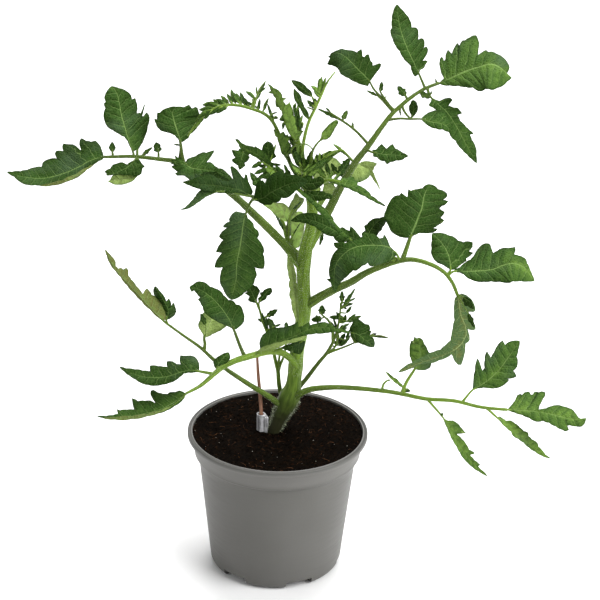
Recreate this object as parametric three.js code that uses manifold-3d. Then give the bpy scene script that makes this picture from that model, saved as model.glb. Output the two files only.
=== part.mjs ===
// A young tomato plant in a grey nursery pot: pot, soil, stem, leaves, side shoots, the growing
// tip, a thin support stick and the clip at its foot. Millimetres, +Z up. The origin is on the
// pot's axis, on the surface that the pot stands on.
import * as THREE from 'three';
import { mergeVertices } from 'three/addons/utils/BufferGeometryUtils.js';
import Module from 'manifold-3d';

const wasm = await Module();
wasm.setup();

// Pot and soil
const POT_HEIGHT = 106;
const LIP_RADIUS = 65;
const LIP_DEPTH = 3.4;
const EDGE_ROUND = 0.9;
const BAND_TOP_RADIUS = 63;
const BAND_FOOT_RADIUS = 60.2;
const BAND_FOOT_HEIGHT = 89.5;
const BODY_TOP_RADIUS = 57;
const BODY_FOOT_RADIUS = 48.2;
const FOOT_RADIUS = 42;
const FOOT_ROUND = 5;
const WALL = 1.4;
const FLOOR = 1.8;
const POT_SIDES = 32;
const SOIL_HEIGHT = 105.2;
const SOIL_SWELL = 0.4;
const SOIL_LUMP = 0.35;
const SOIL_WAVE = 9;
const SOIL_RINGS = 3;
const GAP = 0.3;

// Drain pockets in the pot's bottom edge
const DRAIN_COUNT = 6;
const DRAIN_FIRST = THREE.MathUtils.degToRad(-67.5);
const DRAIN_WIDTH = 20;
const DRAIN_RISE = 6.2;
const DRAIN_REACH = 13;
const DRAIN_CLEAR = 5;
const DRAIN_SLOT = 7;
const DRAIN_SLOT_DEPTH = 3;
const DRAIN_SLOT_RISE = 6;

// The picture that the plant's places are read from: the lens in pixels, and where the eye is
const PICTURE_CENTRE = 300;
const LENS = 1666.7;
const EYE = new THREE.Vector3(13.8, -1065.6, 673.6);
const LOOK_DOWN = THREE.MathUtils.degToRad(23.6);
const ROLL = THREE.MathUtils.degToRad(1.4);
const MM_PER_PIXEL = 0.72;

// Blades and stalks
const HALF_BLADE = 0.36;
const RIB_SAMPLES = 40;
const LEAST_STEP = 0.012;
const LAST_PLACE = 0.985;
const TEETH_SPAN = 0.9;
const NOTCH_REACH = 0.7;
const WIDEST_PLACE = 0.75;
const RIB_STEPS = 3;
const SMALL_RIB_STEPS = 2;
const VEIN_SWEEP = 0.55;
const MAIN_STEM_SIDES = 10;
const STALK_SIDES = 6;
const THIN_STALK_SIDES = 4;
const FINE_STALK_SIDES = 3;
const FINE_STALK = 1.8;
const THIN_STALK = 1.9;
const STALK_STEP = 20;
const LEAFLET_STALK = 1.7;
const STALK_SINK = 4;
const STALK_SINK_LIMIT = 0.9;
const STALK_TAPER = 0.8;
const SPRIG_RISE = 0.6;
const SPRIG_NECK = 1.1;
const SPRIG_PROFILE = [[0.24, 0], [0.5, 0.5], [0.76, 0.36]];
const SPRIG_LEAN = [0.6, -0.4];
const SMALL_LEAN = [0.8, -0.6];

const GREEN_STEM = new THREE.MeshStandardMaterial({ color: 0x7f9c3c, roughness: 0.6 });
const GREEN_LEAF = new THREE.MeshStandardMaterial({ color: 0x35662c, roughness: 0.6 });
const YOUNG_GREEN = new THREE.MeshStandardMaterial({ color: 0x5d8a3a, roughness: 0.6 });
const POT_GREY = new THREE.MeshStandardMaterial({ color: 0x7c7b76, roughness: 0.45 });
const DARK_SOIL = new THREE.MeshStandardMaterial({ color: 0x1e1712, roughness: 0.95 });
const BROWN_STICK = new THREE.MeshStandardMaterial({ color: 0x8a5a44, roughness: 0.7 });
const MILKY_CLIP = new THREE.MeshStandardMaterial({ color: 0xb9bbb8, roughness: 0.35 });

// A place in the picture, in pixels, with its depth y in millimetres, as a point in space
function spot(u, v, y) {
  const across = (u - PICTURE_CENTRE) / LENS;
  const upward = (PICTURE_CENTRE - v) / LENS;
  const right = across * Math.cos(ROLL) - upward * Math.sin(ROLL);
  const up = across * Math.sin(ROLL) + upward * Math.cos(ROLL);
  const ray = new THREE.Vector3(
    right,
    Math.cos(LOOK_DOWN) + Math.sin(LOOK_DOWN) * up,
    Math.cos(LOOK_DOWN) * up - Math.sin(LOOK_DOWN),
  );
  return ray.multiplyScalar((y - EYE.y) / ray.y).add(EYE);
}

function toSolid(geometry) {
  const bare = new THREE.BufferGeometry();
  bare.setAttribute('position', geometry.getAttribute('position').clone());
  if (geometry.index) bare.setIndex(geometry.index.clone());
  const merged = mergeVertices(bare, 1e-4);
  return new wasm.Manifold(new wasm.Mesh({
    numProp: 3,
    vertProperties: new Float32Array(merged.getAttribute('position').array),
    triVerts: new Uint32Array(merged.index.array),
  }));
}

function toMesh(name, solid, material) {
  const mesh = solid.getMesh();
  const geometry = new THREE.BufferGeometry();
  geometry.setAttribute('position', new THREE.BufferAttribute(new Float32Array(mesh.vertProperties), 3));
  geometry.setIndex(new THREE.BufferAttribute(new Uint32Array(mesh.triVerts), 1));
  geometry.computeVertexNormals();
  const out = new THREE.Mesh(geometry, material.clone());
  out.name = name;
  return out;
}

function largest(solid) {
  return solid.decompose().reduce((best, piece) => (piece.volume() > best.volume() ? piece : best));
}

function joined(solids) {
  return solids.reduce((sum, solid) => sum.add(solid));
}

// A tapering stalk along a route of [u, v, y] points; grow widens it all round
function stalk(route, widths, sides, grow = 0) {
  const points = route.map(([u, v, y]) => spot(u, v, y));
  const path = new THREE.CatmullRomCurve3(points, false, 'centripetal');
  const length = path.getLength();
  const steps = Math.max(1, Math.round(length / STALK_STEP));
  const section = new THREE.Shape(
    Array.from({ length: sides }, (_, i) => {
      const angle = (i * 2 * Math.PI) / sides;
      return new THREE.Vector2(Math.cos(angle), Math.sin(angle));
    }),
  );
  const tube = new THREE.ExtrudeGeometry(section, { steps, extrudePath: path, bevelEnabled: false });
  const centres = path.getSpacedPoints(steps);
  const position = tube.getAttribute('position');
  const at = new THREE.Vector3();
  for (let i = 0; i < position.count; i += 1) {
    at.fromBufferAttribute(position, i);
    let near = 0;
    centres.forEach((centre, k) => {
      if (centre.distanceTo(at) < centres[near].distanceTo(at)) near = k;
    });
    const x = near / steps;
    const span = x * (widths.length - 1);
    const k = Math.min(Math.floor(span), widths.length - 2);
    const radius = THREE.MathUtils.lerp(widths[k], widths[k + 1], span - k) / 2 + grow;
    at.sub(centres[near]).multiplyScalar(radius).add(centres[near]);
    position.setXYZ(i, at.x, at.y, at.z);
  }
  return toSolid(tube);
}

// The depth of a route where it passes nearest to a place in the picture, and that place
function nearestOn(route, u, v) {
  let best = { gap: Infinity };
  for (let i = 0; i < route.length - 1; i += 1) {
    const [u0, v0, y0] = route[i];
    const [u1, v1, y1] = route[i + 1];
    const along = ((u - u0) * (u1 - u0) + (v - v0) * (v1 - v0)) / ((u1 - u0) ** 2 + (v1 - v0) ** 2);
    const t = THREE.MathUtils.clamp(along, 0, 1);
    const at = [u0 + t * (u1 - u0), v0 + t * (v1 - v0), y0 + t * (y1 - y0)];
    const gap = Math.hypot(at[0] - u, at[1] - v);
    if (gap < best.gap) best = { gap, at };
  }
  return best.at;
}

// Points to each side of the line from base to tip, from [part of the line, half width] pairs
function bothSides(base, tip, profile) {
  const du = tip[0] - base[0];
  const dv = tip[1] - base[1];
  const length = Math.hypot(du, dv);
  return [-1, 1].map((side) => profile.map(([x, half]) => {
    return [base[0] + du * x - (side * half * dv) / length, base[1] + dv * x + (side * half * du) / length];
  }));
}

// Toothed sides for a small leaflet from its base to its tip, wide pixels across
function toothedSides(base, tip, wide, teeth) {
  const profile = Array.from({ length: 2 * teeth - 1 }, (_, k) => {
    const reach = k % 2 === 0 ? 1 : NOTCH_REACH;
    const x = (TEETH_SPAN * (k + 1)) / (2 * teeth);
    return [x, 0.5 * wide * reach * Math.sin(Math.PI * x ** WIDEST_PLACE)];
  });
  return bothSides(base, tip, profile);
}

// One thin leaf blade: its rib in picture places, the outline of its two sides from base to tip,
// and how fast each side falls back from the eye, in millimetres of depth per millimetre
function blade(rib, sides, lean, ribSteps) {
  const curve = new THREE.CatmullRomCurve3(rib.map((p) => new THREE.Vector3(...p)), false, 'centripetal');
  const length = Math.hypot(rib.at(-1)[0] - rib[0][0], rib.at(-1)[1] - rib[0][1]);
  const plan = [];
  const places = [];
  for (let i = 0; i <= ribSteps; i += 1) {
    plan.push(new THREE.Vector2(i / ribSteps, 0));
    places.push(curve.getPoint(i / ribSteps));
  }
  const faces = [];
  const border = [];
  sides.forEach((outline, k) => {
    const sign = k === 0 ? 1 : -1;
    const edge = [];
    let last = 0;
    outline.forEach(([u, v]) => {
      let near = { gap: Infinity };
      for (let i = 0; i <= RIB_SAMPLES; i += 1) {
        const p = curve.getPoint(i / RIB_SAMPLES);
        const gap = Math.hypot(p.x - u, p.y - v);
        if (gap < near.gap) near = { gap, t: i / RIB_SAMPLES, y: p.z };
      }
      last = THREE.MathUtils.clamp(near.t - (near.gap * VEIN_SWEEP) / length, last + LEAST_STEP, LAST_PLACE);
      edge.push(plan.length);
      plan.push(new THREE.Vector2(last, (sign * near.gap) / length));
      places.push(new THREE.Vector3(u, v, near.y + lean[k] * near.gap * MM_PER_PIXEL));
    });
    border.push(edge);
    const loop = [...Array(ribSteps + 1).keys(), ...edge.toReversed()];
    THREE.ShapeUtils.triangulateShape(loop.map((i) => plan[i]), []).forEach((face) => {
      const [a, b, c] = face.map((i) => loop[i]);
      const area = plan[b].clone().sub(plan[a]).cross(plan[c].clone().sub(plan[a]));
      faces.push(area > 0 ? [a, b, c] : [a, c, b]);
    });
  });
  const points = places.map((p) => spot(p.x, p.y, p.z));
  const normals = points.map(() => new THREE.Vector3());
  faces.forEach(([a, b, c]) => {
    const ab = points[b].clone().sub(points[a]);
    const normal = ab.cross(points[c].clone().sub(points[a])).normalize();
    [a, b, c].forEach((i) => normals[i].add(normal));
  });
  const count = points.length;
  const positions = [];
  [HALF_BLADE, -HALF_BLADE].forEach((offset) => {
    points.forEach((point, i) => {
      positions.push(...point.clone().addScaledVector(normals[i].normalize(), offset).toArray());
    });
  });
  const index = [];
  faces.forEach(([a, b, c]) => index.push(a, b, c, count + a, count + c, count + b));
  const loop = [0, ...border[1], ribSteps, ...border[0].toReversed()];
  loop.forEach((j, k) => {
    const i = loop[(k + 1) % loop.length];
    index.push(i, j, count + j, i, count + j, count + i);
  });
  const geometry = new THREE.BufferGeometry();
  geometry.setAttribute('position', new THREE.Float32BufferAttribute(positions, 3));
  geometry.setIndex(index);
  const solid = toSolid(geometry);
  if (solid.volume() > 0) return solid;
  geometry.setIndex(index.toReversed());
  return toSolid(geometry);
}

// A leaflet on its own stalk. from is where the stalk leaves the route, and via is its way.
// All depths are counted from the route's depth there
function leaflet(route, part) {
  const root = nearestOn(route, ...part.from);
  const deepen = ([u, v, dy]) => [u, v, dy + root[2]];
  const rib = part.rib.map(deepen);
  const sides = part.sides ?? toothedSides(part.rib[0], part.rib.at(-1), part.wide, part.teeth ?? 2);
  const step = Math.hypot(rib[1][0] - rib[0][0], rib[1][1] - rib[0][1]);
  const reach = Math.min(STALK_SINK_LIMIT, STALK_SINK / step);
  const neck = rib[1].map((value, i) => THREE.MathUtils.lerp(rib[0][i], value, reach));
  const width = part.stalk ?? LEAFLET_STALK;
  const way = [root, ...(part.via ?? []).map(deepen), rib[0], neck];
  const stalkSides = width < FINE_STALK ? FINE_STALK_SIDES : THIN_STALK_SIDES;
  const stem = stalk(way, [width, width * STALK_TAPER], stalkSides);
  return stem.add(blade(rib, sides, part.lean ?? SMALL_LEAN, part.sides ? RIB_STEPS : SMALL_RIB_STEPS));
}

// A bud-sized leaflet that narrows down into its route: [u, v, dy, wide] of its tip
function sprig(route, [u, v, dy, wide]) {
  const root = nearestOn(route, u, v);
  const middle = [(root[0] + u) / 2, (root[1] + v) / 2, root[2] + dy * SPRIG_RISE];
  const profile = SPRIG_PROFILE.map(([x, part]) => [x, Math.max(SPRIG_NECK, part * wide)]);
  const rib = [root, middle, [u, v, root[2] + dy]];
  return blade(rib, bothSides(root, [u, v], profile), SPRIG_LEAN, SMALL_RIB_STEPS);
}

// A frond: its main stalk, any side stalks, and the leaflets and sprigs on them
function frond(leaf) {
  const sides = leaf.width[0] > THIN_STALK ? STALK_SIDES : THIN_STALK_SIDES;
  const pieces = [stalk(leaf.route, leaf.width, sides)];
  (leaf.leaflets ?? []).forEach((part) => pieces.push(leaflet(leaf.route, part)));
  (leaf.sprigs ?? []).forEach((place) => pieces.push(sprig(leaf.route, place)));
  (leaf.branches ?? []).forEach((branch) => pieces.push(frond(branch)));
  return joined(pieces);
}

const MAIN_STEM = {
  route: [
    [272, 440, 0], [274.5, 430, 0], [280.5, 415.5, 3], [286.5, 403, 4], [292, 390, 3], [295, 370, 2],
    [297, 350, 1], [300, 335, 0], [303, 315, 0], [303.5, 290, 0], [303.5, 265, 0], [307, 243, 0],
    [311, 225, 0], [312, 205, 1], [309, 188, 2], [304, 174, 2],
  ],
  width: [8.5, 10.5, 11.4, 9.6, 9.8, 10.2, 10, 9, 8.2, 7.4, 6.4, 5],
};

const UPPER_LEFT_LEAF = {
  name: 'leaf_upper_left',
  route: [
    [302, 266, 0], [281, 241, 6], [262, 222, 12], [232, 194, 22], [205, 175, 30], [183, 165, 35],
    [158, 159, 39], [133, 157, 41], [104, 157, 42],
  ],
  width: [5.8, 5.4, 4, 2.8, 1.8],
  leaflets: [
    {
      from: [112, 157],
      rib: [[104, 157, 0], [85, 166, -2], [60, 175, -4], [30, 178, -8], [6, 171.5, -12]],
      sides: [
        [[99, 144], [95, 141], [81, 139], [81, 150], [72, 145], [63, 144], [63, 150], [56, 152], [57, 158],
          [50, 158], [41, 161], [41, 167], [22, 170]],
        [[92, 166], [84, 173], [74, 178], [60, 183], [45, 187], [30, 186], [15, 177]],
      ],
      lean: [1.4, -1.4],
    },
    {
      from: [134, 157],
      rib: [[134, 155, 1], [128, 135, 6], [121, 112, 14], [112, 88, 22]],
      sides: [
        [[127, 141], [115, 131], [104, 120], [103, 107], [105, 97], [107, 89]],
        [[137, 148], [146, 134], [143, 123], [148, 113], [138, 107], [137, 98], [130, 94], [121, 88]],
      ],
      lean: [-0.3, 0.5],
    },
    {
      from: [138, 157],
      rib: [[135, 161, -3], [126, 167, -8], [115, 173, -12], [107, 176, -16]],
      sides: [
        [[128, 160], [118, 161], [110, 165], [105, 171]],
        [[143, 165], [141, 173], [132, 180], [120, 184], [111, 182]],
      ],
      lean: [0.9, -1],
    },
    { from: [112, 157], rib: [[112, 152, 1], [112, 147, 3], [112, 141, 5]], wide: 7 },
    { from: [141, 158], rib: [[144, 155, 1], [148, 151, 2], [153, 146, 4]], wide: 7 },
    { from: [158, 159], rib: [[158, 153, 2], [157, 148, 4], [156, 142, 6]], wide: 10 },
    {
      from: [183, 165],
      rib: [[180, 146, 4], [177, 128, 8], [172, 115, 14], [169, 106, 18]],
      sides: [
        [[170, 139], [160, 131], [154, 119], [161, 117], [162, 109]],
        [[187, 142], [195, 134], [199, 123], [194, 118], [196, 108], [189, 105], [184, 112], [177, 107]],
      ],
      lean: [-0.2, 0.5],
    },
    { from: [182, 158], rib: [[178, 150, 2], [175, 147, 3], [171, 142, 4]], wide: 4 },
    {
      from: [183, 165],
      rib: [[181, 167, -4], [196, 170, -14], [214, 174, -22], [232, 179, -30]],
      sides: [
        [[178, 158], [184, 152], [190, 159], [200, 152], [214, 150], [213, 160], [222, 160], [224, 170]],
        [[184, 175], [196, 181], [212, 184], [224, 183]],
      ],
      lean: [1.2, -1],
    },
  ],
};

const FRONT_LEAF = {
  name: 'leaf_front',
  route: [[309, 190, 0], [292, 180, -14], [272, 186, -31], [253, 198, -46]],
  width: [3.8, 3, 2.6],
  leaflets: [
    {
      from: [255, 197],
      rib: [[250, 196, -3], [232, 187, -10], [208, 182, -19], [183, 182, -28]],
      sides: [
        [[249, 186], [243, 177], [240, 171], [236, 177], [231, 167], [222, 175], [205, 174]],
        [[244, 199], [232, 195], [215, 194], [200, 190]],
      ],
      lean: [1, -1],
    },
    {
      from: [255, 197],
      rib: [[220, 192, -20], [200, 200, -25], [180, 210, -30]],
      wide: 12,
      lean: [0.7, -0.7],
    },
    {
      from: [255, 197],
      rib: [[256, 200, -6], [268, 193, -8], [289, 184, -5], [308, 180, 0]],
      sides: [
        [[254, 190], [256, 183], [265, 176], [276, 171], [284, 170], [296, 175]],
        [[264, 204], [276, 201], [286, 196], [300, 187]],
      ],
      lean: [0.8, -0.9],
    },
    {
      from: [255, 197],
      via: [[249, 204, -3]],
      rib: [[246, 212, -5], [241, 235, -9], [238, 262, -9], [232, 300, -3]],
      sides: [
        [[238, 216], [222, 226], [219, 237], [215, 252], [214, 266], [221, 270], [224, 284]],
        [[251, 222], [257, 232], [260, 238], [263, 247], [264, 262], [258, 262], [256, 275], [250, 277],
          [248, 289], [240, 296]],
      ],
      lean: [0.3, -0.25],
    },
    { from: [300, 185], rib: [[303, 184, -9], [313, 184, -14], [324, 184, -18]], wide: 15 },
    { from: [302, 186], rib: [[309, 192, -12], [320, 195, -16], [333, 198, -20]], wide: 11 },
  ],
};

const UPPER_RIGHT_LEAF = {
  name: 'leaf_upper_right',
  route: [
    [309, 247, 0], [318, 231, 4], [327, 214, 9], [338, 192, 16], [355, 163, 25], [369, 145, 31],
    [381, 128, 36], [392, 114, 40], [409, 99, 44], [425, 88, 47], [441, 82, 49],
  ],
  width: [6.6, 5.8, 4.2, 3, 2],
  leaflets: [
    {
      from: [434, 85],
      rib: [[441, 82, 0], [460, 75, -2], [480, 69, -4], [508, 66, -8]],
      sides: [
        [[441, 68], [443, 57], [449, 50], [457, 43], [466, 37], [475, 35], [478, 44], [480, 53], [492, 50],
          [503, 55], [506, 60]],
        [[450, 88], [460, 91], [480, 91], [495, 88], [505, 82], [512, 78], [506, 72]],
      ],
      lean: [1.1, -1],
    },
    {
      from: [424, 88],
      rib: [[419, 73, 3], [410, 55, 9], [402, 38, 15], [397, 4, 26]],
      sides: [
        [[410, 66], [400, 58], [393, 43], [390, 30], [392, 17]],
        [[427, 70], [427, 61], [421, 54], [427, 47], [421, 44], [423, 38], [416, 34], [417, 27], [409, 22],
          [405, 12]],
      ],
      lean: [-0.3, 0.4],
    },
    {
      from: [393, 109],
      via: [[378, 94, 2]],
      rib: [[370, 84, 4], [360, 74, 7], [345, 64, 11], [329, 55, 15]],
      sides: [
        [[376, 76], [381, 63], [372, 62], [368, 55], [361, 50], [350, 52], [342, 48], [338, 53]],
        [[362, 84], [350, 80], [345, 74], [340, 72], [334, 70], [327, 64]],
      ],
      lean: [0.9, -0.9],
    },
    { from: [384, 117], rib: [[380, 98, 2], [381, 90, 3], [382, 81, 4]], wide: 5 },
    { from: [384, 117], rib: [[378, 99, 2], [372, 94, 3], [365, 89, 4]], wide: 6 },
    { from: [408, 98], rib: [[405, 94, 1], [401, 90, 2], [397, 84, 4]], wide: 9 },
    { from: [402, 103], rib: [[409, 113, -3], [413, 108, -4], [416, 100, -4]], wide: 10 },
    {
      from: [386, 117],
      via: [[400, 119, -4]],
      rib: [[418, 120, -8], [430, 124, -11], [452, 131, -15]],
      sides: [
        [[422, 112], [432, 110], [442, 114], [445, 120]],
        [[424, 128], [434, 134], [444, 136]],
      ],
      lean: [1.2, -1],
    },
    {
      from: [428, 87],
      rib: [[428, 95, -3], [440, 108, -7], [454, 126, -11], [466, 145, -15], [477, 163, -19]],
      sides: [
        [[436, 93], [446, 96], [452, 100], [454, 107], [462, 113], [463, 120], [467, 126], [466, 131],
          [472, 134], [473, 144], [476, 153]],
        [[422, 98], [423, 107], [430, 115], [432, 124], [442, 130], [446, 138], [456, 143], [462, 153]],
      ],
      lean: [0.9, -0.7],
    },
    {
      from: [364, 146],
      rib: [[377, 152, -6], [390, 154, -9], [408, 156, -12]],
      sides: [
        [[378, 147], [381, 144], [386, 149], [392, 144], [399, 150]],
        [[374, 157], [380, 160], [386, 164], [392, 160], [400, 161]],
      ],
      lean: [1.1, -0.9],
    },
    { from: [352, 161], rib: [[346, 155, 2], [340, 149, 3], [333, 143, 4]], wide: 6 },
    { from: [319, 230], rib: [[322, 234, 4], [320, 239, 5], [319, 246, 5]], wide: 4 },
  ],
  branches: [
    {
      route: [[368, 145, 31], [352, 128, 32], [340, 119, 34], [331, 113, 36]],
      width: [2.2, 1.6],
      leaflets: [
        { from: [333, 114], rib: [[333, 114, 0], [326, 111, 1], [316, 107, 3]], wide: 10 },
        { from: [341, 120], rib: [[343, 117, 1], [345, 113, 2], [347, 109, 3]], wide: 8 },
        { from: [352, 128], rib: [[353, 126, 1], [353, 123, 1], [353, 119, 2]], wide: 5 },
      ],
    },
  ],
};

const RIGHT_MIDDLE_LEAF = {
  name: 'leaf_right_middle',
  route: [
    [305, 306, 0], [320, 296, -4], [335, 288, -8], [350, 281, -12], [365, 273, -16], [380, 267, -20],
    [395, 262, -24], [412, 259, -28], [432, 265, -32], [445, 273, -34], [453, 285, -36], [457, 295, -37],
  ],
  width: [7.2, 5.4, 4, 3, 2.2],
  leaflets: [
    {
      from: [397, 261],
      via: [[380, 251, -2]],
      rib: [[358, 241, -3], [340, 236, -1], [318, 226, 3], [291, 220, 7]],
      sides: [
        [[356, 235], [350, 226], [343, 229], [336, 226], [330, 225], [322, 218], [305, 213], [296, 215]],
        [[345, 243], [335, 241], [320, 232], [312, 227], [300, 222]],
      ],
      lean: [0.7, -1],
    },
    {
      from: [397, 261],
      rib: [[347, 238, -7], [332, 216, -8], [317, 203, -9], [297, 190, -11]],
      wide: 11,
      lean: [0.5, -0.5],
    },
    {
      from: [397, 261],
      rib: [[393, 251, -4], [385, 246, -8], [370, 244, -12], [355, 247, -16], [342, 256, -18],
        [336, 272, -18], [333, 294, -16]],
      sides: [
        [[385, 234], [376, 240], [365, 236], [350, 240], [334, 243], [331, 257], [329, 270], [330, 284]],
        [[394, 256], [387, 264], [376, 266], [367, 262], [358, 266], [353, 271], [344, 281], [338, 289]],
      ],
      lean: [0.7, -0.7],
    },
    {
      from: [402, 260],
      rib: [[410, 237, 3], [416, 224, 7], [424, 207, 12], [437, 187, 20]],
      sides: [
        [[404, 237], [400, 236], [396, 229], [388, 225], [384, 218], [389, 210], [392, 201], [400, 193],
          [408, 189], [418, 189], [428, 183]],
        [[420, 233], [436, 228], [438, 222], [443, 221], [445, 211], [443, 206], [448, 201], [446, 194]],
      ],
      lean: [-0.2, 0.5],
    },
    { from: [401, 260], rib: [[396, 248, 4], [382, 234, 8], [366, 219, 12]], wide: 18, lean: [0.5, -0.5] },
    {
      from: [447, 275],
      rib: [[449, 269, 2], [445, 258, 5], [440, 246, 9], [432, 233, 14]],
      sides: [
        [[441, 264], [434, 259], [431, 250], [430, 240]],
        [[462, 267], [463, 262], [473, 252], [472, 242], [460, 240], [452, 237], [441, 235]],
      ],
      lean: [-0.3, 0.7],
    },
    {
      from: [447, 275],
      rib: [[453, 272, 0], [475, 270, -3], [500, 266, -6], [520, 269, -9], [535, 281, -12]],
      sides: [
        [[462, 262], [472, 254], [482, 250], [490, 243], [498, 248], [505, 246], [516, 248], [518, 256],
          [525, 260], [527, 268], [533, 274]],
        [[463, 275], [480, 281], [496, 279], [512, 282], [525, 280]],
      ],
      lean: [1.2, -1.1],
    },
    {
      from: [455, 290],
      rib: [[457, 298, 0], [461, 313, 2], [464, 328, 3], [462, 341, 3], [452, 351, 1], [438, 357, -2],
        [418, 364, -5], [398, 372, -8]],
      sides: [
        [[464, 301], [470, 306], [476, 310], [471, 320], [476, 329], [470, 337], [469, 350], [461, 364],
          [452, 358], [440, 364], [428, 362], [415, 371]],
        [[454, 310], [455, 322], [451, 335], [442, 350], [430, 354], [415, 361]],
      ],
      lean: [0.6, -0.6],
    },
  ],
};

const RIGHT_LOW_LEAF = {
  name: 'leaf_right_low',
  route: [
    [293, 398, 2], [303, 391, -4], [312, 388, -8], [340, 386.5, -18], [360, 387.5, -24], [380, 390, -30],
    [400, 393, -35], [428, 399, -41], [462, 401, -46], [487, 409, -49], [508, 410, -51],
  ],
  width: [4.6, 3.8, 3.2, 2.6, 2],
  leaflets: [
    {
      from: [398, 393],
      via: [[405, 382, 2]],
      rib: [[415, 370, 5], [420, 360, 7], [421, 350, 10], [415, 337, 14]],
      sides: [
        [[411, 364], [410, 354], [409, 345]],
        [[424, 369], [430, 362], [428, 353], [427, 346], [422, 340]],
      ],
      lean: [-0.3, 0.6],
    },
    { from: [381, 390], rib: [[384, 386, 1], [387, 382, 2], [391, 378, 3]], wide: 5 },
    { from: [411, 395], rib: [[403, 387, 2], [395, 378, 4], [385, 371, 6]], wide: 6 },
    {
      from: [427, 399],
      rib: [[444, 421, -6], [458, 438, -10], [471, 455, -13], [488.5, 477, -16]],
      sides: [
        [[450, 421], [457, 426], [466, 433], [465, 440], [474, 450], [475, 456], [482, 464]],
        [[444, 429], [450, 436], [452, 443], [458, 450], [467, 463], [477, 470]],
      ],
      lean: [0.8, -0.8],
    },
    {
      from: [461, 401],
      rib: [[472, 391, 3], [490, 376, 10], [505, 358, 18], [520, 341, 26]],
      sides: [
        [[473, 380], [477, 368], [478, 358], [485, 361], [487, 352], [496, 353], [502, 341], [511, 344]],
        [[484, 389], [495, 388], [507, 381], [508, 375], [515, 375], [514, 368], [517, 365], [519, 352]],
      ],
      lean: [0.3, -0.3],
    },
    {
      from: [486, 409],
      rib: [[496, 417, -4], [512, 428, -9], [530, 442, -13], [550, 458, -17]],
      sides: [
        [[500, 415], [507, 421], [520, 428], [522, 433], [530, 438], [537, 444], [543, 450]],
        [[500, 424], [508, 431], [522, 442], [531, 450], [540, 455]],
      ],
      lean: [1, -0.8],
    },
    {
      from: [500, 410],
      rib: [[508, 409, 0], [530, 410, -3], [555, 414, -6], [587.5, 418, -10]],
      sides: [
        [[513, 400], [521, 394], [531, 392], [538, 396], [545, 392], [543, 403], [558, 406], [566, 407],
          [575, 413]],
        [[515, 415], [525, 418], [545, 422], [557, 424], [568, 430], [570, 425], [578, 424]],
      ],
      lean: [1.3, -1.2],
    },
  ],
};

const LEFT_LOW_LONG_LEAF = {
  name: 'leaf_left_low_long',
  route: [
    [284, 409, 3], [275, 401, 0.5], [265, 394, 0], [255, 388, 2.5], [240, 378.5, 9], [226, 369, 17],
    [213, 359, 25], [200, 348, 32], [180, 332, 43], [167, 321, 50],
  ],
  width: [4.6, 4, 3.2, 2.4, 1.8],
  leaflets: [
    {
      from: [172, 325],
      rib: [[167, 321, 0], [150, 304, 6], [130, 282, 13], [105, 250, 22]],
      sides: [
        [[176, 318], [176, 311], [173, 304], [164, 298], [155, 286], [148, 292], [140, 283], [134, 277],
          [127, 269], [118, 264]],
        [[159, 316], [149, 309], [129, 287], [116, 272]],
      ],
      lean: [1.3, 0.4],
    },
    {
      from: [203, 350],
      rib: [[204, 339, 3], [210, 328, 7], [216, 320, 11], [222, 313, 15]],
      sides: [
        [[199, 333], [198, 325], [202, 317], [211, 312]],
        [[214, 338], [222, 333], [226, 324]],
      ],
      lean: [-0.3, -0.5],
    },
  ],
};

const LEFT_LOW_FRONT_LEAF = {
  name: 'leaf_left_low_front',
  route: [
    [297, 368, 0], [291, 360, -5], [280, 350, -10], [270, 351, -15], [258, 354, -20], [245, 357, -26],
    [232, 361, -32], [222, 366, -37], [211, 376, -45], [200, 384, -52], [186, 393, -59],
  ],
  width: [5, 4.4, 4.4, 3.2, 2],
  leaflets: [
    {
      from: [192, 389],
      rib: [[186, 393, 0], [160, 402, -5], [130, 410, -10], [98, 417, -15]],
      sides: [
        [[184, 391], [172, 392], [160, 390], [152, 392], [150, 399], [140, 400], [133, 399], [130, 406],
          [117, 410], [110, 412]],
        [[180, 401], [171, 408], [160, 411], [145, 416], [130, 419], [115, 419]],
      ],
      lean: [1.4, -1.3],
    },
    {
      from: [213, 374],
      rib: [[200, 371, 0], [180, 374, -2], [155, 376, -4], [119, 367, -8]],
      sides: [
        [[198, 362], [195, 356], [181, 355], [179, 361], [168, 361], [160, 366], [150, 366], [138, 367]],
        [[190, 378], [178, 381], [165, 384], [152, 386], [135, 382], [125, 375]],
      ],
      lean: [1.4, -1.2],
    },
    { from: [220, 367], rib: [[217, 369, 1], [223, 361, 5], [230, 353, 9]], wide: 14, lean: [0.6, -0.4] },
    {
      from: [256, 355],
      rib: [[261, 348, -3], [285, 338, -6], [310, 331, -8], [335, 331, -8], [352, 333, -8]],
      sides: [
        [[256, 344], [260, 337], [265, 332], [285, 327], [297, 322], [310, 327], [320, 323], [338, 327]],
        [[268, 350], [280, 346], [300, 340], [320, 335], [338, 335]],
      ],
      lean: [0.9, -0.6],
    },
    {
      from: [245, 357],
      via: [[240, 346, 4]],
      rib: [[233, 331, 7], [225, 312, 10], [210, 296, 13], [190, 287, 16]],
      sides: [
        [[243, 326], [244, 318], [240, 306], [233, 304], [225, 298], [221, 291], [215, 288], [208, 287],
          [200, 282], [195, 285]],
        [[228, 328], [220, 324], [213, 319], [206, 314], [204, 307], [198, 299], [195, 293]],
      ],
      lean: [0.7, -0.6],
    },
    { from: [270, 351], rib: [[283, 346, -7], [295, 349, -10], [307, 352, -12]], wide: 13 },
  ],
};

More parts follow.
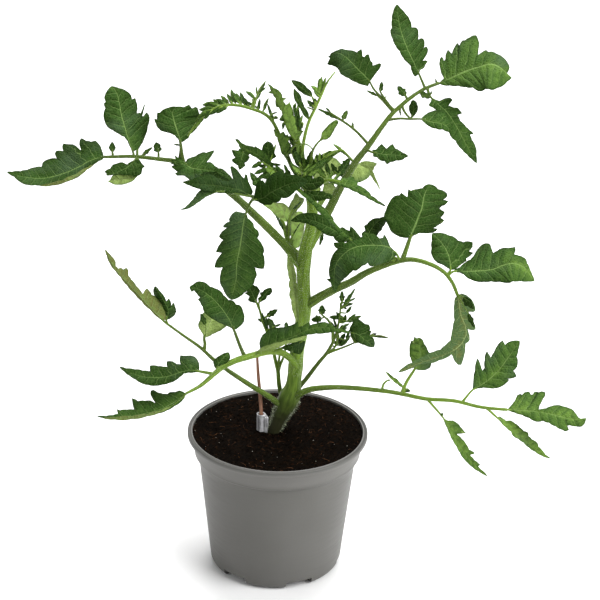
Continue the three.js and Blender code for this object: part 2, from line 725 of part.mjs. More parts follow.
const BEHIND_LEAF = {
  name: 'leaf_behind',
  route: [[311, 214, 2], [319, 205, 20], [329, 190, 42], [338, 174, 60], [350, 166, 74]],
  width: [5, 3.6, 2.4, 2],
  leaflets: [
    { from: [321, 208], rib: [[318, 196, 0], [310, 186, -2], [302, 176, -2]], wide: 20, lean: [0.8, -0.8] },
    { from: [322, 206], rib: [[330, 197, 4], [340, 190, 6], [352, 186, 8]], wide: 16, lean: [-0.7, 0.7] },
    { from: [333, 184], rib: [[328, 178, 2], [322, 172, 4], [314, 164, 6]], wide: 16, lean: [-0.7, 0.7] },
    { from: [338, 174], rib: [[338, 168, 2], [336, 164, 4], [334, 158, 6]], wide: 12, lean: [-0.7, 0.7] },
    { from: [350, 166], rib: [[352, 166, 0], [366, 166, 2], [382, 168, 4]], wide: 22, lean: [-0.8, 0.8] },
  ],
};

const PALE_LEAF = {
  name: 'leaf_pale',
  route: [[305, 262, 2], [291, 248, 12], [285, 228, 18], [278, 213, 24], [268, 206, 30]],
  width: [3.4, 2.6, 2],
  leaflets: [
    {
      from: [290, 245],
      rib: [[291, 238, 1], [294, 215, 3], [301, 190, 6]],
      sides: [
        [[284, 232], [283, 218], [287, 204], [294, 193]],
        [[299, 238], [303, 222], [307, 206], [307, 195]],
      ],
      lean: [-0.4, 0.3],
    },
    {
      from: [281, 218],
      rib: [[280, 215, 2], [271, 210, 8], [262, 205, 12]],
      sides: [
        [[284, 207], [276, 202], [267, 201]],
        [[276, 222], [266, 217], [261, 210]],
      ],
      lean: [-0.5, 0.4],
    },
  ],
};

const FOLDED_LEAF = {
  name: 'leaf_folded',
  route: [[304, 272, 0], [294, 262, -5], [287, 253, -9]],
  width: [2.4, 1.8],
  leaflets: [
    {
      from: [287, 254],
      rib: [[288, 254, 0], [292, 270, 1], [295, 290, 1], [297, 321, 2]],
      sides: [
        [[287, 262], [288, 272], [289, 284], [289, 295], [291, 305], [294, 314]],
        [[292, 262], [295, 270], [297, 284], [298, 306]],
      ],
      lean: [-1.2, -1.2],
    },
  ],
};

const LEFT_SIDE_SHOOT = {
  name: 'side_shoot_left',
  route: [
    [289, 399, 5], [281, 388, 10], [277, 370, 12], [273, 353, 14], [266, 330, 17], [260, 318, 19],
    [257, 304, 21],
  ],
  width: [3.4, 2.6, 2, 1.6],
  leaflets: [
    { from: [258, 306], rib: [[257, 303, 0], [251, 293, 3], [246, 282, 6]], wide: 15, lean: [0.4, -0.3] },
    { from: [258, 306], rib: [[260, 302, 0], [265, 297, 2], [271, 290, 4]], wide: 10 },
    { from: [262, 322], rib: [[267, 316, 0], [272, 313, 2], [279, 310, 4]], wide: 8 },
    { from: [264, 326], rib: [[267, 327, -1], [271, 322, 0], [274, 316, 2]], wide: 9 },
  ],
  branches: [
    {
      route: [[278, 372, 12], [280, 352, 12], [283, 336, 13], [285, 326, 14]],
      width: [2.4, 1.5],
      sprigs: [[286, 318, 3, 7], [278, 323, 2, 6], [291, 326, 2, 6]],
    },
  ],
};

const RIGHT_SIDE_SHOOT = {
  name: 'side_shoot_right',
  route: [
    [296, 396, 6], [304, 386, 9], [311, 375, 12], [318, 365, 14], [325, 357, 16], [331, 347, 18],
    [336, 333, 20], [339, 318, 23], [343, 306, 25],
  ],
  width: [3.6, 2.8, 2.2, 1.6],
  leaflets: [
    { from: [334, 338], rib: [[327, 324, 1], [320, 315, 3], [312, 305, 5]], wide: 13, lean: [0.5, -0.4] },
    { from: [343, 306], rib: [[343, 304, 0], [342, 298, 2], [342, 290, 4]], wide: 8 },
    { from: [343, 306], rib: [[346, 303, 0], [351, 295, 2], [357, 288, 4]], wide: 9 },
  ],
  sprigs: [[325, 311, 3, 9], [359, 310, 2, 10], [356, 324, 1, 9], [349, 335, -2, 9]],
  branches: [
    {
      route: [[327, 354, 16], [340, 348, 17], [352, 340, 19]],
      width: [2.2, 1.8],
      leaflets: [
        {
          from: [350, 341],
          rib: [[353, 337, 1], [360, 334, -1], [368, 340, -4], [375, 347, -8]],
          sides: [
            [[351, 328], [356, 321], [364, 319], [368, 327], [374, 331], [375, 339]],
            [[356, 342], [362, 345], [369, 348]],
          ],
          lean: [1.1, -0.9],
        },
        { from: [350, 341], rib: [[372, 336, 0], [380, 336, 0], [389, 338, 0]], wide: 4 },
      ],
    },
  ],
};

const ARCHING_YOUNG_LEAF = {
  name: 'young_leaf_arching',
  route: [
    [304, 190, 3], [295, 172, 7], [286, 150, 9], [278, 130, 10], [265, 115, 12], [245, 107, 14],
    [225, 106, 15], [205, 118, 16], [190, 134, 16],
  ],
  width: [3, 2.6, 2, 1.5],
  sprigs: [
    [190, 136, -2, 8], [197, 112, 3, 7], [203, 103, 4, 8], [213, 98, 4, 9], [222, 94, 4, 10],
    [231, 88, 4, 10], [240, 92, 4, 10], [250, 101, 2, 9], [259, 98, 3, 8], [268, 97, 4, 7],
    [269, 104, 4, 8], [274, 131, 2, 6],
  ],
};

const LEFT_YOUNG_LEAF = {
  name: 'young_leaf_left',
  route: [[306, 196, -2], [290, 182, -6], [275, 172, -10], [268, 166, -11]],
  width: [3.2, 3, 2.6],
  leaflets: [
    {
      from: [271, 168],
      rib: [[271, 168, 0], [259, 156, -2], [247, 150, -4], [235, 139, -6]],
      sides: [
        [[264, 164], [256, 157], [246, 152.5], [239, 147]],
        [[270, 160], [263, 151.5], [250, 146], [240, 141]],
      ],
      lean: [0.3, -0.6],
    },
    {
      from: [268, 166],
      via: [[256, 156, 3]],
      rib: [[244, 149, 1], [242, 158, -3], [239, 170, -6]],
      wide: 17,
      lean: [0.4, -0.4],
      teeth: 3,
    },
    { from: [269, 167], rib: [[270, 163, 2], [268, 153, 4], [266, 142, 6]], wide: 15, lean: [0.4, -0.4] },
  ],
  sprigs: [
    [276, 144, 3, 5], [253, 169, -3, 9], [262, 167, -3, 9], [258, 180, -4, 9], [272, 182, -4, 9],
  ],
};

const RIGHT_YOUNG_LEAF = {
  name: 'young_leaf_right',
  route: [[311, 196, -2], [322, 182, -12], [334, 180, -16]],
  width: [2.8, 2],
  leaflets: [
    {
      from: [333, 180],
      rib: [[334, 180, 0], [350, 184, -2], [370, 196, -3], [386, 207, -4]],
      wide: 10,
      lean: [1, -0.6],
      teeth: 3,
    },
  ],
  sprigs: [[356, 177, 3, 8], [345, 172, 3, 8], [322, 172, 3, 7]],
};

const GROWING_TIP = {
  name: 'growing_tip',
  route: [[304, 174, 2], [302, 166, 1], [301, 158, 0], [299, 148, 1], [297, 138, 2]],
  width: [4.6, 4, 3],
  sprigs: [[290, 165, -3, 7], [308, 158, -3, 8], [314, 166, -2, 8], [305, 150, 2, 7]],
  branches: [
    {
      route: [[301, 162, 0], [303, 146, -2], [308, 124, -3], [316, 105, -2], [322, 92, 0], [329, 79, 2]],
      width: [2.6, 2, 1.5],
      leaflets: [
        { from: [310, 120], rib: [[308, 116, -1], [302, 104, -2], [294, 88, -2]], wide: 8 },
        { from: [316, 105], rib: [[312, 97, 0], [302, 88, 1], [291, 80, 2]], wide: 9 },
        { from: [316, 105], rib: [[312, 97, 2], [308, 94, 2], [301, 91, 3]], wide: 6 },
      ],
      sprigs: [[308, 101, 1, 9], [311, 85, 2, 7], [319, 76, 2, 9], [325, 77, 1, 8], [335, 72, 2, 5],
        [314, 91, 1, 7]],
    },
    {
      route: [[299, 150, 1], [294, 138, 3], [287, 126, 5], [283, 112, 7], [279, 98, 9]],
      width: [2.6, 2.4, 1.8],
      sprigs: [[268, 84, 4, 9], [278, 89, 2, 9], [286, 98, 1, 6], [273, 102, 2, 7], [280, 120, 2, 6]],
    },
    {
      route: [[298, 144, 1], [295, 132, 0], [292, 120, -1], [290, 108, -2]],
      width: [2.6, 2.2, 1.6],
      sprigs: [[284, 103, 2, 6], [289, 99, 1, 7], [297, 103, 0, 8], [298, 116, -2, 7], [303, 118, -1, 7],
        [303, 128, -2, 7]],
    },
    {
      route: [[302, 168, 0], [307, 160, -5], [313, 150, -8], [321, 140, -9]],
      width: [2, 1.5],
      leaflets: [{ from: [320, 141], rib: [[321, 140, 0], [328, 132, 1], [338, 121, 3]], wide: 12 }],
    },
    {
      route: [[303, 172, 1], [312, 171, -3], [320, 163, -6], [330, 155, -7], [341, 151, -8]],
      width: [2.6, 2, 1.4],
      sprigs: [[305, 159, 2, 6], [316, 155, 2, 7], [321, 152, 2, 6], [329, 151, 2, 6], [348, 150, 0, 6],
        [326, 168, -2, 8]],
    },
    {
      route: [[300, 158, 0], [292, 150, -4], [286, 140, -5], [279, 132, -5]],
      width: [2.2, 1.5],
      sprigs: [[283, 160, -3, 8], [291, 136, 1, 7], [272, 131, 0, 6]],
    },
  ],
};

const LEAVES = [
  UPPER_LEFT_LEAF, FRONT_LEAF, UPPER_RIGHT_LEAF, RIGHT_MIDDLE_LEAF, RIGHT_LOW_LEAF, LEFT_LOW_LONG_LEAF,
  LEFT_LOW_FRONT_LEAF, BEHIND_LEAF, PALE_LEAF, FOLDED_LEAF, LEFT_SIDE_SHOOT, RIGHT_SIDE_SHOOT,
  ARCHING_YOUNG_LEAF, LEFT_YOUNG_LEAF, RIGHT_YOUNG_LEAF, GROWING_TIP,
];

// The stick leans away behind the lowest leaf's stalk; the clip sleeve stands upright round its foot
const STICK = {
  route: [[261.2, 431, 1.7], [261, 411, 1.7], [260, 394, 5.2], [258.2, 375, 8], [257.2, 357, 10]],
  width: [3, 2.8, 2.4, 2],
};
const STICK_SIDES = 8;
const CLIP_FOOT = [260.9, 428.2, 1.7];
const CLIP_HEIGHT = 11.8;
const CLIP_RADIUS = 3.3;
const CLIP_TAB = 5.9;
const CLIP_TAB_THICKNESS = 2.8;
const CLIP_TURN = THREE.MathUtils.degToRad(-30);
const CLIP_SINK = 3;
const CLIP_SIDES = 14;
const CLIP_CORNER = 0.8;

function round(points, sides) {
  const lathe = new THREE.LatheGeometry(points.map(([r, z]) => new THREE.Vector2(r, z)), sides);
  lathe.rotateX(Math.PI / 2);
  return toSolid(lathe);
}

// The pot's outer wall from the foot's centre up to the lip's top, as [radius, height]
function outerProfile() {
  const corner = [1, 2].map((k) => {
    const angle = (k * Math.PI) / 6;
    const radius = THREE.MathUtils.lerp(FOOT_RADIUS, BODY_FOOT_RADIUS, Math.sin(angle));
    return [radius, FOOT_ROUND * (1 - Math.cos(angle))];
  });
  return [
    [0, 0], [FOOT_RADIUS, 0], ...corner, [BODY_FOOT_RADIUS, FOOT_ROUND],
    [BODY_TOP_RADIUS, BAND_FOOT_HEIGHT - EDGE_ROUND],
    [BAND_FOOT_RADIUS - EDGE_ROUND, BAND_FOOT_HEIGHT - EDGE_ROUND], [BAND_FOOT_RADIUS, BAND_FOOT_HEIGHT],
    [BAND_TOP_RADIUS, POT_HEIGHT - LIP_DEPTH],
    [LIP_RADIUS - EDGE_ROUND, POT_HEIGHT - LIP_DEPTH], [LIP_RADIUS, POT_HEIGHT - LIP_DEPTH + EDGE_ROUND],
    [LIP_RADIUS, POT_HEIGHT - EDGE_ROUND], [LIP_RADIUS - EDGE_ROUND, POT_HEIGHT],
  ];
}

// The inside of the wall from the lip's inner edge down to the floor's centre
function innerProfile(gap) {
  const inner = BAND_TOP_RADIUS - WALL - gap;
  return [
    [inner, POT_HEIGHT], [inner, POT_HEIGHT - LIP_DEPTH],
    [BAND_FOOT_RADIUS - WALL - gap, BAND_FOOT_HEIGHT + EDGE_ROUND],
    [BODY_TOP_RADIUS - WALL - gap, BAND_FOOT_HEIGHT - 2 * EDGE_ROUND],
    [BODY_FOOT_RADIUS - WALL - gap, FOOT_ROUND + EDGE_ROUND],
    [FOOT_RADIUS - WALL - gap, FLOOR + gap], [0, FLOOR + gap],
  ];
}

function box(width, depth, height, x, z) {
  const geometry = new THREE.BoxGeometry(width, depth, height);
  geometry.translate(x, 0, z);
  return geometry;
}

// A box for each drain pocket, grown all round by extra
function drainBoxes(extra) {
  return joined(Array.from({ length: DRAIN_COUNT }, (_, k) => {
    const reach = DRAIN_REACH + DRAIN_CLEAR + extra;
    const geometry = box(
      reach, DRAIN_WIDTH + 2 * extra, DRAIN_RISE + DRAIN_CLEAR + extra,
      BODY_FOOT_RADIUS - DRAIN_REACH - extra + reach / 2, (DRAIN_RISE + extra - DRAIN_CLEAR) / 2,
    );
    geometry.rotateZ(DRAIN_FIRST + (k * 2 * Math.PI) / DRAIN_COUNT);
    return toSolid(geometry);
  }));
}

// The slots that let water out of the soil into each pocket
function drainSlots() {
  return joined(Array.from({ length: DRAIN_COUNT }, (_, k) => {
    const middle = BODY_FOOT_RADIUS - DRAIN_REACH + DRAIN_SLOT_DEPTH;
    const geometry = box(DRAIN_SLOT_DEPTH, DRAIN_SLOT, DRAIN_SLOT_RISE, middle, DRAIN_RISE);
    geometry.rotateZ(DRAIN_FIRST + (k * 2 * Math.PI) / DRAIN_COUNT);
    return toSolid(geometry);
  }));
}

function pot() {
  const filled = round([...outerProfile(), [0, POT_HEIGHT]], POT_SIDES);
  const inside = round([...innerProfile(-WALL / 2).toReversed(), [0, POT_HEIGHT]], POT_SIDES);
  const above = POT_HEIGHT + LIP_DEPTH;
  const hollow = round(
    [...innerProfile(0).toReversed(), [BAND_TOP_RADIUS - WALL, above], [0, above]], POT_SIDES,
  );
  const pockets = drainBoxes(WALL).intersect(inside);
  return filled.subtract(hollow).add(pockets).subtract(drainBoxes(0)).subtract(drainSlots());
}

// The soil fills the pot up to just under the lip, and its top is gently uneven
function soil(standing) {
  const wall = innerProfile(GAP).toReversed().slice(0, -1);
  const edge = SOIL_HEIGHT - SOIL_SWELL;
  const rim = BAND_TOP_RADIUS - WALL - 2 * GAP;
  const top = Array.from({ length: SOIL_RINGS }, (_, k) => {
    const x = 1 - (k + 0.2) / SOIL_RINGS;
    return [rim * x, SOIL_HEIGHT - SOIL_SWELL * x ** 2 + SOIL_LUMP * Math.sin(SOIL_WAVE * x)];
  });
  const filled = round([...wall, [rim, edge], ...top, [0, SOIL_HEIGHT]], POT_SIDES);
  return largest(filled.subtract(drainBoxes(WALL + GAP)).subtract(standing));
}

// The clip's section seen from above: a ring with a short flat tab
function clipSection(grow) {
  const half = CLIP_TAB_THICKNESS / 2 + grow;
  const outer = CLIP_RADIUS + grow;
  const start = Math.asin(half / outer);
  const tip = CLIP_TAB + grow;
  const ring = Array.from({ length: CLIP_SIDES + 1 }, (_, i) => {
    const angle = THREE.MathUtils.lerp(start, 2 * Math.PI - start, i / CLIP_SIDES);
    return new THREE.Vector2(outer * Math.cos(angle), outer * Math.sin(angle));
  });
  const tab = [
    [tip - CLIP_CORNER, -half], [tip, CLIP_CORNER - half],
    [tip, half - CLIP_CORNER], [tip - CLIP_CORNER, half],
  ];
  return new THREE.Shape([...ring, ...tab.map(([x, y]) => new THREE.Vector2(x, y))]);
}

function clip(grow) {
  const foot = spot(...CLIP_FOOT);
  const section = clipSection(grow);
  const geometry = new THREE.ExtrudeGeometry(section, {
    depth: CLIP_HEIGHT + CLIP_SINK + grow, bevelEnabled: false,
  });
  geometry.rotateZ(CLIP_TURN);
  geometry.translate(foot.x, foot.y, foot.z - CLIP_SINK - grow);
  return toSolid(geometry);
}

const group = new THREE.Group();
const stemSolid = stalk(MAIN_STEM.route, MAIN_STEM.width, MAIN_STEM_SIDES);
const stemRoom = stalk(MAIN_STEM.route, MAIN_STEM.width, MAIN_STEM_SIDES, GAP);
const stickSolid = stalk(STICK.route, STICK.width, STICK_SIDES);
const stickRoom = stalk(STICK.route, STICK.width, STICK_SIDES, GAP);

group.add(toMesh('pot', pot(), POT_GREY));
group.add(toMesh('soil', soil(joined([stemRoom, stickRoom, clip(GAP)])), DARK_SOIL));
group.add(toMesh('main_stem', stemSolid, GREEN_STEM));
group.add(toMesh('support_stick', stickSolid, BROWN_STICK));
group.add(toMesh('graft_clip', clip(0).subtract(stickRoom), MILKY_CLIP));
LEAVES.forEach((leaf) => {
  const young = leaf.name.startsWith('young') || leaf.name === 'growing_tip';
  const solid = largest(frond(leaf).subtract(stemRoom));
  group.add(toMesh(leaf.name, solid, young ? YOUNG_GREEN : GREEN_LEAF));
});

export default group;
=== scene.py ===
# A young tomato plant in a grey nursery pot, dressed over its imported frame: the pot, the soil, the
# stem and its fine hairs, every leaf with its leaflets and veins, the stick and the clip.
# The tables give the plant's places as they are seen in the picture, with their depth.
import math
import random

import bmesh
import bpy
import numpy as np
from mathutils import Matrix, Vector, noise


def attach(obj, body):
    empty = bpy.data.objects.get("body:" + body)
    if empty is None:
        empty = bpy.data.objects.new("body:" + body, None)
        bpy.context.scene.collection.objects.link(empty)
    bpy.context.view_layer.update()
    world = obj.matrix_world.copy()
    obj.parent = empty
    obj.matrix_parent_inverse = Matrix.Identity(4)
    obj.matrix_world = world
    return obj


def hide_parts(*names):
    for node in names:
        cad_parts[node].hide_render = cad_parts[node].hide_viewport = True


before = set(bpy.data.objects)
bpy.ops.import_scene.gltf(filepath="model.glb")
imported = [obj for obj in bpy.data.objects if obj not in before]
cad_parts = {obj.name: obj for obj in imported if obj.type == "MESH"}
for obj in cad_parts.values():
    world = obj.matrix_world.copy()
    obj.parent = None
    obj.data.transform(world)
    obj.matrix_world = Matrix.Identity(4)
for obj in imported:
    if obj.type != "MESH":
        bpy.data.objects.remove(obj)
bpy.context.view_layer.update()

# Millimetres, in metres
MM = 0.001

# The pot, in millimetres
POT_HEIGHT = 106
LIP_RADIUS = 65
LIP_DEPTH = 3.4
LIP_ROUND = 1
LIP_INNER_ROUND = 0.45
LIP_GROOVE_RADIUS = 62.9
LIP_GROOVE_REACH = 0.7
LIP_GROOVE_DEPTH = 0.5
BAND_TOP_RADIUS = 63
BAND_FOOT_RADIUS = 60.2
BAND_FOOT_HEIGHT = 89.5
BODY_TOP_RADIUS = 57
BODY_FOOT_RADIUS = 48.2
FOOT_RADIUS = 42
FOOT_ROUND = 5
WALL = 1.4
FLOOR = 1.8
POT_SIDES = 144
GAP = 0.3

# The drain pockets in the pot's bottom edge, in millimetres
DRAIN_COUNT = 6
DRAIN_FIRST = math.radians(-67.5)
DRAIN_WIDTH = 20
DRAIN_RISE = 6.2
DRAIN_REACH = 13
DRAIN_SLOT = 7

# The soil, in millimetres
SOIL_HEIGHT = 105
SOIL_SWELL = 0.4
SOIL_RIM_RADIUS = 61.1
SOIL_RINGS = 56
SOIL_SPOKES = 168

# The picture that the plant's places are read from: the lens in pixels, and where the eye is
PICTURE_CENTRE = 300
LENS = 1666.7
LENS_LENGTH = 100
SENSOR_WIDTH = 36
EYE = np.array([13.8, -1065.6, 673.6])
LOOK_DOWN = math.radians(23.6)
ROLL = math.radians(1.4)
MM_PER_PIXEL = 0.72
RIGHT = np.array([
    math.cos(ROLL), math.sin(ROLL) * math.sin(LOOK_DOWN), math.sin(ROLL) * math.cos(LOOK_DOWN),
])
UP = np.array([
    -math.sin(ROLL), math.cos(ROLL) * math.sin(LOOK_DOWN), math.cos(ROLL) * math.cos(LOOK_DOWN),
])
AHEAD = np.array([0, math.cos(LOOK_DOWN), -math.sin(LOOK_DOWN)])

# Leaflets
VEIN_SWEEP = 0.55
VEIN_STEP = 6
BLADE_THICKNESS = 0.34
LEAST_STEP = 0.012
LAST_PLACE = 0.985
EDGE_BULGE = 0.06
BLADE_DOME = 0.3
LARGE_LEAFLET = 42
MIDDLE_LEAFLET = 18
TOOTH_HOLLOW = 0.7
LEAN = [0.8, -0.6]
MIDRIB_SINK = 0.25
MIDRIB_RIDGE = 1.6

# Stalks
LEAFLET_STALK = 1.7
SLIP_STALK = 1.1
STALK_SINK = 4
STALK_STEP = 2.5
SLIM_STALK = 2.5
GROOVE_DEPTH = 0.05

# The finishes of a frond, in the order of its material slots
SKIN, UPPER, UNDER = 0, 1, 2

rng = random.Random(7)


# Places and lines

def spots(places):
    """Places in the picture, [u, v] in pixels with their depth in millimetres, as points in metres."""
    places = np.asarray(places, float)
    across = (places[..., 0] - PICTURE_CENTRE) / LENS
    upward = (PICTURE_CENTRE - places[..., 1]) / LENS
    ray = AHEAD + across[..., None] * RIGHT + upward[..., None] * UP
    return (EYE + ray * ((places[..., 2] - EYE[1]) / ray[..., 1])[..., None]) * MM


def curve(points, count):
    """A smooth line through points, as count + 1 evenly spaced places."""
    points = np.asarray(points, float)
    ends = [2 * points[0] - points[1], 2 * points[-1] - points[-2]]
    knots = np.vstack([ends[0], points, ends[1]])
    fine = []
    for a, b, c, d in zip(knots, knots[1:], knots[2:], knots[3:]):
        gaps = [max(np.linalg.norm(q - p), 1e-9) ** 0.5 for p, q in ((a, b), (b, c), (c, d))]
        out = ((b - a) / gaps[0] - (c - a) / (gaps[0] + gaps[1]) + (c - b) / gaps[1]) * gaps[1]
        into = ((c - b) / gaps[1] - (d - b) / (gaps[1] + gaps[2]) + (d - c) / gaps[2]) * gaps[1]
        t = np.linspace(0, 1, 24, endpoint=False)[:, None]
        fine.append(
            (2 * t**3 - 3 * t**2 + 1) * b + (t**3 - 2 * t**2 + t) * out
            + (3 * t**2 - 2 * t**3) * c + (t**3 - t**2) * into
        )
    fine = np.vstack([*fine, points[-1:]])
    run = run_of(fine)
    even = np.linspace(0, run[-1], count + 1)
    return np.stack([np.interp(even, run, fine[:, axis]) for axis in range(fine.shape[1])], axis=1)


def run_of(path):
    """How far along a path each of its places lies."""
    return np.concatenate([[0], np.cumsum(np.linalg.norm(np.diff(path, axis=0), axis=1))])


def spread(values, count):
    """A short list of values, drawn out evenly over count + 1 places."""
    return np.interp(np.linspace(0, len(values) - 1, count + 1), range(len(values)), values)


def nearest_on(route, u, v):
    """Where a route of [u, v, depth] places passes nearest to a place in the picture."""
    best_gap, best = math.inf, None
    for a, b in zip(np.asarray(route, float), np.asarray(route[1:], float)):
        step = b[:2] - a[:2]
        along = np.clip(np.dot(np.array([u, v]) - a[:2], step) / np.dot(step, step), 0, 1)
        at = a + along * (b - a)
        gap = math.hypot(at[0] - u, at[1] - v)
        if gap < best_gap:
            best_gap, best = gap, at
    return best


# Meshes

class Shell:
    """One piece as it grows: its points and faces, and what its finishes read from them."""

    def __init__(self):
        self.points, self.plans, self.tones, self.rims = [], [], [], []
        self.faces, self.finishes = [], []
        self.count = 0

    def add(self, points, faces, finishes, plans, tone, rims=()):
        self.points.append(points)
        self.plans.append(plans)
        self.tones.append(np.broadcast_to(tone, len(points)))
        rim = np.zeros(len(points), bool)
        rim[list(rims)] = True
        self.rims.append(rim)
        self.faces += [tuple(i + self.count for i in face) for face in faces]
        self.finishes += finishes
        self.count += len(points)

    def piece(self, name, materials):
        mesh = bpy.data.meshes.new(name)
        mesh.from_pydata(np.vstack(self.points), [], self.faces)
        for material in materials:
            mesh.materials.append(material)
        mesh.polygons.foreach_set("material_index", self.finishes)
        mesh.polygons.foreach_set("use_smooth", [True] * len(self.faces))
        plan = mesh.attributes.new("plan", "FLOAT_VECTOR", "POINT")
        plan.data.foreach_set("vector", np.vstack(self.plans).ravel())
        tone = mesh.attributes.new("tone", "FLOAT", "POINT")
        tone.data.foreach_set("value", np.concatenate(self.tones))
        rim = np.concatenate(self.rims)
        ends = np.empty(len(mesh.edges) * 2, int)
        mesh.edges.foreach_get("vertices", ends)
        sharp = mesh.attributes.new("sharp_edge", "BOOLEAN", "EDGE")
        sharp.data.foreach_set("value", rim[ends[0::2]] & rim[ends[1::2]])
        mesh.update()
        return placed(name, mesh)


def placed(name, mesh):
    thing = bpy.data.objects.new(name, mesh)
    bpy.context.collection.objects.link(thing)
    return thing


def piece_of(name, made):
    """A mesh that has been put together, as a thing of its own."""
    mesh = bpy.data.meshes.new(name)
    made.to_mesh(mesh)
    made.free()
    return placed(name, mesh)


def settled(thing):
    """The thing's modifiers made part of its mesh, and removed."""
    bpy.context.view_layer.update()
    graph = bpy.context.evaluated_depsgraph_get()
    done = thing.evaluated_get(graph)
    mesh = bpy.data.meshes.new_from_object(done, preserve_all_data_layers=True, depsgraph=graph)
    thing.modifiers.clear()
    thing.data = mesh
    return thing


def cut(thing, tool, operation="DIFFERENCE"):
    change = thing.modifiers.new("cut", "BOOLEAN")
    change.operation = operation
    change.solver = "EXACT"
    change.object = tool
    settled(thing)
    bpy.data.objects.remove(tool)
    return thing


def ring_at(made, radius, height, sides):
    """A level ring of points round the upright axis, or one point where it has no radius."""
    if radius < 1e-6:
        return [made.verts.new((0, 0, height * MM))]
    ring = []
    for k in range(sides):
        turn = k * math.tau / sides
        ring.append(made.verts.new((radius * math.cos(turn) * MM, radius * math.sin(turn) * MM, height * MM)))
    return ring


def turned(name, profile, sides):
    """A closed solid turned round the upright axis, from [radius, height] pairs in millimetres."""
    made = bmesh.new()
    rings = [ring_at(made, radius, height, sides) for radius, height in profile]
    for low, high in zip(rings, rings[1:]):
        for k in range(sides):
            near = [low[k % len(low)], low[(k + 1) % len(low)]]
            far = [high[(k + 1) % len(high)], high[k % len(high)]]
            made.faces.new(list(dict.fromkeys(near + far)))
    bmesh.ops.recalc_face_normals(made, faces=made.faces)
    return piece_of(name, made)


def block(name, low, high, turn):
    """A box between two corners, turned round the upright axis, in millimetres."""
    made = bmesh.new()
    bmesh.ops.create_cube(made, size=1)
    middle = (Vector(low) + Vector(high)) / 2
    size = Vector(high) - Vector(low)
    box = Matrix.Translation(middle * MM) @ Matrix.Diagonal((*(size * MM), 1))
    made.transform(Matrix.Rotation(turn, 4, "Z") @ box)
    return piece_of(name, made)


def soften(thing, angle=35, width=0.0, segments=2):
    """Shades a thing smooth, with its edges past the angle rounded off or kept sharp."""
    made = bmesh.new()
    made.from_mesh(thing.data)
    bmesh.ops.remove_doubles(made, verts=made.verts, dist=1e-7)
    keenest = math.radians(angle)
    keen = [e for e in made.edges if len(e.link_faces) == 2 and e.calc_face_angle() > keenest]
    if width:
        bmesh.ops.bevel(
            made, geom=keen, offset=width * MM, segments=segments, profile=0.6, affect="EDGES",
            clamp_overlap=True,
        )
    for face in made.faces:
        face.smooth = True
    for edge in made.edges:
        if len(edge.link_faces) == 2:
            edge.smooth = edge.calc_face_angle() < keenest
    made.to_mesh(thing.data)
    made.free()
    return thing


def tube(shell, path, radii, sides, tone, ridges=None):
    """A tapering stalk along path, closed at both ends. ridges changes its radius round and along,
    and tone may be a list from its foot to its end."""
    steps = len(path)
    ahead = np.gradient(path, axis=0)
    ahead /= np.linalg.norm(ahead, axis=1)[:, None]
    side = np.cross(ahead[0], [0.31, 0.27, 0.91])
    sides_at = []
    for direction in ahead:
        side = side - direction * np.dot(side, direction)
        side = side / np.linalg.norm(side)
        sides_at.append(side)
    first = np.array(sides_at)[:, None, :]
    second = np.cross(ahead, first[:, 0])[:, None, :]
    angle = np.arange(sides) * math.tau / sides
    run = run_of(path)
    reach = np.broadcast_to(radii[:, None], (steps, sides))
    if ridges:
        reach = reach * ridges(angle[None, :], run[:, None])
    ring = np.cos(angle)[None, :, None] * first + np.sin(angle)[None, :, None] * second
    points = path[:, None, :] + ring * reach[..., None]
    round_it = np.broadcast_arrays(np.cos(angle)[None, :], np.sin(angle)[None, :], run[:, None] / MM)
    plans = np.stack(round_it, axis=2)
    faces = []
    for i in range(steps - 1):
        for k in range(sides):
            a, b = i * sides + k, i * sides + (k + 1) % sides
            faces.append((a, b, b + sides, a + sides))
    count = steps * sides
    faces += [(count, (k + 1) % sides, k) for k in range(sides)]
    last = (steps - 1) * sides
    faces += [(count + 1, last + k, last + (k + 1) % sides) for k in range(sides)]
    domes = [path[0] - ahead[0] * radii[0] * 0.4, path[-1] + ahead[-1] * radii[-1] * 0.4]
    tones = np.repeat(spread(np.atleast_1d(tone), steps - 1), sides)
    shell.add(
        np.vstack([points.reshape(-1, 3), *domes]), faces, [SKIN] * len(faces),
        np.vstack([plans.reshape(-1, 3), [[0, 0, 0], [0, 0, run[-1] / MM]]]),
        np.append(tones, [tones[0], tones[-1]]),
    )


# Leaflets

def toothed_sides(base, tip, wide, teeth):
    """Toothed sides for a small leaflet from its base to its tip, wide pixels across."""
    base, tip = np.array(base[:2], float), np.array(tip[:2], float)
    step = tip - base
    normal = np.array([-step[1], step[0]]) / np.linalg.norm(step)
    sides = [[], []]
    for k in range(2 * teeth - 1):
        x = 0.9 * (k + 1) / (2 * teeth)
        reach = 1 if k % 2 == 0 else TOOTH_HOLLOW
        half = 0.5 * wide * reach * math.sin(math.pi * x**0.75)
        sides[0].append(base + step * x + half * normal)
        sides[1].append(base + step * x - half * normal)
    return sides


def outline_of(fine, outline, lean):
    """A side's corners from base to tip: how far along the rib each one's vein leaves, and its place."""
    length = np.linalg.norm(fine[-1, :2] - fine[0, :2])
    stops, places = [0.0], [fine[0]]
    for place in outline:
        gaps = np.hypot(fine[:, 0] - place[0], fine[:, 1] - place[1])
        near = int(gaps.argmin())
        along = near / (len(fine) - 1) - gaps[near] * VEIN_SWEEP / length
        stops.append(max(min(along, LAST_PLACE), stops[-1] + LEAST_STEP))
        places.append([place[0], place[1], fine[near, 2] + lean * gaps[near] * MM_PER_PIXEL])
    end = max(1.0, stops[-1] + LEAST_STEP)
    return np.array([*stops, end]) / end, np.array([*places, fine[-1]])


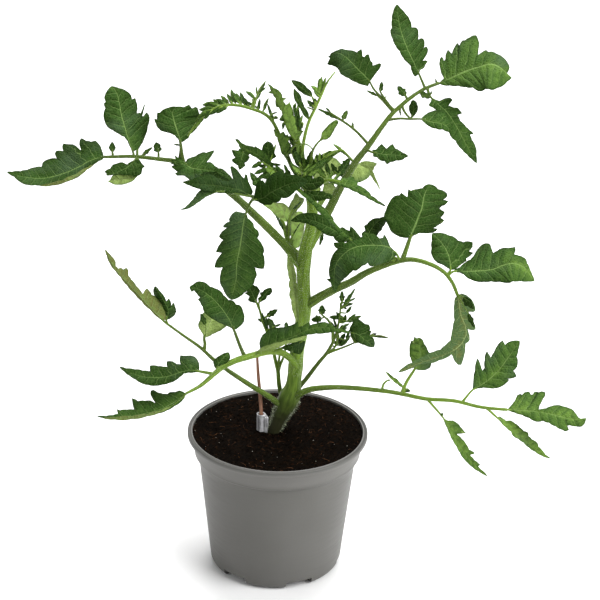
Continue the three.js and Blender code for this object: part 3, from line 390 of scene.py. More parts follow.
def edge_at(stops, places, rib, along):
    """The blade's edge at each place along the rib, with its teeth bulging between the corners."""
    k = np.clip(np.searchsorted(stops, along, side="right") - 1, 0, len(stops) - 2)
    part = ((along - stops[k]) / (stops[k + 1] - stops[k]))[:, None]
    a, b = places[k], places[k + 1]
    edge = a + part * (b - a)
    chord = b - a
    outward = np.stack([-chord[:, 1], chord[:, 0]], axis=1)
    outward *= np.sign(np.sum(outward * (edge - rib)[:, :2], axis=1))[:, None]
    edge[:, :2] += outward * EDGE_BULGE * 4 * part * (1 - part)
    return edge


def blade(shell, rib, sides, lean, under=False, tone=0.5, puffed=1.0):
    """A thin leaflet blade: its rib in picture places, the outline of its two sides from base to
    tip, and the depth that each side gains over its width. tone may be a list from base to tip, and
    puffed says how far its face swells between the veins."""
    fine = curve(rib, 60)
    span = run_of(spots(fine))[-1] / MM
    row_count, columns = (52, 6) if span > LARGE_LEAFLET else (30, 4) if span > MIDDLE_LEAFLET else (12, 2)
    veins = max(3, round(span / VEIN_STEP))
    corners = [outline_of(fine, outline, tilt) for outline, tilt in zip(sides, lean)]
    stops = sorted({round(s, 4) for side_stops, _ in corners for s in side_stops})
    rows = []
    for a, b in zip(stops, stops[1:]):
        pieces = max(1, round((b - a) * row_count))
        rows += [a + (b - a) * k / pieces for k in range(pieces)]
    rows = np.array(rows[1:])
    even = np.linspace(0, 1, len(fine))
    middle = np.stack([np.interp(rows, even, fine[:, axis]) for axis in range(3)], axis=1)
    edges = [edge_at(side_stops, places, middle, rows) for side_stops, places in corners]

    s = np.linspace(0, 1, columns + 1)
    halves = []
    for edge in edges:
        gap = np.linalg.norm((edge - middle)[:, :2], axis=1)[:, None]
        half = middle[:, None] + (edge - middle)[:, None] * s[None, :, None]
        half[..., 2] += BLADE_DOME * gap * MM_PER_PIXEL * (s**2 - s)[None, :]
        halves.append(half)
    grid = np.concatenate([halves[0][:, :0:-1], halves[1]], axis=1)
    across = np.concatenate([-s[:0:-1], s])
    points = spots(grid)
    base, tip = spots(fine[0]), spots(fine[-1])

    row = points[:1].shape
    all_rows = np.vstack([np.broadcast_to(base, row), points, np.broadcast_to(tip, row)])
    along_step = all_rows[2:] - all_rows[:-2]
    across_step = np.gradient(points, axis=1)
    normal = np.cross(across_step, along_step)
    size = np.linalg.norm(normal, axis=2, keepdims=True)
    normal = normal / np.maximum(size, 1e-12)
    facing = np.sum(normal * (EYE * MM - points), axis=2) * size[..., 0]
    turn_over = (facing.sum() > 0) == under
    if turn_over:
        normal = -normal

    width = max(np.linalg.norm(points[:, 0] - points[:, -1], axis=1)) / MM
    phase = rng.uniform(0, math.tau)
    vein_place = rows[:, None] * veins + 0.5 * (across[None, :] > 0)
    envelope = np.sqrt(np.clip(4 * np.abs(across) * (1 - np.abs(across)), 0, 1))[None, :]
    puff = puffed * min(0.6, 0.03 * width)
    relief = puff * envelope * (np.abs(np.sin(math.pi * vein_place)) - 0.5)
    relief += -MIDRIB_SINK * min(1, width / 20) * np.exp(-(across[None, :] / 0.12) ** 2)
    wave = min(0.9, 0.03 * width)
    relief += wave * across[None, :] ** 2 * np.sin(rows[:, None] * 9 + phase + 2.2 * (across[None, :] > 0))
    relief += wave * 0.4 * across[None, :] ** 2 * np.sin(rows[:, None] * 23 + phase * 2)
    taper = np.sin(math.pi * np.clip(rows, 0.02, 0.98))[:, None] ** 0.5
    relief = relief * taper
    sheet = points + normal * relief[..., None] * MM
    ridge = 1 + MIDRIB_RIDGE * np.exp(-(across[None, :] / 0.1) ** 2) * (1 - rows[:, None])
    half_thick = BLADE_THICKNESS / 2 * MM
    top = sheet[:, 1:-1] + normal[:, 1:-1] * half_thick
    bottom = sheet[:, 1:-1] - normal[:, 1:-1] * (half_thick * ridge)[:, 1:-1, None]

    count, inner = len(rows), 2 * columns - 1
    left = np.arange(count)
    right = left + count
    top_inner = 2 * count + np.arange(count * inner).reshape(count, inner)
    bottom_inner = top_inner + count * inner
    base_at, tip_at = 2 * count * (inner + 1), 2 * count * (inner + 1) + 1
    faces, finishes = [], []
    for inside, finish in ((top_inner, UPPER), (bottom_inner, UNDER)):
        ids = np.concatenate([left[:, None], inside, right[:, None]], axis=1)
        quads = np.stack([ids[:-1, :-1], ids[:-1, 1:], ids[1:, 1:], ids[1:, :-1]], axis=2).reshape(-1, 4)
        some = [tuple(q) for q in quads.tolist()]
        some += [(base_at, int(b), int(a)) for a, b in zip(ids[0], ids[0][1:])]
        some += [(int(a), int(b), tip_at) for a, b in zip(ids[-1], ids[-1][1:])]
        if turn_over != (finish == UNDER):
            some = [face[::-1] for face in some]
        faces += some
        finishes += [finish] * len(some)
    plan = np.stack(np.broadcast_arrays(rows[:, None] * veins, across[None, :], span), axis=2)
    plans = [plan[:, 0], plan[:, -1], plan[:, 1:-1].reshape(-1, 3), plan[:, 1:-1].reshape(-1, 3)]
    plans += [[[0, 0, span], [veins, 0, span]]]
    everything = [sheet[:, 0], sheet[:, -1], top.reshape(-1, 3), bottom.reshape(-1, 3), [base, tip]]
    rims = [*range(2 * count), base_at, tip_at]
    tone = np.atleast_1d(tone)
    tones = np.interp(rows * (len(tone) - 1), range(len(tone)), tone)
    tones = np.concatenate([tones, tones, np.repeat(tones, inner), np.repeat(tones, inner), tone[[0, -1]]])
    shell.add(np.vstack(everything), faces, finishes, np.vstack(plans), tones, rims)


def leaflet(shell, route, part, under, tone, skin):
    """A leaflet on its own stalk. start is where the stalk leaves the route, and via is its way.
    All depths are counted from the route's depth there."""
    root = nearest_on(route, *part["start"])
    rib = [[u, v, depth + root[2]] for u, v, depth in part["rib"]]
    sides = part.get("sides") or toothed_sides(rib[0], rib[-1], part["wide"], part.get("teeth", 3))
    step = math.dist(rib[0][:2], rib[1][:2])
    neck = np.array(rib[0]) + (np.array(rib[1]) - np.array(rib[0])) * min(0.9, STALK_SINK / step)
    width = part.get("stalk", LEAFLET_STALK)
    way = [root, *([u, v, depth + root[2]] for u, v, depth in part.get("via", [])), rib[0], neck]
    path = spots(way)
    steps = max(4, round(run_of(path)[-1] / MM / STALK_STEP))
    radii = spread([width * 0.62, width * 0.5, width * 0.45, width * 0.34], steps) * MM
    tube(shell, curve(path, steps), radii, 8, part.get("skin", skin))
    blade(
        shell, rib, sides, part.get("lean", LEAN), part.get("under", under), part.get("tone", tone),
        part.get("puffed", 1.0),
    )


def frond(shell, leaf, under=False, tone=0.5, skin=0.5):
    """A frond: its main stalk, any side stalks, and the leaflets and slips on them. A slip is a narrow
    young leaflet: its width in pixels, then the places of its rib. skin is the tone of the stalks, which
    may be a list along the main one."""
    under, tone, skin = leaf.get("under", under), leaf.get("tone", tone), leaf.get("skin", skin)
    path = spots(leaf["route"])
    steps = max(6, round(run_of(path)[-1] / MM / STALK_STEP))
    radii = spread(leaf["width"], steps) / 2 * MM
    tube(shell, curve(path, steps), radii, 14 if leaf["width"][0] > SLIM_STALK else 8, skin, stalk_ridges)
    skin = np.atleast_1d(skin)[-1]
    for part in leaf.get("leaflets", []):
        leaflet(shell, leaf["route"], part, under, tone + rng.uniform(-0.12, 0.12), skin)
    for wide, *rib in leaf.get("slips", []):
        slip = dict(start=rib[0][:2], rib=rib, wide=wide, stalk=SLIP_STALK, teeth=2)
        leaflet(shell, leaf["route"], slip, under, tone + rng.uniform(-0.45, 0.15), skin)
    for branch in leaf.get("branches", []):
        frond(shell, branch, under, tone, skin)


def stalk_ridges(angle, run):
    """A stalk's shallow groove and its slight unevenness along the way."""
    uneven = 0.03 * np.sin(run * 900) + 0.02 * np.sin(3 * angle + run * 300)
    return 1 + GROOVE_DEPTH * np.cos(2 * angle) + uneven


# The plant's places, read from the picture: [u, v] in pixels, and the depth in millimetres behind the
# pot's middle, or for a leaflet behind the place where its stalk leaves the route. A leaflet starts
# there, via is the stalk's way, rib is its midrib, and sides are its outlines from base to tip, or it
# is wide pixels across with a few teeth. lean is the depth that each side gains over its width, and
# tone is its green on the scale of TONE_PLACES.
MAIN_STEM = dict(width=[8.5, 10.5, 11.4, 9.6, 9.8, 10.2, 10, 9, 8.2, 7.4, 6.4, 5], skin=[-0.6, -0.4, -0.1,
    -0.05, 0.05, 0.3, 0.45, 0.5, 0.55, 0.55, 0.5, 0.5, 0.5, 0.45, 0.4, 0.3],
    route=[[272, 440, 0], [274.5, 430, 0], [280.5, 415.5, 3], [286.5, 403, 4], [292, 390, 3], [295, 370, 2],
    [297, 350, 1], [300, 335, 0], [303, 315, 0], [303.5, 290, 0], [303.5, 265, 0], [307, 243, 0],
    [311, 225, 0], [312, 205, 1], [309, 188, 2], [304, 174, 2]])

UPPER_LEFT_LEAF = dict(name="leaf_upper_left", width=[6.6, 6, 4.8, 3.2, 2.2],
    skin=[-0.05, -0.25, -0.2, -0.25],
    route=[[302, 266, 0], [281, 241, 6], [262, 222, 12], [232, 194, 22], [205, 175, 30], [183, 163, 35],
    [158, 159, 39], [133, 156.5, 41], [104, 157, 42]],
    leaflets=[
    dict(start=[112, 157], lean=[1.4, -1.9], tone=0.12,
        rib=[[104, 157, 0], [92, 160, -2], [80, 166.5, -3], [65, 173, -5], [45, 178, -7], [25, 177, -10],
        [6.5, 171.7, -12]],
        sides=[[[103, 153], [100.5, 146], [98, 143], [95.5, 140.7], [91, 142], [86, 141], [82, 138.5],
        [80, 140.5], [79.7, 145], [81.5, 150.5], [79, 150], [76, 146.5], [73, 144.8], [67, 144.6],
        [63.5, 143.8], [62.5, 146.5], [63.5, 151.5], [60, 151], [56.5, 151.4], [55, 154], [57, 158.7],
        [50, 158], [45, 159], [42.5, 161], [41.5, 166], [35, 167], [27, 169.8], [20, 172], [12, 172]],
        [[103, 159.5], [97, 162], [90, 166], [84, 170.5], [80, 174.5], [75, 178], [69, 180.5], [61, 182.5],
        [57, 184.2], [52, 184], [45, 186.7], [35, 186.5], [28, 185.5], [20, 182], [14, 176.5]]]),
    dict(start=[104, 157], lean=[0, 0], under=True, tone=0.1, stalk=0.6,
        rib=[[95, 163.5, -6], [82, 172, -14], [68, 180, -20], [55, 184, -22], [40, 186, -23]],
        sides=[[[88, 167], [76, 174.3], [62, 180.5], [50, 183.5]],
        [[87, 169.8], [77, 177], [66, 182], [52, 185.6]]]),
    dict(start=[134, 157], lean=[-0.5, 0.7], tone=0.25,
        rib=[[133, 152, 1], [128, 139, 5], [125, 127, 9], [121.5, 115, 13], [119.5, 103, 17], [117, 93, 20],
        [111.5, 86, 24]],
        sides=[[[130.5, 148], [127.5, 141], [124.5, 137], [119, 134], [113, 130], [107, 126.3],
        [104.5, 121], [103.5, 114], [105.3, 108.5], [103.7, 103.5], [106, 101], [104, 97.5], [107, 90.5]],
        [[139, 148.5], [143, 142], [146, 134], [147.7, 126], [149, 118], [147, 113], [145.3, 117],
        [143.5, 121.7], [142.6, 116.5], [140, 112], [137.5, 112.5], [138, 107], [136.7, 101], [135.5, 97],
        [132.5, 98.7], [131, 95], [126, 91.5], [119, 88.5]]]),
    dict(start=[137, 157], rib=[[139, 122, 20], [141, 113, 22], [145, 103.5, 25]], wide=2.5, tone=0.2),
    dict(start=[138, 157], lean=[0.9, -1], tone=0.1,
        rib=[[135, 160, -3], [129, 166, -8], [118, 172, -12], [106, 175, -15]],
        sides=[[[127, 164.5], [122.5, 162.3], [118, 162.3], [112.5, 165], [110, 169], [104.5, 171.5],
        [106.5, 174]],
        [[139.5, 159.5], [142, 163.5], [145, 166.5], [142.5, 168.5], [141.5, 173.8], [138, 176],
        [130, 174.7], [120, 174.5], [112, 175], [107.5, 175.5]]]),
    dict(start=[138, 157], lean=[0.3, -1.6], under=True, tone=0.6,
        rib=[[137, 176, -13], [124, 179, -14], [110, 180, -15]],
        sides=[[[132, 175], [122, 174.5], [114, 174]],
        [[134, 180], [129, 182.7], [124, 184.7], [115, 184.5], [110, 182.5], [107.5, 181.5]]]),
    dict(start=[113, 157], rib=[[112.5, 153, 1], [112, 147, 3], [112, 141.5, 5]], wide=7.5, teeth=1),
    dict(start=[139, 157.5], rib=[[142, 155.5, 1], [147, 151.5, 2], [152.5, 147, 4]], wide=5, tone=0.6),
    dict(start=[158.5, 159], rib=[[158.5, 152.5, 2], [157.5, 148, 4], [156, 142, 6]], wide=10, teeth=2),
    dict(start=[183, 164], via=[[181.5, 152, 2]], lean=[-0.4, 0.6], tone=0.14, stalk=2.6,
        rib=[[180.5, 143, 5], [178.5, 135, 7], [176, 127, 10], [173.5, 119, 13], [172.5, 112, 16],
        [176, 106.5, 19]],
        sides=[[[178, 139], [175, 135.5], [171, 133], [165, 131.3], [161, 130.7], [157.5, 127.5],
        [155.8, 123.5], [154.2, 118.5], [156.8, 119], [157.2, 112], [160, 112], [163.5, 109.3],
        [168, 107.6]],
        [[184, 141], [188.5, 138], [189.7, 134.5], [193, 132], [197, 128], [199, 123], [199, 116.5],
        [197.3, 110.5], [196.5, 107.5], [194, 110.5], [191.5, 108.5], [189, 104.7], [186, 107.5],
        [183.5, 107]]]),
    dict(start=[181, 150], rib=[[180, 145.5, 5], [177, 144, 5], [173, 144, 6]], wide=2),
    dict(start=[184, 164], lean=[1.2, -0.9], tone=0.3,
        rib=[[184, 163, -3], [192, 168, -9], [207, 170, -15], [221, 173.5, -20], [233, 179.5, -26]],
        sides=[[[187, 162], [187.5, 158.7], [192, 157], [196, 156], [200, 153], [203, 151.3], [206, 151.7],
        [209.5, 150.3], [214.3, 149.5], [213, 154], [208.5, 158.5], [206.5, 162.3], [211.5, 162.8],
        [215, 166.5], [218.5, 169.3], [222.5, 169.3], [227.5, 172.5]],
        [[181.5, 157.5], [178.5, 159], [174.3, 154.5], [176, 160.3], [171, 159.3], [172.7, 162],
        [170.3, 163.7], [174, 165], [170.8, 166.7], [175, 170], [177.3, 172], [174.8, 173.7], [177, 175.8],
        [184, 175.8], [190, 180.3], [200, 179], [208, 174.5], [214, 174.3], [220.5, 178], [227, 180.5]]]),
    dict(start=[188, 165], rib=[[200, 175, -16], [216, 178, -22], [232, 183, -28]], wide=14, tone=0.05),
])

FRONT_LEAF = dict(name="leaf_front", width=[3.8, 3, 2.6], skin=[-0.2],
    route=[[309, 190, 0], [292, 180, -14], [272, 186, -31], [253, 198, -46]],
    leaflets=[
    dict(start=[255, 197], lean=[0.7, -0.8], tone=-0.26,
        rib=[[251, 196, -3], [240, 190.5, -8], [225, 187, -14], [205, 184.5, -20], [182.3, 182, -28]],
        sides=[[[253, 192], [250.5, 186], [248, 181], [247, 175], [245, 174.3], [244, 178.3], [241.5, 176],
        [238, 171], [235, 168], [232.3, 166.2], [230.3, 166.5], [231.3, 172], [233, 178.8], [228, 181.3],
        [222.5, 180], [217, 177.3], [212, 174.8], [206, 174.5], [200, 177], [192, 179.7], [186, 180.8]],
        [[247, 195], [241, 193.5], [235, 193], [230, 193.7], [224, 193], [216, 192.7], [208, 191.3],
        [203, 190.5], [199.5, 189], [194.5, 187.5], [190, 185.6]]]),
    dict(start=[255, 197], lean=[0.7, -0.9], tone=0.28,
        rib=[[217, 191.5, -20], [205, 196, -24], [194, 203, -27], [180, 209.8, -30]],
        sides=[[[210, 190.3], [204, 190], [200.5, 190], [197, 193], [195.3, 196], [193, 199.3],
        [189.5, 203.3], [185, 207.8]],
        [[214, 193.3], [209.5, 195.3], [205.5, 197], [202, 200], [197, 203.3], [192, 206.7], [187, 209]]]),
    dict(start=[255, 197], lean=[0.5, -0.6], tone=-0.4,
        rib=[[253, 200, -6], [262, 198.5, -7], [271, 192.5, -8], [280, 188, -7], [291, 183.5, -5],
        [308, 181, 0]],
        sides=[[[254, 196.5], [255, 190], [256.5, 184], [259, 180.7], [263, 180], [265, 183.5],
        [268, 177.3], [272, 174], [277, 172], [281.3, 171], [283, 174.5], [289, 175.2], [296, 175],
        [301, 176.5]],
        [[258, 201.7], [264, 205], [271, 204.8], [273.5, 202.5], [279, 202], [281.7, 198.3], [287.5, 197.8],
        [292, 194.5], [295.7, 191], [300, 188]]]),
    dict(start=[255, 198], via=[[250, 203, -3]], lean=[0.3, -0.25], tone=0.42, puffed=0.4,
        rib=[[246, 213, -5], [243.5, 224, -8], [241.5, 238, -10], [239, 252, -10], [236.5, 266, -9],
        [236, 280, -7], [231, 300, -3]],
        sides=[[[242, 212.7], [236, 211.3], [232, 214], [229, 219.5], [229.7, 221.3], [226, 223],
        [223, 226], [224.3, 227.6], [227.2, 227.7], [222.3, 231.3], [219, 236.7], [222.7, 240],
        [219, 244.3], [216, 249.3], [215, 253], [221, 253.7], [217.7, 257.5], [215, 264.5], [214.5, 267.3],
        [222.7, 267.3], [220.7, 273], [220.5, 280], [222.7, 288], [226, 295.7]],
        [[248, 218], [251, 220], [253.3, 223], [254.3, 226.7], [257.8, 230], [259.3, 234.3], [257.7, 238],
        [261, 242], [263, 246], [264.3, 250.7], [263.2, 254], [264.7, 260], [264, 268], [255.3, 266],
        [255.7, 270], [257, 275], [255, 279.5], [253.3, 285.5], [249, 289.7], [244.3, 293.5],
        [239, 297.7]]]),
    dict(start=[300, 185], lean=[0.8, -0.6], tone=0.05,
        rib=[[301, 184, -9], [312, 183.5, -14], [324.5, 181, -18]],
        sides=[[[303, 177], [308, 175.3], [312.6, 175.7], [313, 178.3], [316.5, 178.5], [320, 176.3],
        [323.3, 178.7]],
        [[304, 188.3], [309, 190.3], [314, 189.7], [318.5, 187.5], [322.3, 185]]]),
    dict(start=[302, 186], lean=[0.8, -0.6], tone=0.05,
        rib=[[303, 189, -12], [313, 195, -16], [322, 196, -18], [332.7, 197, -20]],
        sides=[[[309, 191], [315, 191.3], [321, 191], [326.5, 193], [330.5, 193.7]],
        [[306, 195], [311, 199.5], [317, 201], [322, 200.3], [327, 199], [331, 199]]]),
    dict(start=[262, 193], rib=[[262, 190, 6], [257, 183, 10], [250, 172, 14]], wide=10, tone=0.15),
    dict(start=[285, 181], rib=[[285, 178, 6], [278, 174, 10], [262, 172, 16]], wide=11, tone=0.2),
])

UPPER_RIGHT_LEAF = dict(name="leaf_upper_right", width=[6.8, 6.2, 4.6, 3.2, 2.2],
    skin=[0.22, -0.4, -0.3, -0.15, -0.25],
    route=[[309, 247, 0], [318, 231, 4], [327, 214, 9], [338, 192, 16], [355, 163, 25], [369, 145, 31],
    [381, 128, 36], [392, 114, 40], [409, 99, 44], [424, 89, 47], [439, 83, 49]],
    leaflets=[
    dict(start=[434, 85], lean=[1.1, -1], tone=0.6,
        rib=[[439, 83.5, 0], [447, 79.5, -1], [456, 75.5, -2], [466, 71, -3], [479, 66.5, -4],
        [491, 63.5, -5], [500, 67, -7], [512, 78, -9]],
        sides=[[[444.5, 78.5], [441.5, 72], [439.7, 64], [440.3, 59], [442, 57], [444, 61.5], [445.7, 59.5],
        [445.8, 55], [448, 50], [450, 52], [452, 53.8], [453.5, 49.5], [455.5, 46], [457.7, 43.3],
        [459.7, 46], [461, 42.7], [462.8, 40.7], [465, 40.7], [470, 37.5], [473.5, 35.2], [476, 34.8],
        [478.5, 39], [479.9, 44.5], [479.6, 50], [478, 53.5], [482, 50.7], [486, 49.3], [488, 51.3],
        [491.5, 51.2], [497, 53.7], [503, 57], [507, 62.5], [508.8, 68], [507.5, 71.7], [504.8, 74],
        [500, 74.3]],
        [[442, 85], [450, 85.7], [458, 86], [466, 87.3], [472, 87.7], [476, 90.3], [480.5, 91.3],
        [485, 89.3], [489, 89.3], [493, 90], [497.5, 88], [503, 86], [508, 81.3]]]),
    dict(start=[425, 88], lean=[-0.5, 0.6], tone=0.25,
        rib=[[419, 74, 3], [414, 63, 6], [408, 50, 10], [403, 37, 15], [399, 22, 21], [397, 4.3, 27]],
        sides=[[[415, 77], [411.5, 70.5], [410.8, 66], [407.5, 62.7], [403, 58], [399.7, 51.5], [395.5, 46],
        [392.5, 39.5], [390.3, 30], [392, 27.5], [391.7, 20], [393, 12], [394.6, 7.2]],
        [[420, 69], [424, 67.7], [425.3, 65], [427.8, 61], [425.3, 60.4], [422.3, 60.7], [424.3, 58],
        [426.8, 54], [427.8, 49.3], [426.3, 46.7], [423.5, 48.3], [424.3, 44], [423.8, 39], [421.5, 37.5],
        [418.6, 39], [419, 34], [418.2, 29], [416, 27], [412, 27], [411.5, 23], [409.3, 20], [405.5, 14.5],
        [400.5, 8]]]),
    dict(start=[393, 109], via=[[380, 96, 2], [373, 88, 3]], lean=[0.9, -0.9], tone=-0.12,
        rib=[[370, 82, 4], [365, 76, 5], [358, 69, 7], [351, 61.5, 10], [345, 56, 12], [337, 52.5, 14],
        [327.7, 56.7, 17]],
        sides=[[[371, 80.5], [374, 76.7], [378, 71.5], [381, 67], [381.8, 64], [379.5, 62.8], [376, 64],
        [373, 65.3], [372.8, 62.5], [371, 61], [369.7, 57.5], [368.3, 54.7], [366.5, 55], [364, 57.5],
        [362, 56.3], [361.8, 51.5], [361, 49.5], [359, 51], [356.5, 53], [353, 50.7], [349, 49.3],
        [345.5, 48.6], [342, 48], [338, 49.6], [333.5, 51.5], [330.8, 53.5], [330.3, 55.7]],
        [[368, 86.3], [362, 85], [356, 82.5], [349, 79], [343.5, 76], [340.5, 73], [339.3, 70.3],
        [336.5, 67], [332, 65.5], [327, 64.3], [329.5, 63.2], [334.5, 63.7], [332.3, 60.5], [330, 58]]]),
    dict(start=[380, 96], wide=5.5, teeth=2, tone=0.15,
        rib=[[380.5, 92, 2], [379.5, 88, 3], [382, 81.3, 4]]),
    dict(start=[380, 97], rib=[[378, 96, 2], [374, 93.7, 3], [366.3, 90.3, 4]], wide=3.6, tone=0.5),
    dict(start=[384, 100], rib=[[384, 98.5, 1], [385, 97, 1], [387, 95.8, 2]], wide=1.2),
    dict(start=[407.5, 99.5], rib=[[405.5, 96, 1], [402.5, 91.5, 2], [397.5, 86, 4]], wide=9.5, tone=0.25),
    dict(start=[402, 105], via=[[404, 111, -2]], tone=0.15,
        rib=[[411, 118.5, -3], [413.3, 113, -4], [414, 107, -4], [413, 99.7, -4]],
        sides=[[[411.3, 115], [409.5, 111.5], [408.6, 106.5], [410.5, 103.5], [411.3, 101]],
        [[415, 115], [418, 109.5], [418, 105.5], [416, 101.5]]]),
    dict(start=[401, 108], rib=[[400, 110, -1], [399.7, 113, -2], [400.5, 116, -2]], wide=2.4, tone=0.2),
    dict(start=[434, 85], rib=[[436.5, 84, 1], [437, 81.5, 1], [435.5, 78.3, 2]], wide=2.2, tone=0.2),
    dict(start=[386, 119], via=[[400, 118.5, -4], [410, 119, -7]], lean=[1.2, -1], tone=0.32,
        rib=[[421, 119, -8], [432, 122, -11], [443, 124, -13], [452, 131, -15]],
        sides=[[[423, 116], [427, 113], [433, 111], [440, 110.5], [446, 112], [450, 118]],
        [[424, 122.5], [430, 126.7], [436, 128.5], [442, 130], [448, 132]]]),
    dict(start=[428, 87], via=[[428, 92, -2]], lean=[0.9, -0.9], tone=0.35,
        rib=[[431.5, 98, -4], [438, 104, -6], [447, 112, -9], [457, 127, -12], [466, 144, -15],
        [477, 163.5, -19]],
        sides=[[[436, 100], [440, 101.5], [445, 98.5], [449.5, 97.7], [452.7, 100], [450.5, 102.7],
        [448.5, 105.7], [453, 107.5], [457.5, 107.8], [460, 110.7], [462.5, 113.5], [458, 115], [461, 120],
        [466.7, 126.5], [470, 130], [473.7, 133.7], [470, 134.8], [472, 140], [475, 147], [476.3, 155]],
        [[431, 102], [428.3, 105.3], [433, 107.7], [437, 110], [438, 116], [441, 122], [445, 128],
        [449, 133], [451, 138], [455, 141], [458, 145.5], [462, 149.5], [467, 154.5], [472, 159.3]]]),
    dict(start=[424, 90], rib=[[420, 94, -2], [426, 95, -2], [432, 97, -3]], wide=8, teeth=2, tone=0.9),
    dict(start=[428, 90], rib=[[430, 95, -1], [431.5, 93, 0], [432, 91, 1]], wide=3, tone=0.2),
    dict(start=[364, 148], lean=[1.1, -0.9], tone=0.2,
        rib=[[373, 152.5, -6], [383, 154, -8], [395, 155, -10], [408.5, 156, -12]],
        sides=[[[372, 149.5], [376, 149.5], [378.5, 146.5], [381.5, 144], [384, 146.5], [386.5, 149],
        [389.5, 146], [392.5, 144], [395.5, 147.7], [399.5, 150.3], [403, 153]],
        [[373, 156.5], [377, 157.5], [380.5, 160.7], [384, 161], [386.5, 164.3], [390.5, 162], [396, 161],
        [401, 160.5], [405, 158]]]),
    dict(start=[352, 161], rib=[[347, 155.5, 2], [341, 150, 3], [333, 144, 4]], wide=3.6, tone=0.6),
    dict(start=[319, 230], rib=[[323, 233, 4], [320, 238, 4], [319.5, 246, 5]], wide=4.4, tone=0.5),
], branches=[
    dict(route=[[369, 145, 31], [357, 132, 32], [347, 124, 33], [340, 119.5, 34]], width=[2.2, 1.6],
        leaflets=[
        dict(start=[340, 119.5], wide=4.6, teeth=4, tone=0.3,
            rib=[[340, 119.5, 0], [331, 113.5, 1], [317, 108.3, 3]]),
        dict(start=[332, 114], rib=[[329, 111.5, 1], [328.3, 109, 1], [325.5, 107.3, 2]], wide=2, tone=0.1),
        dict(start=[343, 121], wide=6.5, teeth=2, tone=0.85,
            rib=[[342.5, 120, 1], [344.5, 115, 2], [347.5, 110, 3]]),
        dict(start=[353, 129], rib=[[353, 127, 1], [352.5, 124.5, 1], [352.5, 122, 2]], wide=3, tone=0.6),
    ]),
])

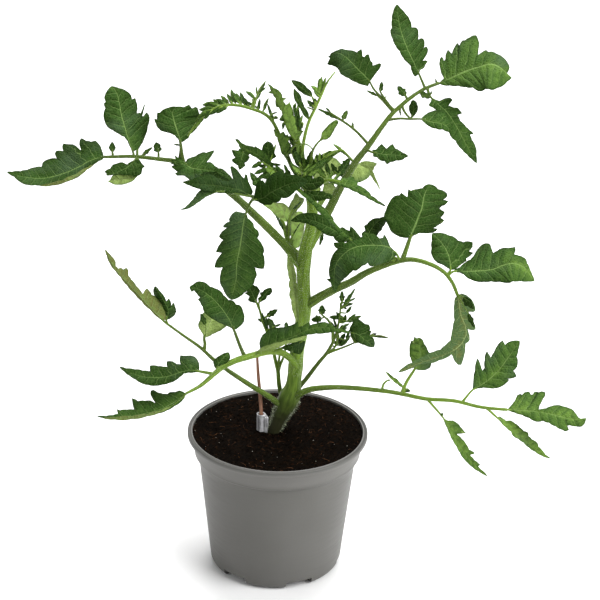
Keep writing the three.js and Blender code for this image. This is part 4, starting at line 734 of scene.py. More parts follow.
RIGHT_MIDDLE_LEAF = dict(name="leaf_right_middle", width=[7.4, 5.8, 4.4, 3.2, 2.4],
    skin=[-0.1, -0.25, -0.1, 0.15],
    route=[[305, 306, 0], [320, 297, -4], [335, 289, -8], [350, 282.5, -12], [365, 273.5, -16],
    [380, 267, -20], [395, 262, -24], [412, 259.5, -28], [432, 265, -32], [445, 273, -34], [453, 284, -36],
    [457.5, 295, -37]],
    leaflets=[
    dict(start=[397, 261], via=[[380, 251, -2]], lean=[0.7, -1], tone=0.1,
        rib=[[362, 241, -3], [350, 237, -2], [338, 232, 0], [322, 224, 3], [308, 219.5, 5],
        [290.5, 221, 7]],
        sides=[[[361, 238], [357, 233], [354, 229.3], [350.3, 226], [349.7, 231], [346, 229.5], [342, 227],
        [340, 229], [336, 225], [331.5, 220.5], [325, 216.3], [318, 213.8], [310, 213], [302, 213.5],
        [296, 216.5]],
        [[352, 241], [345, 242], [339.5, 242.3], [335.5, 240.3], [333.3, 236.5], [327, 235.3], [321, 231.3],
        [314.5, 226.7], [307.5, 223.5], [300, 222]]]),
    dict(start=[397, 261], lean=[0.5, -0.5], tone=0.5,
        rib=[[352, 241, -7], [338, 226, -8], [325, 211, -9], [312, 200, -10], [297, 189.7, -11]],
        sides=[[[346, 233], [340, 228], [336, 224.5], [332, 222], [333.7, 220], [332.3, 216.3],
        [328.7, 214.3], [327.3, 210], [322, 206], [316, 203], [308, 195.5]],
        [[344, 238], [335, 229], [327, 220], [320, 213.5], [314, 205.5], [306, 198.3]]]),
    dict(start=[400, 260], lean=[0.7, -0.7], tone=0.2,
        rib=[[396, 253, -4], [388, 246.5, -8], [376, 245, -11], [363, 245.3, -14], [352, 248, -16],
        [343, 254.5, -17], [336, 264, -18], [334, 277, -17], [335, 293, -16]],
        sides=[[[391, 247], [388.5, 240.5], [386.3, 236], [384, 233.7], [383, 237.3], [380, 238],
        [377, 235.5], [374, 233.7], [370, 234], [366.3, 233], [363.5, 232], [362.3, 237], [356, 240.3],
        [350.5, 241.5], [346, 243.3], [341, 242.7], [334, 243], [334.7, 246], [338, 249.3], [334, 252.5],
        [330.5, 258], [328.7, 266], [328.3, 273], [330, 279], [325.7, 279.3], [330.3, 283], [333, 289]],
        [[397, 255.5], [394, 256.7], [393, 259.3], [388, 262], [381, 264], [373, 266], [370, 266.5],
        [367.3, 263], [362, 266], [356.5, 270.7], [352.5, 270.5], [350, 273.5], [345, 278], [341.3, 281.3],
        [338, 286]]]),
    dict(start=[400, 260], lean=[-0.2, 0.5], tone=0.05,
        rib=[[367, 239, 2], [370, 231, 5], [376, 223, 8], [386, 216.5, 12]],
        sides=[[[362, 237], [361.5, 233.5], [365, 230.5], [364, 226], [367.3, 224], [370, 220.7],
        [373.5, 218.5], [379, 218]],
        [[372, 240], [376.5, 236.5], [379, 232], [383, 227.3], [386.3, 222.5]]]),
    dict(start=[402, 260], via=[[407, 247, 2]], lean=[-0.3, 0.6], tone=[0.05, 0.1, 0.25], skin=-0.1,
        stalk=3.2,
        rib=[[410, 238, 3], [414, 229, 5], [418, 219, 8], [422, 208, 11], [424, 196, 15], [429.5, 184, 20]],
        sides=[[[405, 238.3], [399.5, 237.3], [394.5, 234.7], [390.5, 231], [388, 225.5], [385.7, 221],
        [383.7, 217], [386, 210], [388.5, 204], [391.5, 198.5], [394, 196.3], [399, 195.5], [401.3, 192.7],
        [404.3, 195.5], [407.5, 196.7], [407.8, 192.5], [408.3, 188.8], [412, 190], [418, 188.8],
        [422.5, 188], [425, 185.3]],
        [[414, 235.3], [418.5, 233], [425, 232.7], [433, 232.3], [437.7, 228.7], [432.7, 228], [437.3, 225],
        [441.5, 222.7], [444.2, 220.3], [441.3, 218], [444.5, 215], [445.7, 212.3], [443.3, 210.3],
        [440.3, 208.7], [444, 205], [448.7, 201.3], [443, 199.7], [446, 196.3], [446.3, 193.3],
        [442.5, 190.3], [438, 189], [434.5, 185.5]]]),
    dict(start=[447, 275], lean=[-0.3, 0.7], tone=0.38,
        rib=[[450.5, 270, 2], [450, 260, 4], [447, 251, 7], [443, 244.5, 10], [438, 238.5, 12],
        [432.3, 233, 14]],
        sides=[[[447, 268], [443, 265.5], [439.3, 263], [434.3, 260.3], [432, 256], [431, 248],
        [431.7, 240]],
        [[455, 269.7], [461, 264.5], [466.5, 260.7], [466, 258], [470, 256], [473.3, 252.7], [469, 251.3],
        [472.3, 247], [472.5, 242.5], [469.5, 241.6], [463, 242.3], [459, 240], [455, 236.7], [450, 235],
        [443, 234]]]),
    dict(start=[449, 275], lean=[1.2, -1.1], tone=[0.2, 0.4, 0.65, 0.7],
        rib=[[453, 271.5, 0], [465, 271.3, -2], [478, 271, -4], [493, 269, -6], [503, 265, -7],
        [513, 263, -8], [524, 267, -10], [534.7, 281, -12]],
        sides=[[[460, 267.3], [464, 263.3], [467, 261.3], [470.5, 259.7], [474.3, 255.7], [477, 250],
        [480.3, 246.3], [485, 243.3], [489, 242.3], [491.3, 245.3], [493, 251.7], [497, 250], [501, 248.2],
        [508, 248], [515.3, 247], [515.6, 250.5], [514.3, 254.5], [518.5, 256], [522.5, 257.7],
        [525.3, 260], [526.3, 263.7], [530, 269.7], [533, 275]],
        [[459.5, 272.7], [463, 274], [466, 277], [470, 279], [476, 281.3], [484, 282], [491, 281.5],
        [500, 282], [511.3, 283], [513, 281.2], [521, 281], [528, 281.7]]]),
    dict(start=[455, 290], lean=[0.9, -0.6], under=True, tone=-0.35,
        rib=[[457.5, 295, 0], [458.5, 304, 1], [460.5, 315, 2], [464.5, 325, 3], [466, 333, 3],
        [462, 342, 2], [454, 349.5, 1], [443, 355, -1], [428, 360, -3], [413, 365.5, -5],
        [397.5, 372.5, -8]],
        sides=[[[461.5, 293.3], [466, 294.7], [470.5, 298], [473.7, 302.3], [475.7, 307], [476, 311.3],
        [474, 312.7], [468.7, 311.7], [472, 316.3], [474.5, 322.5], [476.3, 328.7], [474.5, 330.6],
        [468.3, 329.7], [470.3, 335], [470.5, 340], [468, 343], [466, 343.7], [465, 352], [463, 359.3],
        [461, 364.3], [457.5, 364], [454.3, 360], [452.5, 355.3], [450.7, 353.3], [446, 357], [439, 360],
        [432.5, 363], [427.5, 362.7], [420, 364.5], [410, 370]],
        [[455, 298], [454.3, 304], [454, 312], [454.3, 320], [452.5, 328], [451, 335], [450.3, 340],
        [445.3, 345], [440.7, 350.3], [434, 352.7], [427.7, 354.7], [424, 357], [418.3, 358.7],
        [412, 362.5], [404, 366.5]]]),
    dict(start=[457, 294], wide=9, tone=0.1, stalk=0.8,
        rib=[[463, 297, -2], [469, 301, -6], [474, 309, -10]]),
    dict(start=[457.5, 295], wide=6, tone=0.15, stalk=0.6,
        rib=[[468, 313, -6], [472, 320, -8], [474.5, 328, -10]]),
])

RIGHT_LOW_LEAF = dict(name="leaf_right_low", width=[5, 3.8, 3.2, 2.8, 2.2], skin=[0, -0.1, 0.25, 0.6],
    route=[[293, 399, 2], [302, 392.5, -4], [312, 389, -8], [325, 387.7, -13], [340, 387.3, -18],
    [360, 388.5, -24], [380, 390.5, -30], [400, 393.5, -35], [425, 398.7, -41], [455, 401, -46],
    [480, 407, -49], [507, 409.7, -51]],
    leaflets=[
    dict(start=[402, 393], via=[[406, 383, 2]], lean=[-0.3, 0.6], tone=0.75, stalk=2.4,
        rib=[[414.5, 369.5, 5], [419.5, 360, 7], [421, 350, 10], [418.5, 337.5, 14]],
        sides=[[[412.5, 363], [410.3, 357], [409.3, 350], [410.3, 343], [411.5, 340.3], [413, 344.5],
        [414.3, 336.5], [416, 339.3]],
        [[417, 369.5], [420, 370.5], [425, 370.5], [429.7, 368.3], [431.3, 364], [431, 357.5], [428.5, 351],
        [425, 344], [421.7, 339]]]),
    dict(start=[404, 394], wide=4.4, tone=0.9,
        rib=[[404, 388, 1], [396.5, 382.5, 3], [390.5, 378.5, 4], [385, 371.3, 6]]),
    dict(start=[382, 390.5], via=[[383.5, 384, 1]], wide=2, tone=0.5,
        rib=[[387, 380.7, 2], [389, 379.7, 3], [391, 380, 3]]),
    dict(start=[403, 394], wide=3.6, teeth=2, tone=0.6,
        rib=[[404, 391, 1], [407, 388.5, 1], [411, 391, 2]]),
    dict(start=[427, 399], via=[[435, 408, -3]], lean=[0.8, -1.4], tone=0.9,
        rib=[[443, 417.5, -6], [449.5, 429, -8], [456, 440, -10], [464, 452, -12], [473, 463, -14],
        [488, 476.5, -16]],
        sides=[[[446, 419.7], [449, 420.7], [453, 420.3], [457, 422.7], [461, 427], [463.7, 429.7],
        [466.3, 433.3], [462, 431.3], [458, 430.3], [455, 431.3], [458, 434.7], [462.3, 439], [466, 444],
        [469, 449.7], [474.5, 453.3], [469.7, 452.7], [470.5, 456.3], [474.3, 460], [480.7, 465],
        [477.3, 465.3], [480.5, 468.7]],
        [[444.5, 422.3], [447, 428], [449.7, 434.3], [452.3, 440.7], [456, 446.7], [460, 452.7],
        [464, 458.7], [467.7, 462.7], [472.3, 466.7], [478.3, 471.3]]]),
    dict(start=[427, 399], via=[[435, 408, -3]], wide=3, tone=0.4, stalk=0.8,
        rib=[[441, 415.5, -6], [443, 415.5, -6], [442.8, 412.7, -5]]),
    dict(start=[462, 402], lean=[0.3, -0.5], tone=0.55,
        rib=[[472.5, 390, 3], [480, 386, 5], [489, 379.5, 8], [498, 371, 12], [506, 361, 16],
        [519.8, 340.7, 26]],
        sides=[[[472.7, 387], [473.3, 380], [475, 370], [476, 362], [477.7, 357.7], [479.7, 360.5],
        [481, 366], [481, 373.5], [483.7, 368], [484, 360], [485, 354.3], [487, 351.3], [489, 354.7],
        [490.3, 359.7], [494, 352], [497, 346.5], [502.3, 340.7], [505, 345], [508, 342], [512.3, 340.5]],
        [[478, 388.7], [484, 387.7], [489.5, 388.5], [496, 388.3], [502, 386.3], [506, 383.3],
        [508.7, 380.3], [504, 378.7], [510, 378], [516, 376.3], [513.3, 371], [517.3, 366.7], [518, 359.5],
        [517, 356.3], [518.5, 350]]]),
    dict(start=[486, 408.7], lean=[1, -1.4], tone=0.95,
        rib=[[497, 417.5, -4], [505, 424, -6], [513, 431, -8], [522, 438, -11], [531, 446, -13],
        [551, 458.7, -17]],
        sides=[[[499.3, 416.3], [503, 418.5], [506, 420.7], [510, 420.3], [515, 423.3], [520, 427],
        [524, 430.3], [528.3, 432.3], [528.7, 436], [532, 439.3], [537.3, 442.7], [538.3, 447],
        [542, 450.3], [545.7, 454.7]],
        [[501, 422.3], [506, 427.3], [511, 431.7], [512.7, 435.7], [518, 439.3], [523, 443], [529, 447.7],
        [535, 451.7], [541, 455.3]]]),
    dict(start=[500, 409.5], lean=[1.3, -1.2], tone=0.75,
        rib=[[507, 409.7, 0], [520, 410.3, -2], [535, 411.3, -3], [548, 413.3, -5], [560, 416.3, -7],
        [572, 419, -8], [586.3, 418, -10]],
        sides=[[[510, 407], [513.7, 402.5], [516.5, 398.7], [517.3, 395.3], [520.3, 394], [522.3, 395],
        [524.7, 392.3], [529.3, 392], [530.7, 394.7], [532.7, 394.7], [534.5, 392], [539, 392.3],
        [541.3, 391], [546, 392], [545, 398], [542, 402.5], [539.5, 408.3], [546, 407.3], [551, 405.7],
        [556.5, 405], [563, 406.3], [569.5, 409], [574.5, 412.7], [578.3, 417], [582, 420]],
        [[515, 412.7], [522, 414.7], [529, 418], [536, 421.7], [543, 421.3], [548, 423.7], [555, 427],
        [562, 429.7], [565.3, 431.3], [569.5, 429.7], [565, 426.3], [570, 425.3], [576, 426.3],
        [581.3, 426.3], [585, 423]]]),
])

LEFT_LOW_LONG_LEAF = dict(name="leaf_left_low_long", width=[4.8, 4, 3.2, 2.4, 1.8], skin=[0.15, -0.25, 0],
    route=[[284, 409, 3], [275, 401, 0.5], [265, 394, 0], [255, 388, 2.5], [240, 378.5, 9], [226, 369, 17],
    [213, 359, 25], [201, 348, 32], [182, 334.5, 43], [164, 321.5, 50]],
    leaflets=[
    dict(start=[172, 327], lean=[1.3, 0.4], under=True, tone=[0.2, 0.12, 0.05, 0.3],
        rib=[[163.5, 321, 0], [154, 312, 3], [143, 300.3, 6], [130, 286, 10], [118, 273, 14],
        [110.5, 261.5, 17], [105, 249, 20]],
        sides=[[[167, 319], [169, 313], [169.7, 308], [166, 303], [162.5, 299], [157, 297], [152, 294.5],
        [150, 291], [147, 288], [145, 289.5], [143, 293.5], [136.5, 286], [131, 280], [128, 276],
        [127.8, 270.5], [126.3, 268], [123, 269.7], [121, 267.7], [118.3, 268.7], [115.7, 266],
        [115.7, 262], [112, 256], [108.5, 252.3]],
        [[159.5, 319], [150, 309.7], [142, 301], [134, 293], [127, 285.3], [120, 277.5], [115, 271.5],
        [109.7, 263.5], [106.7, 256]]]),
    dict(start=[167, 324], lean=[1.1, 1.4], tone=0.1,
        rib=[[166.3, 320, 1], [168.5, 311, 4], [164, 301, 9], [155, 286, 15]],
        sides=[[[164, 313], [161, 303], [153.5, 294.5], [153, 290]],
        [[170, 319], [174.3, 316], [176.3, 311.5], [175.3, 307], [173.3, 302.5], [172.3, 306],
        [171.3, 309.3], [170.8, 303.5], [168.7, 298], [166.5, 301], [164.3, 296], [159.3, 290.3]]]),
    dict(start=[204, 350.5], via=[[205, 344, 2]], lean=[-0.3, -0.5], under=True, tone=0.75, stalk=2.4,
        rib=[[204, 337.5, 3], [208, 328, 7], [211, 320, 11], [214, 312, 15]],
        sides=[[[203, 334], [200.3, 330], [198, 325.5], [200, 320], [201, 315], [206, 311]],
        [[208, 337], [212.3, 334.5], [218, 332], [223, 329], [227, 325.5], [225, 318]]]),
    dict(start=[204, 351], wide=6, tone=0.1, stalk=0.6,
        rib=[[205.5, 325, 0], [202.5, 319.5, 2], [200.5, 313, 4]]),
])

LEFT_LOW_FRONT_LEAF = dict(name="leaf_left_low_front", width=[5.4, 4.8, 4.8, 3.6, 1.8],
    skin=[0, 1, 0, 0.15],
    route=[[297, 368, 0], [291, 359, -5], [281, 352.5, -10], [270, 351.5, -15], [258, 354, -20],
    [245, 357.5, -26], [232, 362, -32], [222, 367.5, -37], [213, 375, -45], [200, 386, -52],
    [186, 393.5, -59]],
    leaflets=[
    dict(start=[192, 390], lean=[1.2, -1], tone=0.35,
        rib=[[186, 393.7, 0], [178, 400, -2], [168, 406, -4], [155, 411.3, -6], [141, 414.3, -8],
        [126, 416.3, -11], [96.5, 416.5, -15]],
        sides=[[[183, 391.3], [179, 390], [175, 391.5], [170, 391.5], [167.3, 393.7], [163, 393.7],
        [158, 392.7], [153.5, 390.3], [151, 391.3], [150.8, 394.7], [153, 399], [155.5, 403.3], [151, 401],
        [145, 401.3], [138, 401.7], [132, 398.3], [132.3, 403], [134, 408.7], [127, 408.5], [120, 409.7],
        [116.5, 408.7], [117.7, 413.5], [113, 414.7], [106, 416]],
        [[185.5, 396], [182, 401.3], [175, 406.3], [167, 410.7], [158, 413.3], [150, 415.3], [143, 416.7],
        [135, 418], [127, 419.3], [116, 419], [106, 418]]]),
    dict(start=[190, 391.5], lean=[0, 0], under=True, tone=0.4, stalk=0.5,
        rib=[[172, 406, -11], [160, 411.5, -13], [147, 415.4, -14.5], [132, 417.7, -15],
        [102.6, 418.2, -15]],
        sides=[[[160, 410.7], [147, 414.2], [132, 416.3], [115, 417.3]],
        [[160, 412.6], [147, 416.5], [132, 419], [115, 419.6]]]),
    dict(start=[214, 374], lean=[1.4, -1.2], tone=0.02, stalk=2.2,
        rib=[[199, 371.3, 0], [189, 370.3, -1], [179, 372.7, -2], [168, 376.3, -4], [157, 377.5, -5],
        [144, 376.7, -6], [131, 372.7, -7], [119, 366.7, -8]],
        sides=[[[199.7, 367.5], [199.3, 363], [197.5, 359], [195, 356.3], [191, 355], [184, 355.3],
        [180, 355], [179.5, 359], [180.5, 364.3], [177, 364.3], [172.5, 361.7], [167, 361.7],
        [167.3, 367.3], [163, 367], [158, 366.7], [149.7, 365.3], [149.7, 370.3], [143, 369.7], [135, 369],
        [126, 368.3]],
        [[194, 372.7], [188.5, 373], [184, 374], [180, 377.3], [175, 380.7], [169, 382.7], [162, 384.5],
        [155, 385.7], [148, 384.7], [141, 383.3], [135, 380], [129.5, 376.3], [124.5, 372]]]),
    dict(start=[219, 369], lean=[0.6, -0.4], tone=0.35,
        rib=[[216.5, 370, 1], [218.5, 364, 3], [223, 358.5, 5], [229, 352.3, 9]],
        sides=[[[214.3, 367], [213, 362.3], [215.3, 358.7], [219, 356], [224, 353]],
        [[218.5, 368.5], [223, 365.3], [227.5, 362], [230.3, 358]]]),
    dict(start=[256, 355], lean=[0.9, -0.6], tone=0.48,
        rib=[[260, 350, -2], [268, 345.5, -4], [280, 341, -6], [293, 336.7, -7], [304, 331.5, -8],
        [316, 327.7, -8], [329, 327.7, -8], [351, 333, -8]],
        sides=[[[259.3, 343], [260.3, 338.7], [262.5, 334.7], [266.5, 331.7], [271, 328.5], [278, 327.5],
        [285, 327], [291, 325], [294.5, 323.7], [297.7, 321.7], [298, 327.5], [303, 326.3], [309.3, 322.3],
        [310.5, 325.3], [317, 323.7], [325, 322.3], [330.5, 324.7], [336, 328], [341.5, 328.7]],
        [[268, 348.5], [277, 345.5], [286, 342.7], [295, 340.3], [302, 337.7], [308, 334.7], [316, 333.7],
        [325, 333.3], [333, 331.7], [342, 332.3]]]),
    dict(start=[258, 354], lean=[0.3, -0.3], under=True, tone=0.8,
        rib=[[257, 353.5, -4], [270, 347.5, -8], [285, 343, -10.5], [298, 339.3, -11.5], [307, 335.8, -12]],
        sides=[[[262, 347], [270, 344.8], [280, 342.2], [290, 340], [298, 337.6]],
        [[262, 351], [272, 349], [280, 347], [285, 344.3], [292, 342.7], [299, 341], [304, 339]]]),
    dict(start=[245, 357.5], via=[[240, 346, 4]], lean=[0.7, -0.6], tone=0.25, skin=-0.3, stalk=2.6,
        rib=[[234, 330, 7], [228.5, 318, 9], [220, 306, 11], [210, 296, 13], [199, 289.3, 15],
        [189.3, 287, 16]],
        sides=[[[236.5, 329], [241, 325.5], [244, 321.3], [244.3, 315.5], [242.5, 309.3], [240, 305.3],
        [236, 304.5], [233, 300.7], [229, 299.7], [224.5, 295], [220.5, 290.7], [215, 288.3], [210, 286.7],
        [208, 285], [204.5, 282.7], [201, 282], [197.5, 281.7], [193, 284.3]],
        [[231, 328], [228, 326.7], [222, 324], [214.5, 320], [208.5, 316], [203.7, 311.3], [202.7, 307],
        [200, 302], [197.7, 299.3], [199.7, 297.3], [197, 294], [194, 290.7], [191.7, 292.3]]]),
    dict(start=[272, 351.5], tone=0.05,
        rib=[[303, 341, -6], [294, 346, -9], [281, 347.7, -12]],
        sides=[[[298, 341.3], [291, 343.3], [285.5, 345.5]],
        [[305.5, 341], [304.5, 346], [303, 350.5], [300.5, 354.3], [296, 353.5], [291, 352],
        [287, 350.3]]]),
])

BEHIND_LEAF = dict(name="leaf_behind", width=[5, 3.6, 2.4, 2], under=True, tone=0.75, skin=[0.2],
    route=[[311, 214, 2], [319, 205, 20], [329, 190, 42], [338, 176, 60], [350, 168, 74]],
    leaflets=[
    dict(start=[321, 203], rib=[[318, 196, 0], [310, 186, -2], [302, 176, -2]], wide=20, lean=[0.8, -0.8]),
    dict(start=[322, 203], lean=[-0.7, 0.7],
        rib=[[322, 193, 4], [330, 188, 6], [344, 190, 8]],
        sides=[[[324, 184], [331, 183], [335, 186], [339, 189.3]],
        [[326, 194.5], [333, 196.5], [339, 194]]]),
    dict(start=[333, 184], lean=[-0.7, 0.7],
        rib=[[330, 181, 2], [322, 174, 4], [313, 177, 6]],
        sides=[[[328, 186], [320, 182.7], [315, 180]],
        [[334, 174], [326, 166], [319, 165.5], [314.5, 171]]]),
    dict(start=[338, 174], lean=[-0.7, 0.7],
        rib=[[338, 174, 2], [332, 164, 4], [326, 156, 6]],
        sides=[[[332, 176], [325, 170], [321, 162]],
        [[343, 168], [339, 161], [332, 157]]]),
    dict(start=[350, 168], lean=[-0.8, 0.8], tone=0.7,
        rib=[[350, 167, 0], [359, 166, 2], [368, 168, 4]],
        sides=[[[348, 176], [352, 180], [357, 182.7], [364, 180.5], [369, 177.3], [371, 173.5]],
        [[350, 164.5], [357, 162.5], [362, 165.5]]]),
    dict(start=[350, 168], lean=[-0.5, 0.5], tone=0.5,
        rib=[[357, 165, 3], [367, 165.5, 3.5], [374, 175, 4.5], [380.5, 190, 5.5]],
        sides=[[[362, 168], [368, 171], [372, 177.5], [376.5, 184]],
        [[362, 161.5], [369, 161], [377.5, 163.5], [374.5, 167], [372.5, 171], [376, 180]]]),
    dict(start=[345, 170], wide=9, under=False, tone=0.1,
        rib=[[343, 168, 4], [347, 162, 6], [350, 158, 8]]),
    dict(start=[340, 174], wide=8, under=False, tone=0.1,
        rib=[[340, 172, -4], [346, 174, -6], [350, 181, -8]]),
    dict(start=[338, 176], wide=6, under=False, tone=0.1,
        rib=[[337, 174, -4], [333, 170, -5], [331, 163, -6]]),
    dict(start=[337, 175], wide=10, teeth=4, under=False, tone=0.3,
        rib=[[338, 175, -8], [344, 167, -9], [350, 159, -10]]),
    dict(start=[330, 180], wide=7, teeth=4, under=False, tone=0.9,
        rib=[[326, 178, -8], [319, 172, -9], [315, 165, -10]]),
    dict(start=[330, 180], wide=5, teeth=3, under=False, tone=0.4,
        rib=[[329, 176, -8], [325, 169, -9], [326, 161, -10]]),
])

# The pale leaf's high tone is partly its underside's paleness and partly painted light, lifting it in the
# shade behind the stem
PALE_LEAF = dict(name="leaf_pale", width=[3.8, 3, 2], under=True, tone=1.3, skin=[0.7],
    route=[[303, 256, 2], [293, 249, 10], [287, 238, 15], [284, 226, 19], [279, 214, 24], [268, 206, 30]],
    leaflets=[
    dict(start=[286, 234], lean=[-0.5, 0.4],
        rib=[[288, 222, 1], [283, 211, 3], [275, 206, 5], [262, 203.5, 9]],
        sides=[[[291, 216], [289, 208], [284, 203.5], [278, 202.5], [270, 203]],
        [[284, 221.5], [281, 219.5], [277, 216.5], [272, 211.5], [266, 207]]]),
    dict(start=[290, 245], lean=[-0.4, 0.3],
        rib=[[291.5, 243, 1], [296, 234, 2], [300, 223, 3], [302, 211.5, 4]],
        sides=[[[290.7, 236], [291, 229], [290.5, 222.5], [291, 216], [297, 211.5]],
        [[293.7, 249], [299, 247.3], [302, 242], [303.7, 234], [304.3, 226], [305, 216]]]),
    dict(start=[285, 230], lean=[-0.4, 0.3], tone=0.5,
        rib=[[289, 222, 1], [292, 209, 2], [300, 197, 4]],
        sides=[[[287, 214], [289.5, 205], [293, 199], [296, 192.5]],
        [[293, 215], [298, 209], [303, 203.7], [304.3, 198.5]]]),
    dict(start=[289, 242], rib=[[289, 238, 0], [286.5, 228, 1], [288.5, 218, 2]], wide=6, tone=0.2),
    dict(start=[287, 238], wide=3, under=False, tone=0.1,
        rib=[[285, 232, -2], [281.5, 222, -3], [275, 214, -4]]),
    dict(start=[290, 244], wide=1.6, under=False, tone=0.1,
        rib=[[292, 237, -2], [296, 230, -3], [300, 223, -3]]),
    dict(start=[289, 240], wide=2.6, under=False, tone=0.1,
        rib=[[291, 212, -2], [296, 206.5, -3], [302, 200.5, -3]]),
])

FOLDED_LEAF = dict(name="leaf_folded", width=[2.4, 1.8],
    route=[[303, 272, 0], [294, 263, -5], [288, 255, -8]],
    leaflets=[
    dict(start=[288, 255], lean=[-0.8, -1.4], under=True, tone=0.75,
        rib=[[288, 254.5, 0], [292.5, 270, 1], [294.5, 285, 1], [296, 302, 1], [297, 322, 2]],
        sides=[[[287, 262], [288, 272], [289.7, 280], [288.6, 285], [290.3, 289.5], [289, 295], [291, 300],
        [291.5, 306], [293.7, 314]],
        [[291.7, 262], [295, 270], [296.7, 282], [297.7, 297], [298, 310]]]),
])

LEFT_SIDE_SHOOT = dict(name="side_shoot_left", width=[3.8, 3, 2.2, 1.6], skin=[0.1],
    route=[[288, 401, 5], [281.5, 394, 10], [279, 384, 11], [278, 371, 12], [275.5, 361, 13],
    [273.5, 352, 14], [267, 332, 17], [262.5, 321, 19], [260, 311, 20], [257.5, 304, 21]],
    leaflets=[
    dict(start=[259, 308], lean=[0.4, -0.3], tone=0.25,
        rib=[[257, 303.5, 0], [253.5, 296, 2], [247, 282, 6]],
        sides=[[[253, 302.7], [249.5, 301.7], [247.7, 300], [249.3, 296.3], [244.7, 293.3], [247.3, 291.7],
        [245.7, 287.3]],
        [[257, 299], [258.3, 295.3], [260.3, 291], [257.5, 286.7], [254, 285.3], [250.5, 282]]]),
    dict(start=[259, 308], tone=0.15,
        rib=[[258.7, 303, 0], [264, 295.5, 2], [271.3, 287.7, 4]],
        sides=[[[257.7, 298.3], [260.7, 296], [259.7, 292.7], [262.7, 292], [265, 289.3], [268.7, 287.7]],
        [[262.7, 301], [266.3, 299], [267, 296], [270, 295], [272.5, 291.3]]]),
    dict(start=[262, 319], rib=[[266.5, 316.7, 0], [271.5, 313, 2], [278, 309.3, 4]], wide=7.5, tone=0.1),
], slips=[
    [4, [263, 322, 0], [261, 320, 1], [257.5, 318.5, 2]],
    [3, [268, 332, 0], [266.5, 322, 1], [262, 312, 2]], [4, [267, 333, 1], [268, 325, 2], [266.5, 317, 3]],
    [8.5, [274, 330, 0], [271.7, 324, 2], [268, 317.7, 3]],
    [5, [276, 330, 1], [272, 329, 2], [269, 331, 2]], [3, [272, 328, 0], [276, 325, 1], [281.5, 323.7, 2]],
    [5.6, [286, 330, 0], [286.3, 326.3, 1], [286.3, 321.7, 2]],
], branches=[
    dict(route=[[278, 373, 12], [278.3, 365, 12], [279.5, 354, 13], [277, 338, 14]], width=[2, 1.4]),
    dict(route=[[278, 373, 12], [280.5, 364, 13], [284, 356, 14], [286, 344, 15]], width=[2.4, 1.6]),
])

RIGHT_SIDE_SHOOT = dict(name="side_shoot_right", width=[3.8, 3.2, 2.6, 1.8, 1.2], skin=[-0.45, -0.1],
    route=[[294, 394, 6], [300, 386, 8], [306, 379, 10], [313, 370, 12], [320, 361, 14], [326, 354, 16],
    [331, 346, 18], [335, 337, 19], [338, 326, 21], [340, 313, 23], [340.7, 303, 25]],
    leaflets=[
    dict(start=[333, 342], via=[[331, 325, 2], [325, 317, 3]], wide=9, tone=0.2,
        rib=[[322, 318.5, 3], [318, 316, 4], [311, 320, 5]]),
    dict(start=[333, 342], via=[[333, 330, 2], [327, 319, 3]], wide=9, tone=0.15,
        rib=[[322, 315, 3], [319, 311, 4], [322, 304.7, 5]]),
    dict(start=[341, 305], rib=[[342, 302, 0], [342, 296.5, 1], [342, 290.7, 2]], wide=6.5, tone=0.2),
    dict(start=[341, 308], wide=5, teeth=4, tone=0.4,
        rib=[[342.5, 308, 0], [347.5, 300.5, 1], [352, 296, 2], [355.3, 288, 3]]),
], slips=[
    [3, [343, 307, 0], [345.5, 306.7, 1], [347, 309, 1]],
    [3.6, [344, 306, 0], [349, 303, 1], [353.5, 303.5, 2]],
    [3, [347, 302, 0], [351, 299.5, 1], [355.7, 298, 2]],
    [3.4, [346, 313, 1], [350, 311, 1], [352, 305.7, 2]],
    [6, [345, 318, 0], [337, 316, 1], [328.5, 317, 2]],
    [4, [341, 319, 1], [338.5, 315, 1], [336, 311.5, 2]],
    [5.6, [346, 322, 0], [352, 318.5, 1], [361.7, 315.7, 2]],
    [4, [345, 321, 1], [346.5, 318, 1], [345.5, 314.3, 2]],
    [4.4, [348, 321, -1], [353, 317, -1], [356, 313.7, 0]],
    [3.6, [344, 323, 0], [342, 319, 0], [341, 315, 1]],
    [3.4, [338, 330, 2], [336.5, 324, 3], [333, 318, 3]],
    [3, [337, 332, 2], [333, 327, 3], [330.5, 321, 3]],
    [3.6, [339, 330, -1], [344, 325, -1], [350, 323, 0]],
    [3, [337, 334, -1], [342, 329.5, -1], [348, 327, 0]], [3, [336, 336, 1], [340, 332, 1], [343, 324, 1]],
    [6, [338, 344, 2], [341.5, 338, 3], [345.5, 333, 4]],
    [4.4, [336, 347, 2], [337.5, 340, 3], [339, 334, 3]],
    [4.4, [343, 345, 2], [346.5, 341, 3], [350.5, 335, 3]],
    [4, [341, 346, 1], [345, 344, 1], [344, 338, 2]], [4, [333, 342, 2], [332.5, 336, 3], [333, 331, 3]],
    [3.6, [346, 340, 0], [349, 336, 0], [350, 329, 0]],
], branches=[
    dict(route=[[326, 354, 16], [333, 351, 17], [343, 347.5, 18], [357, 341.7, 19]], width=[2.4, 1.6, 1.2],
        leaflets=[
        dict(start=[355, 342], lean=[1.1, -0.9], tone=0.2,
            rib=[[350.5, 333, 1], [357, 334, -1], [365, 339.5, -4], [374, 347.3, -8]],
            sides=[[[349.3, 328], [352, 323.7], [353.7, 319.3], [357.5, 318.3], [361, 320.7], [365, 324],
            [368.7, 324.7], [370.3, 329.3], [367, 330.5], [371.3, 331], [370.7, 334], [373.3, 337.5],
            [374.7, 342]],
            [[351, 336], [354, 338.5], [357, 342], [360.5, 343.7], [364, 345.3], [369, 347]]]),
        dict(start=[355, 342], rib=[[371, 336.3, 0], [380, 335.3, 0], [389.5, 338, 0]], wide=2, tone=0.2),
        dict(start=[355, 342], wide=3.6, tone=0.2,
            rib=[[371, 335.5, 1], [373.5, 333.5, 1], [377, 333.5, 1]]),
    ]),
    dict(route=[[328, 353, 16], [335, 347, 18], [337.5, 338, 19], [336.5, 328, 20]], width=[2, 1.3]),
])

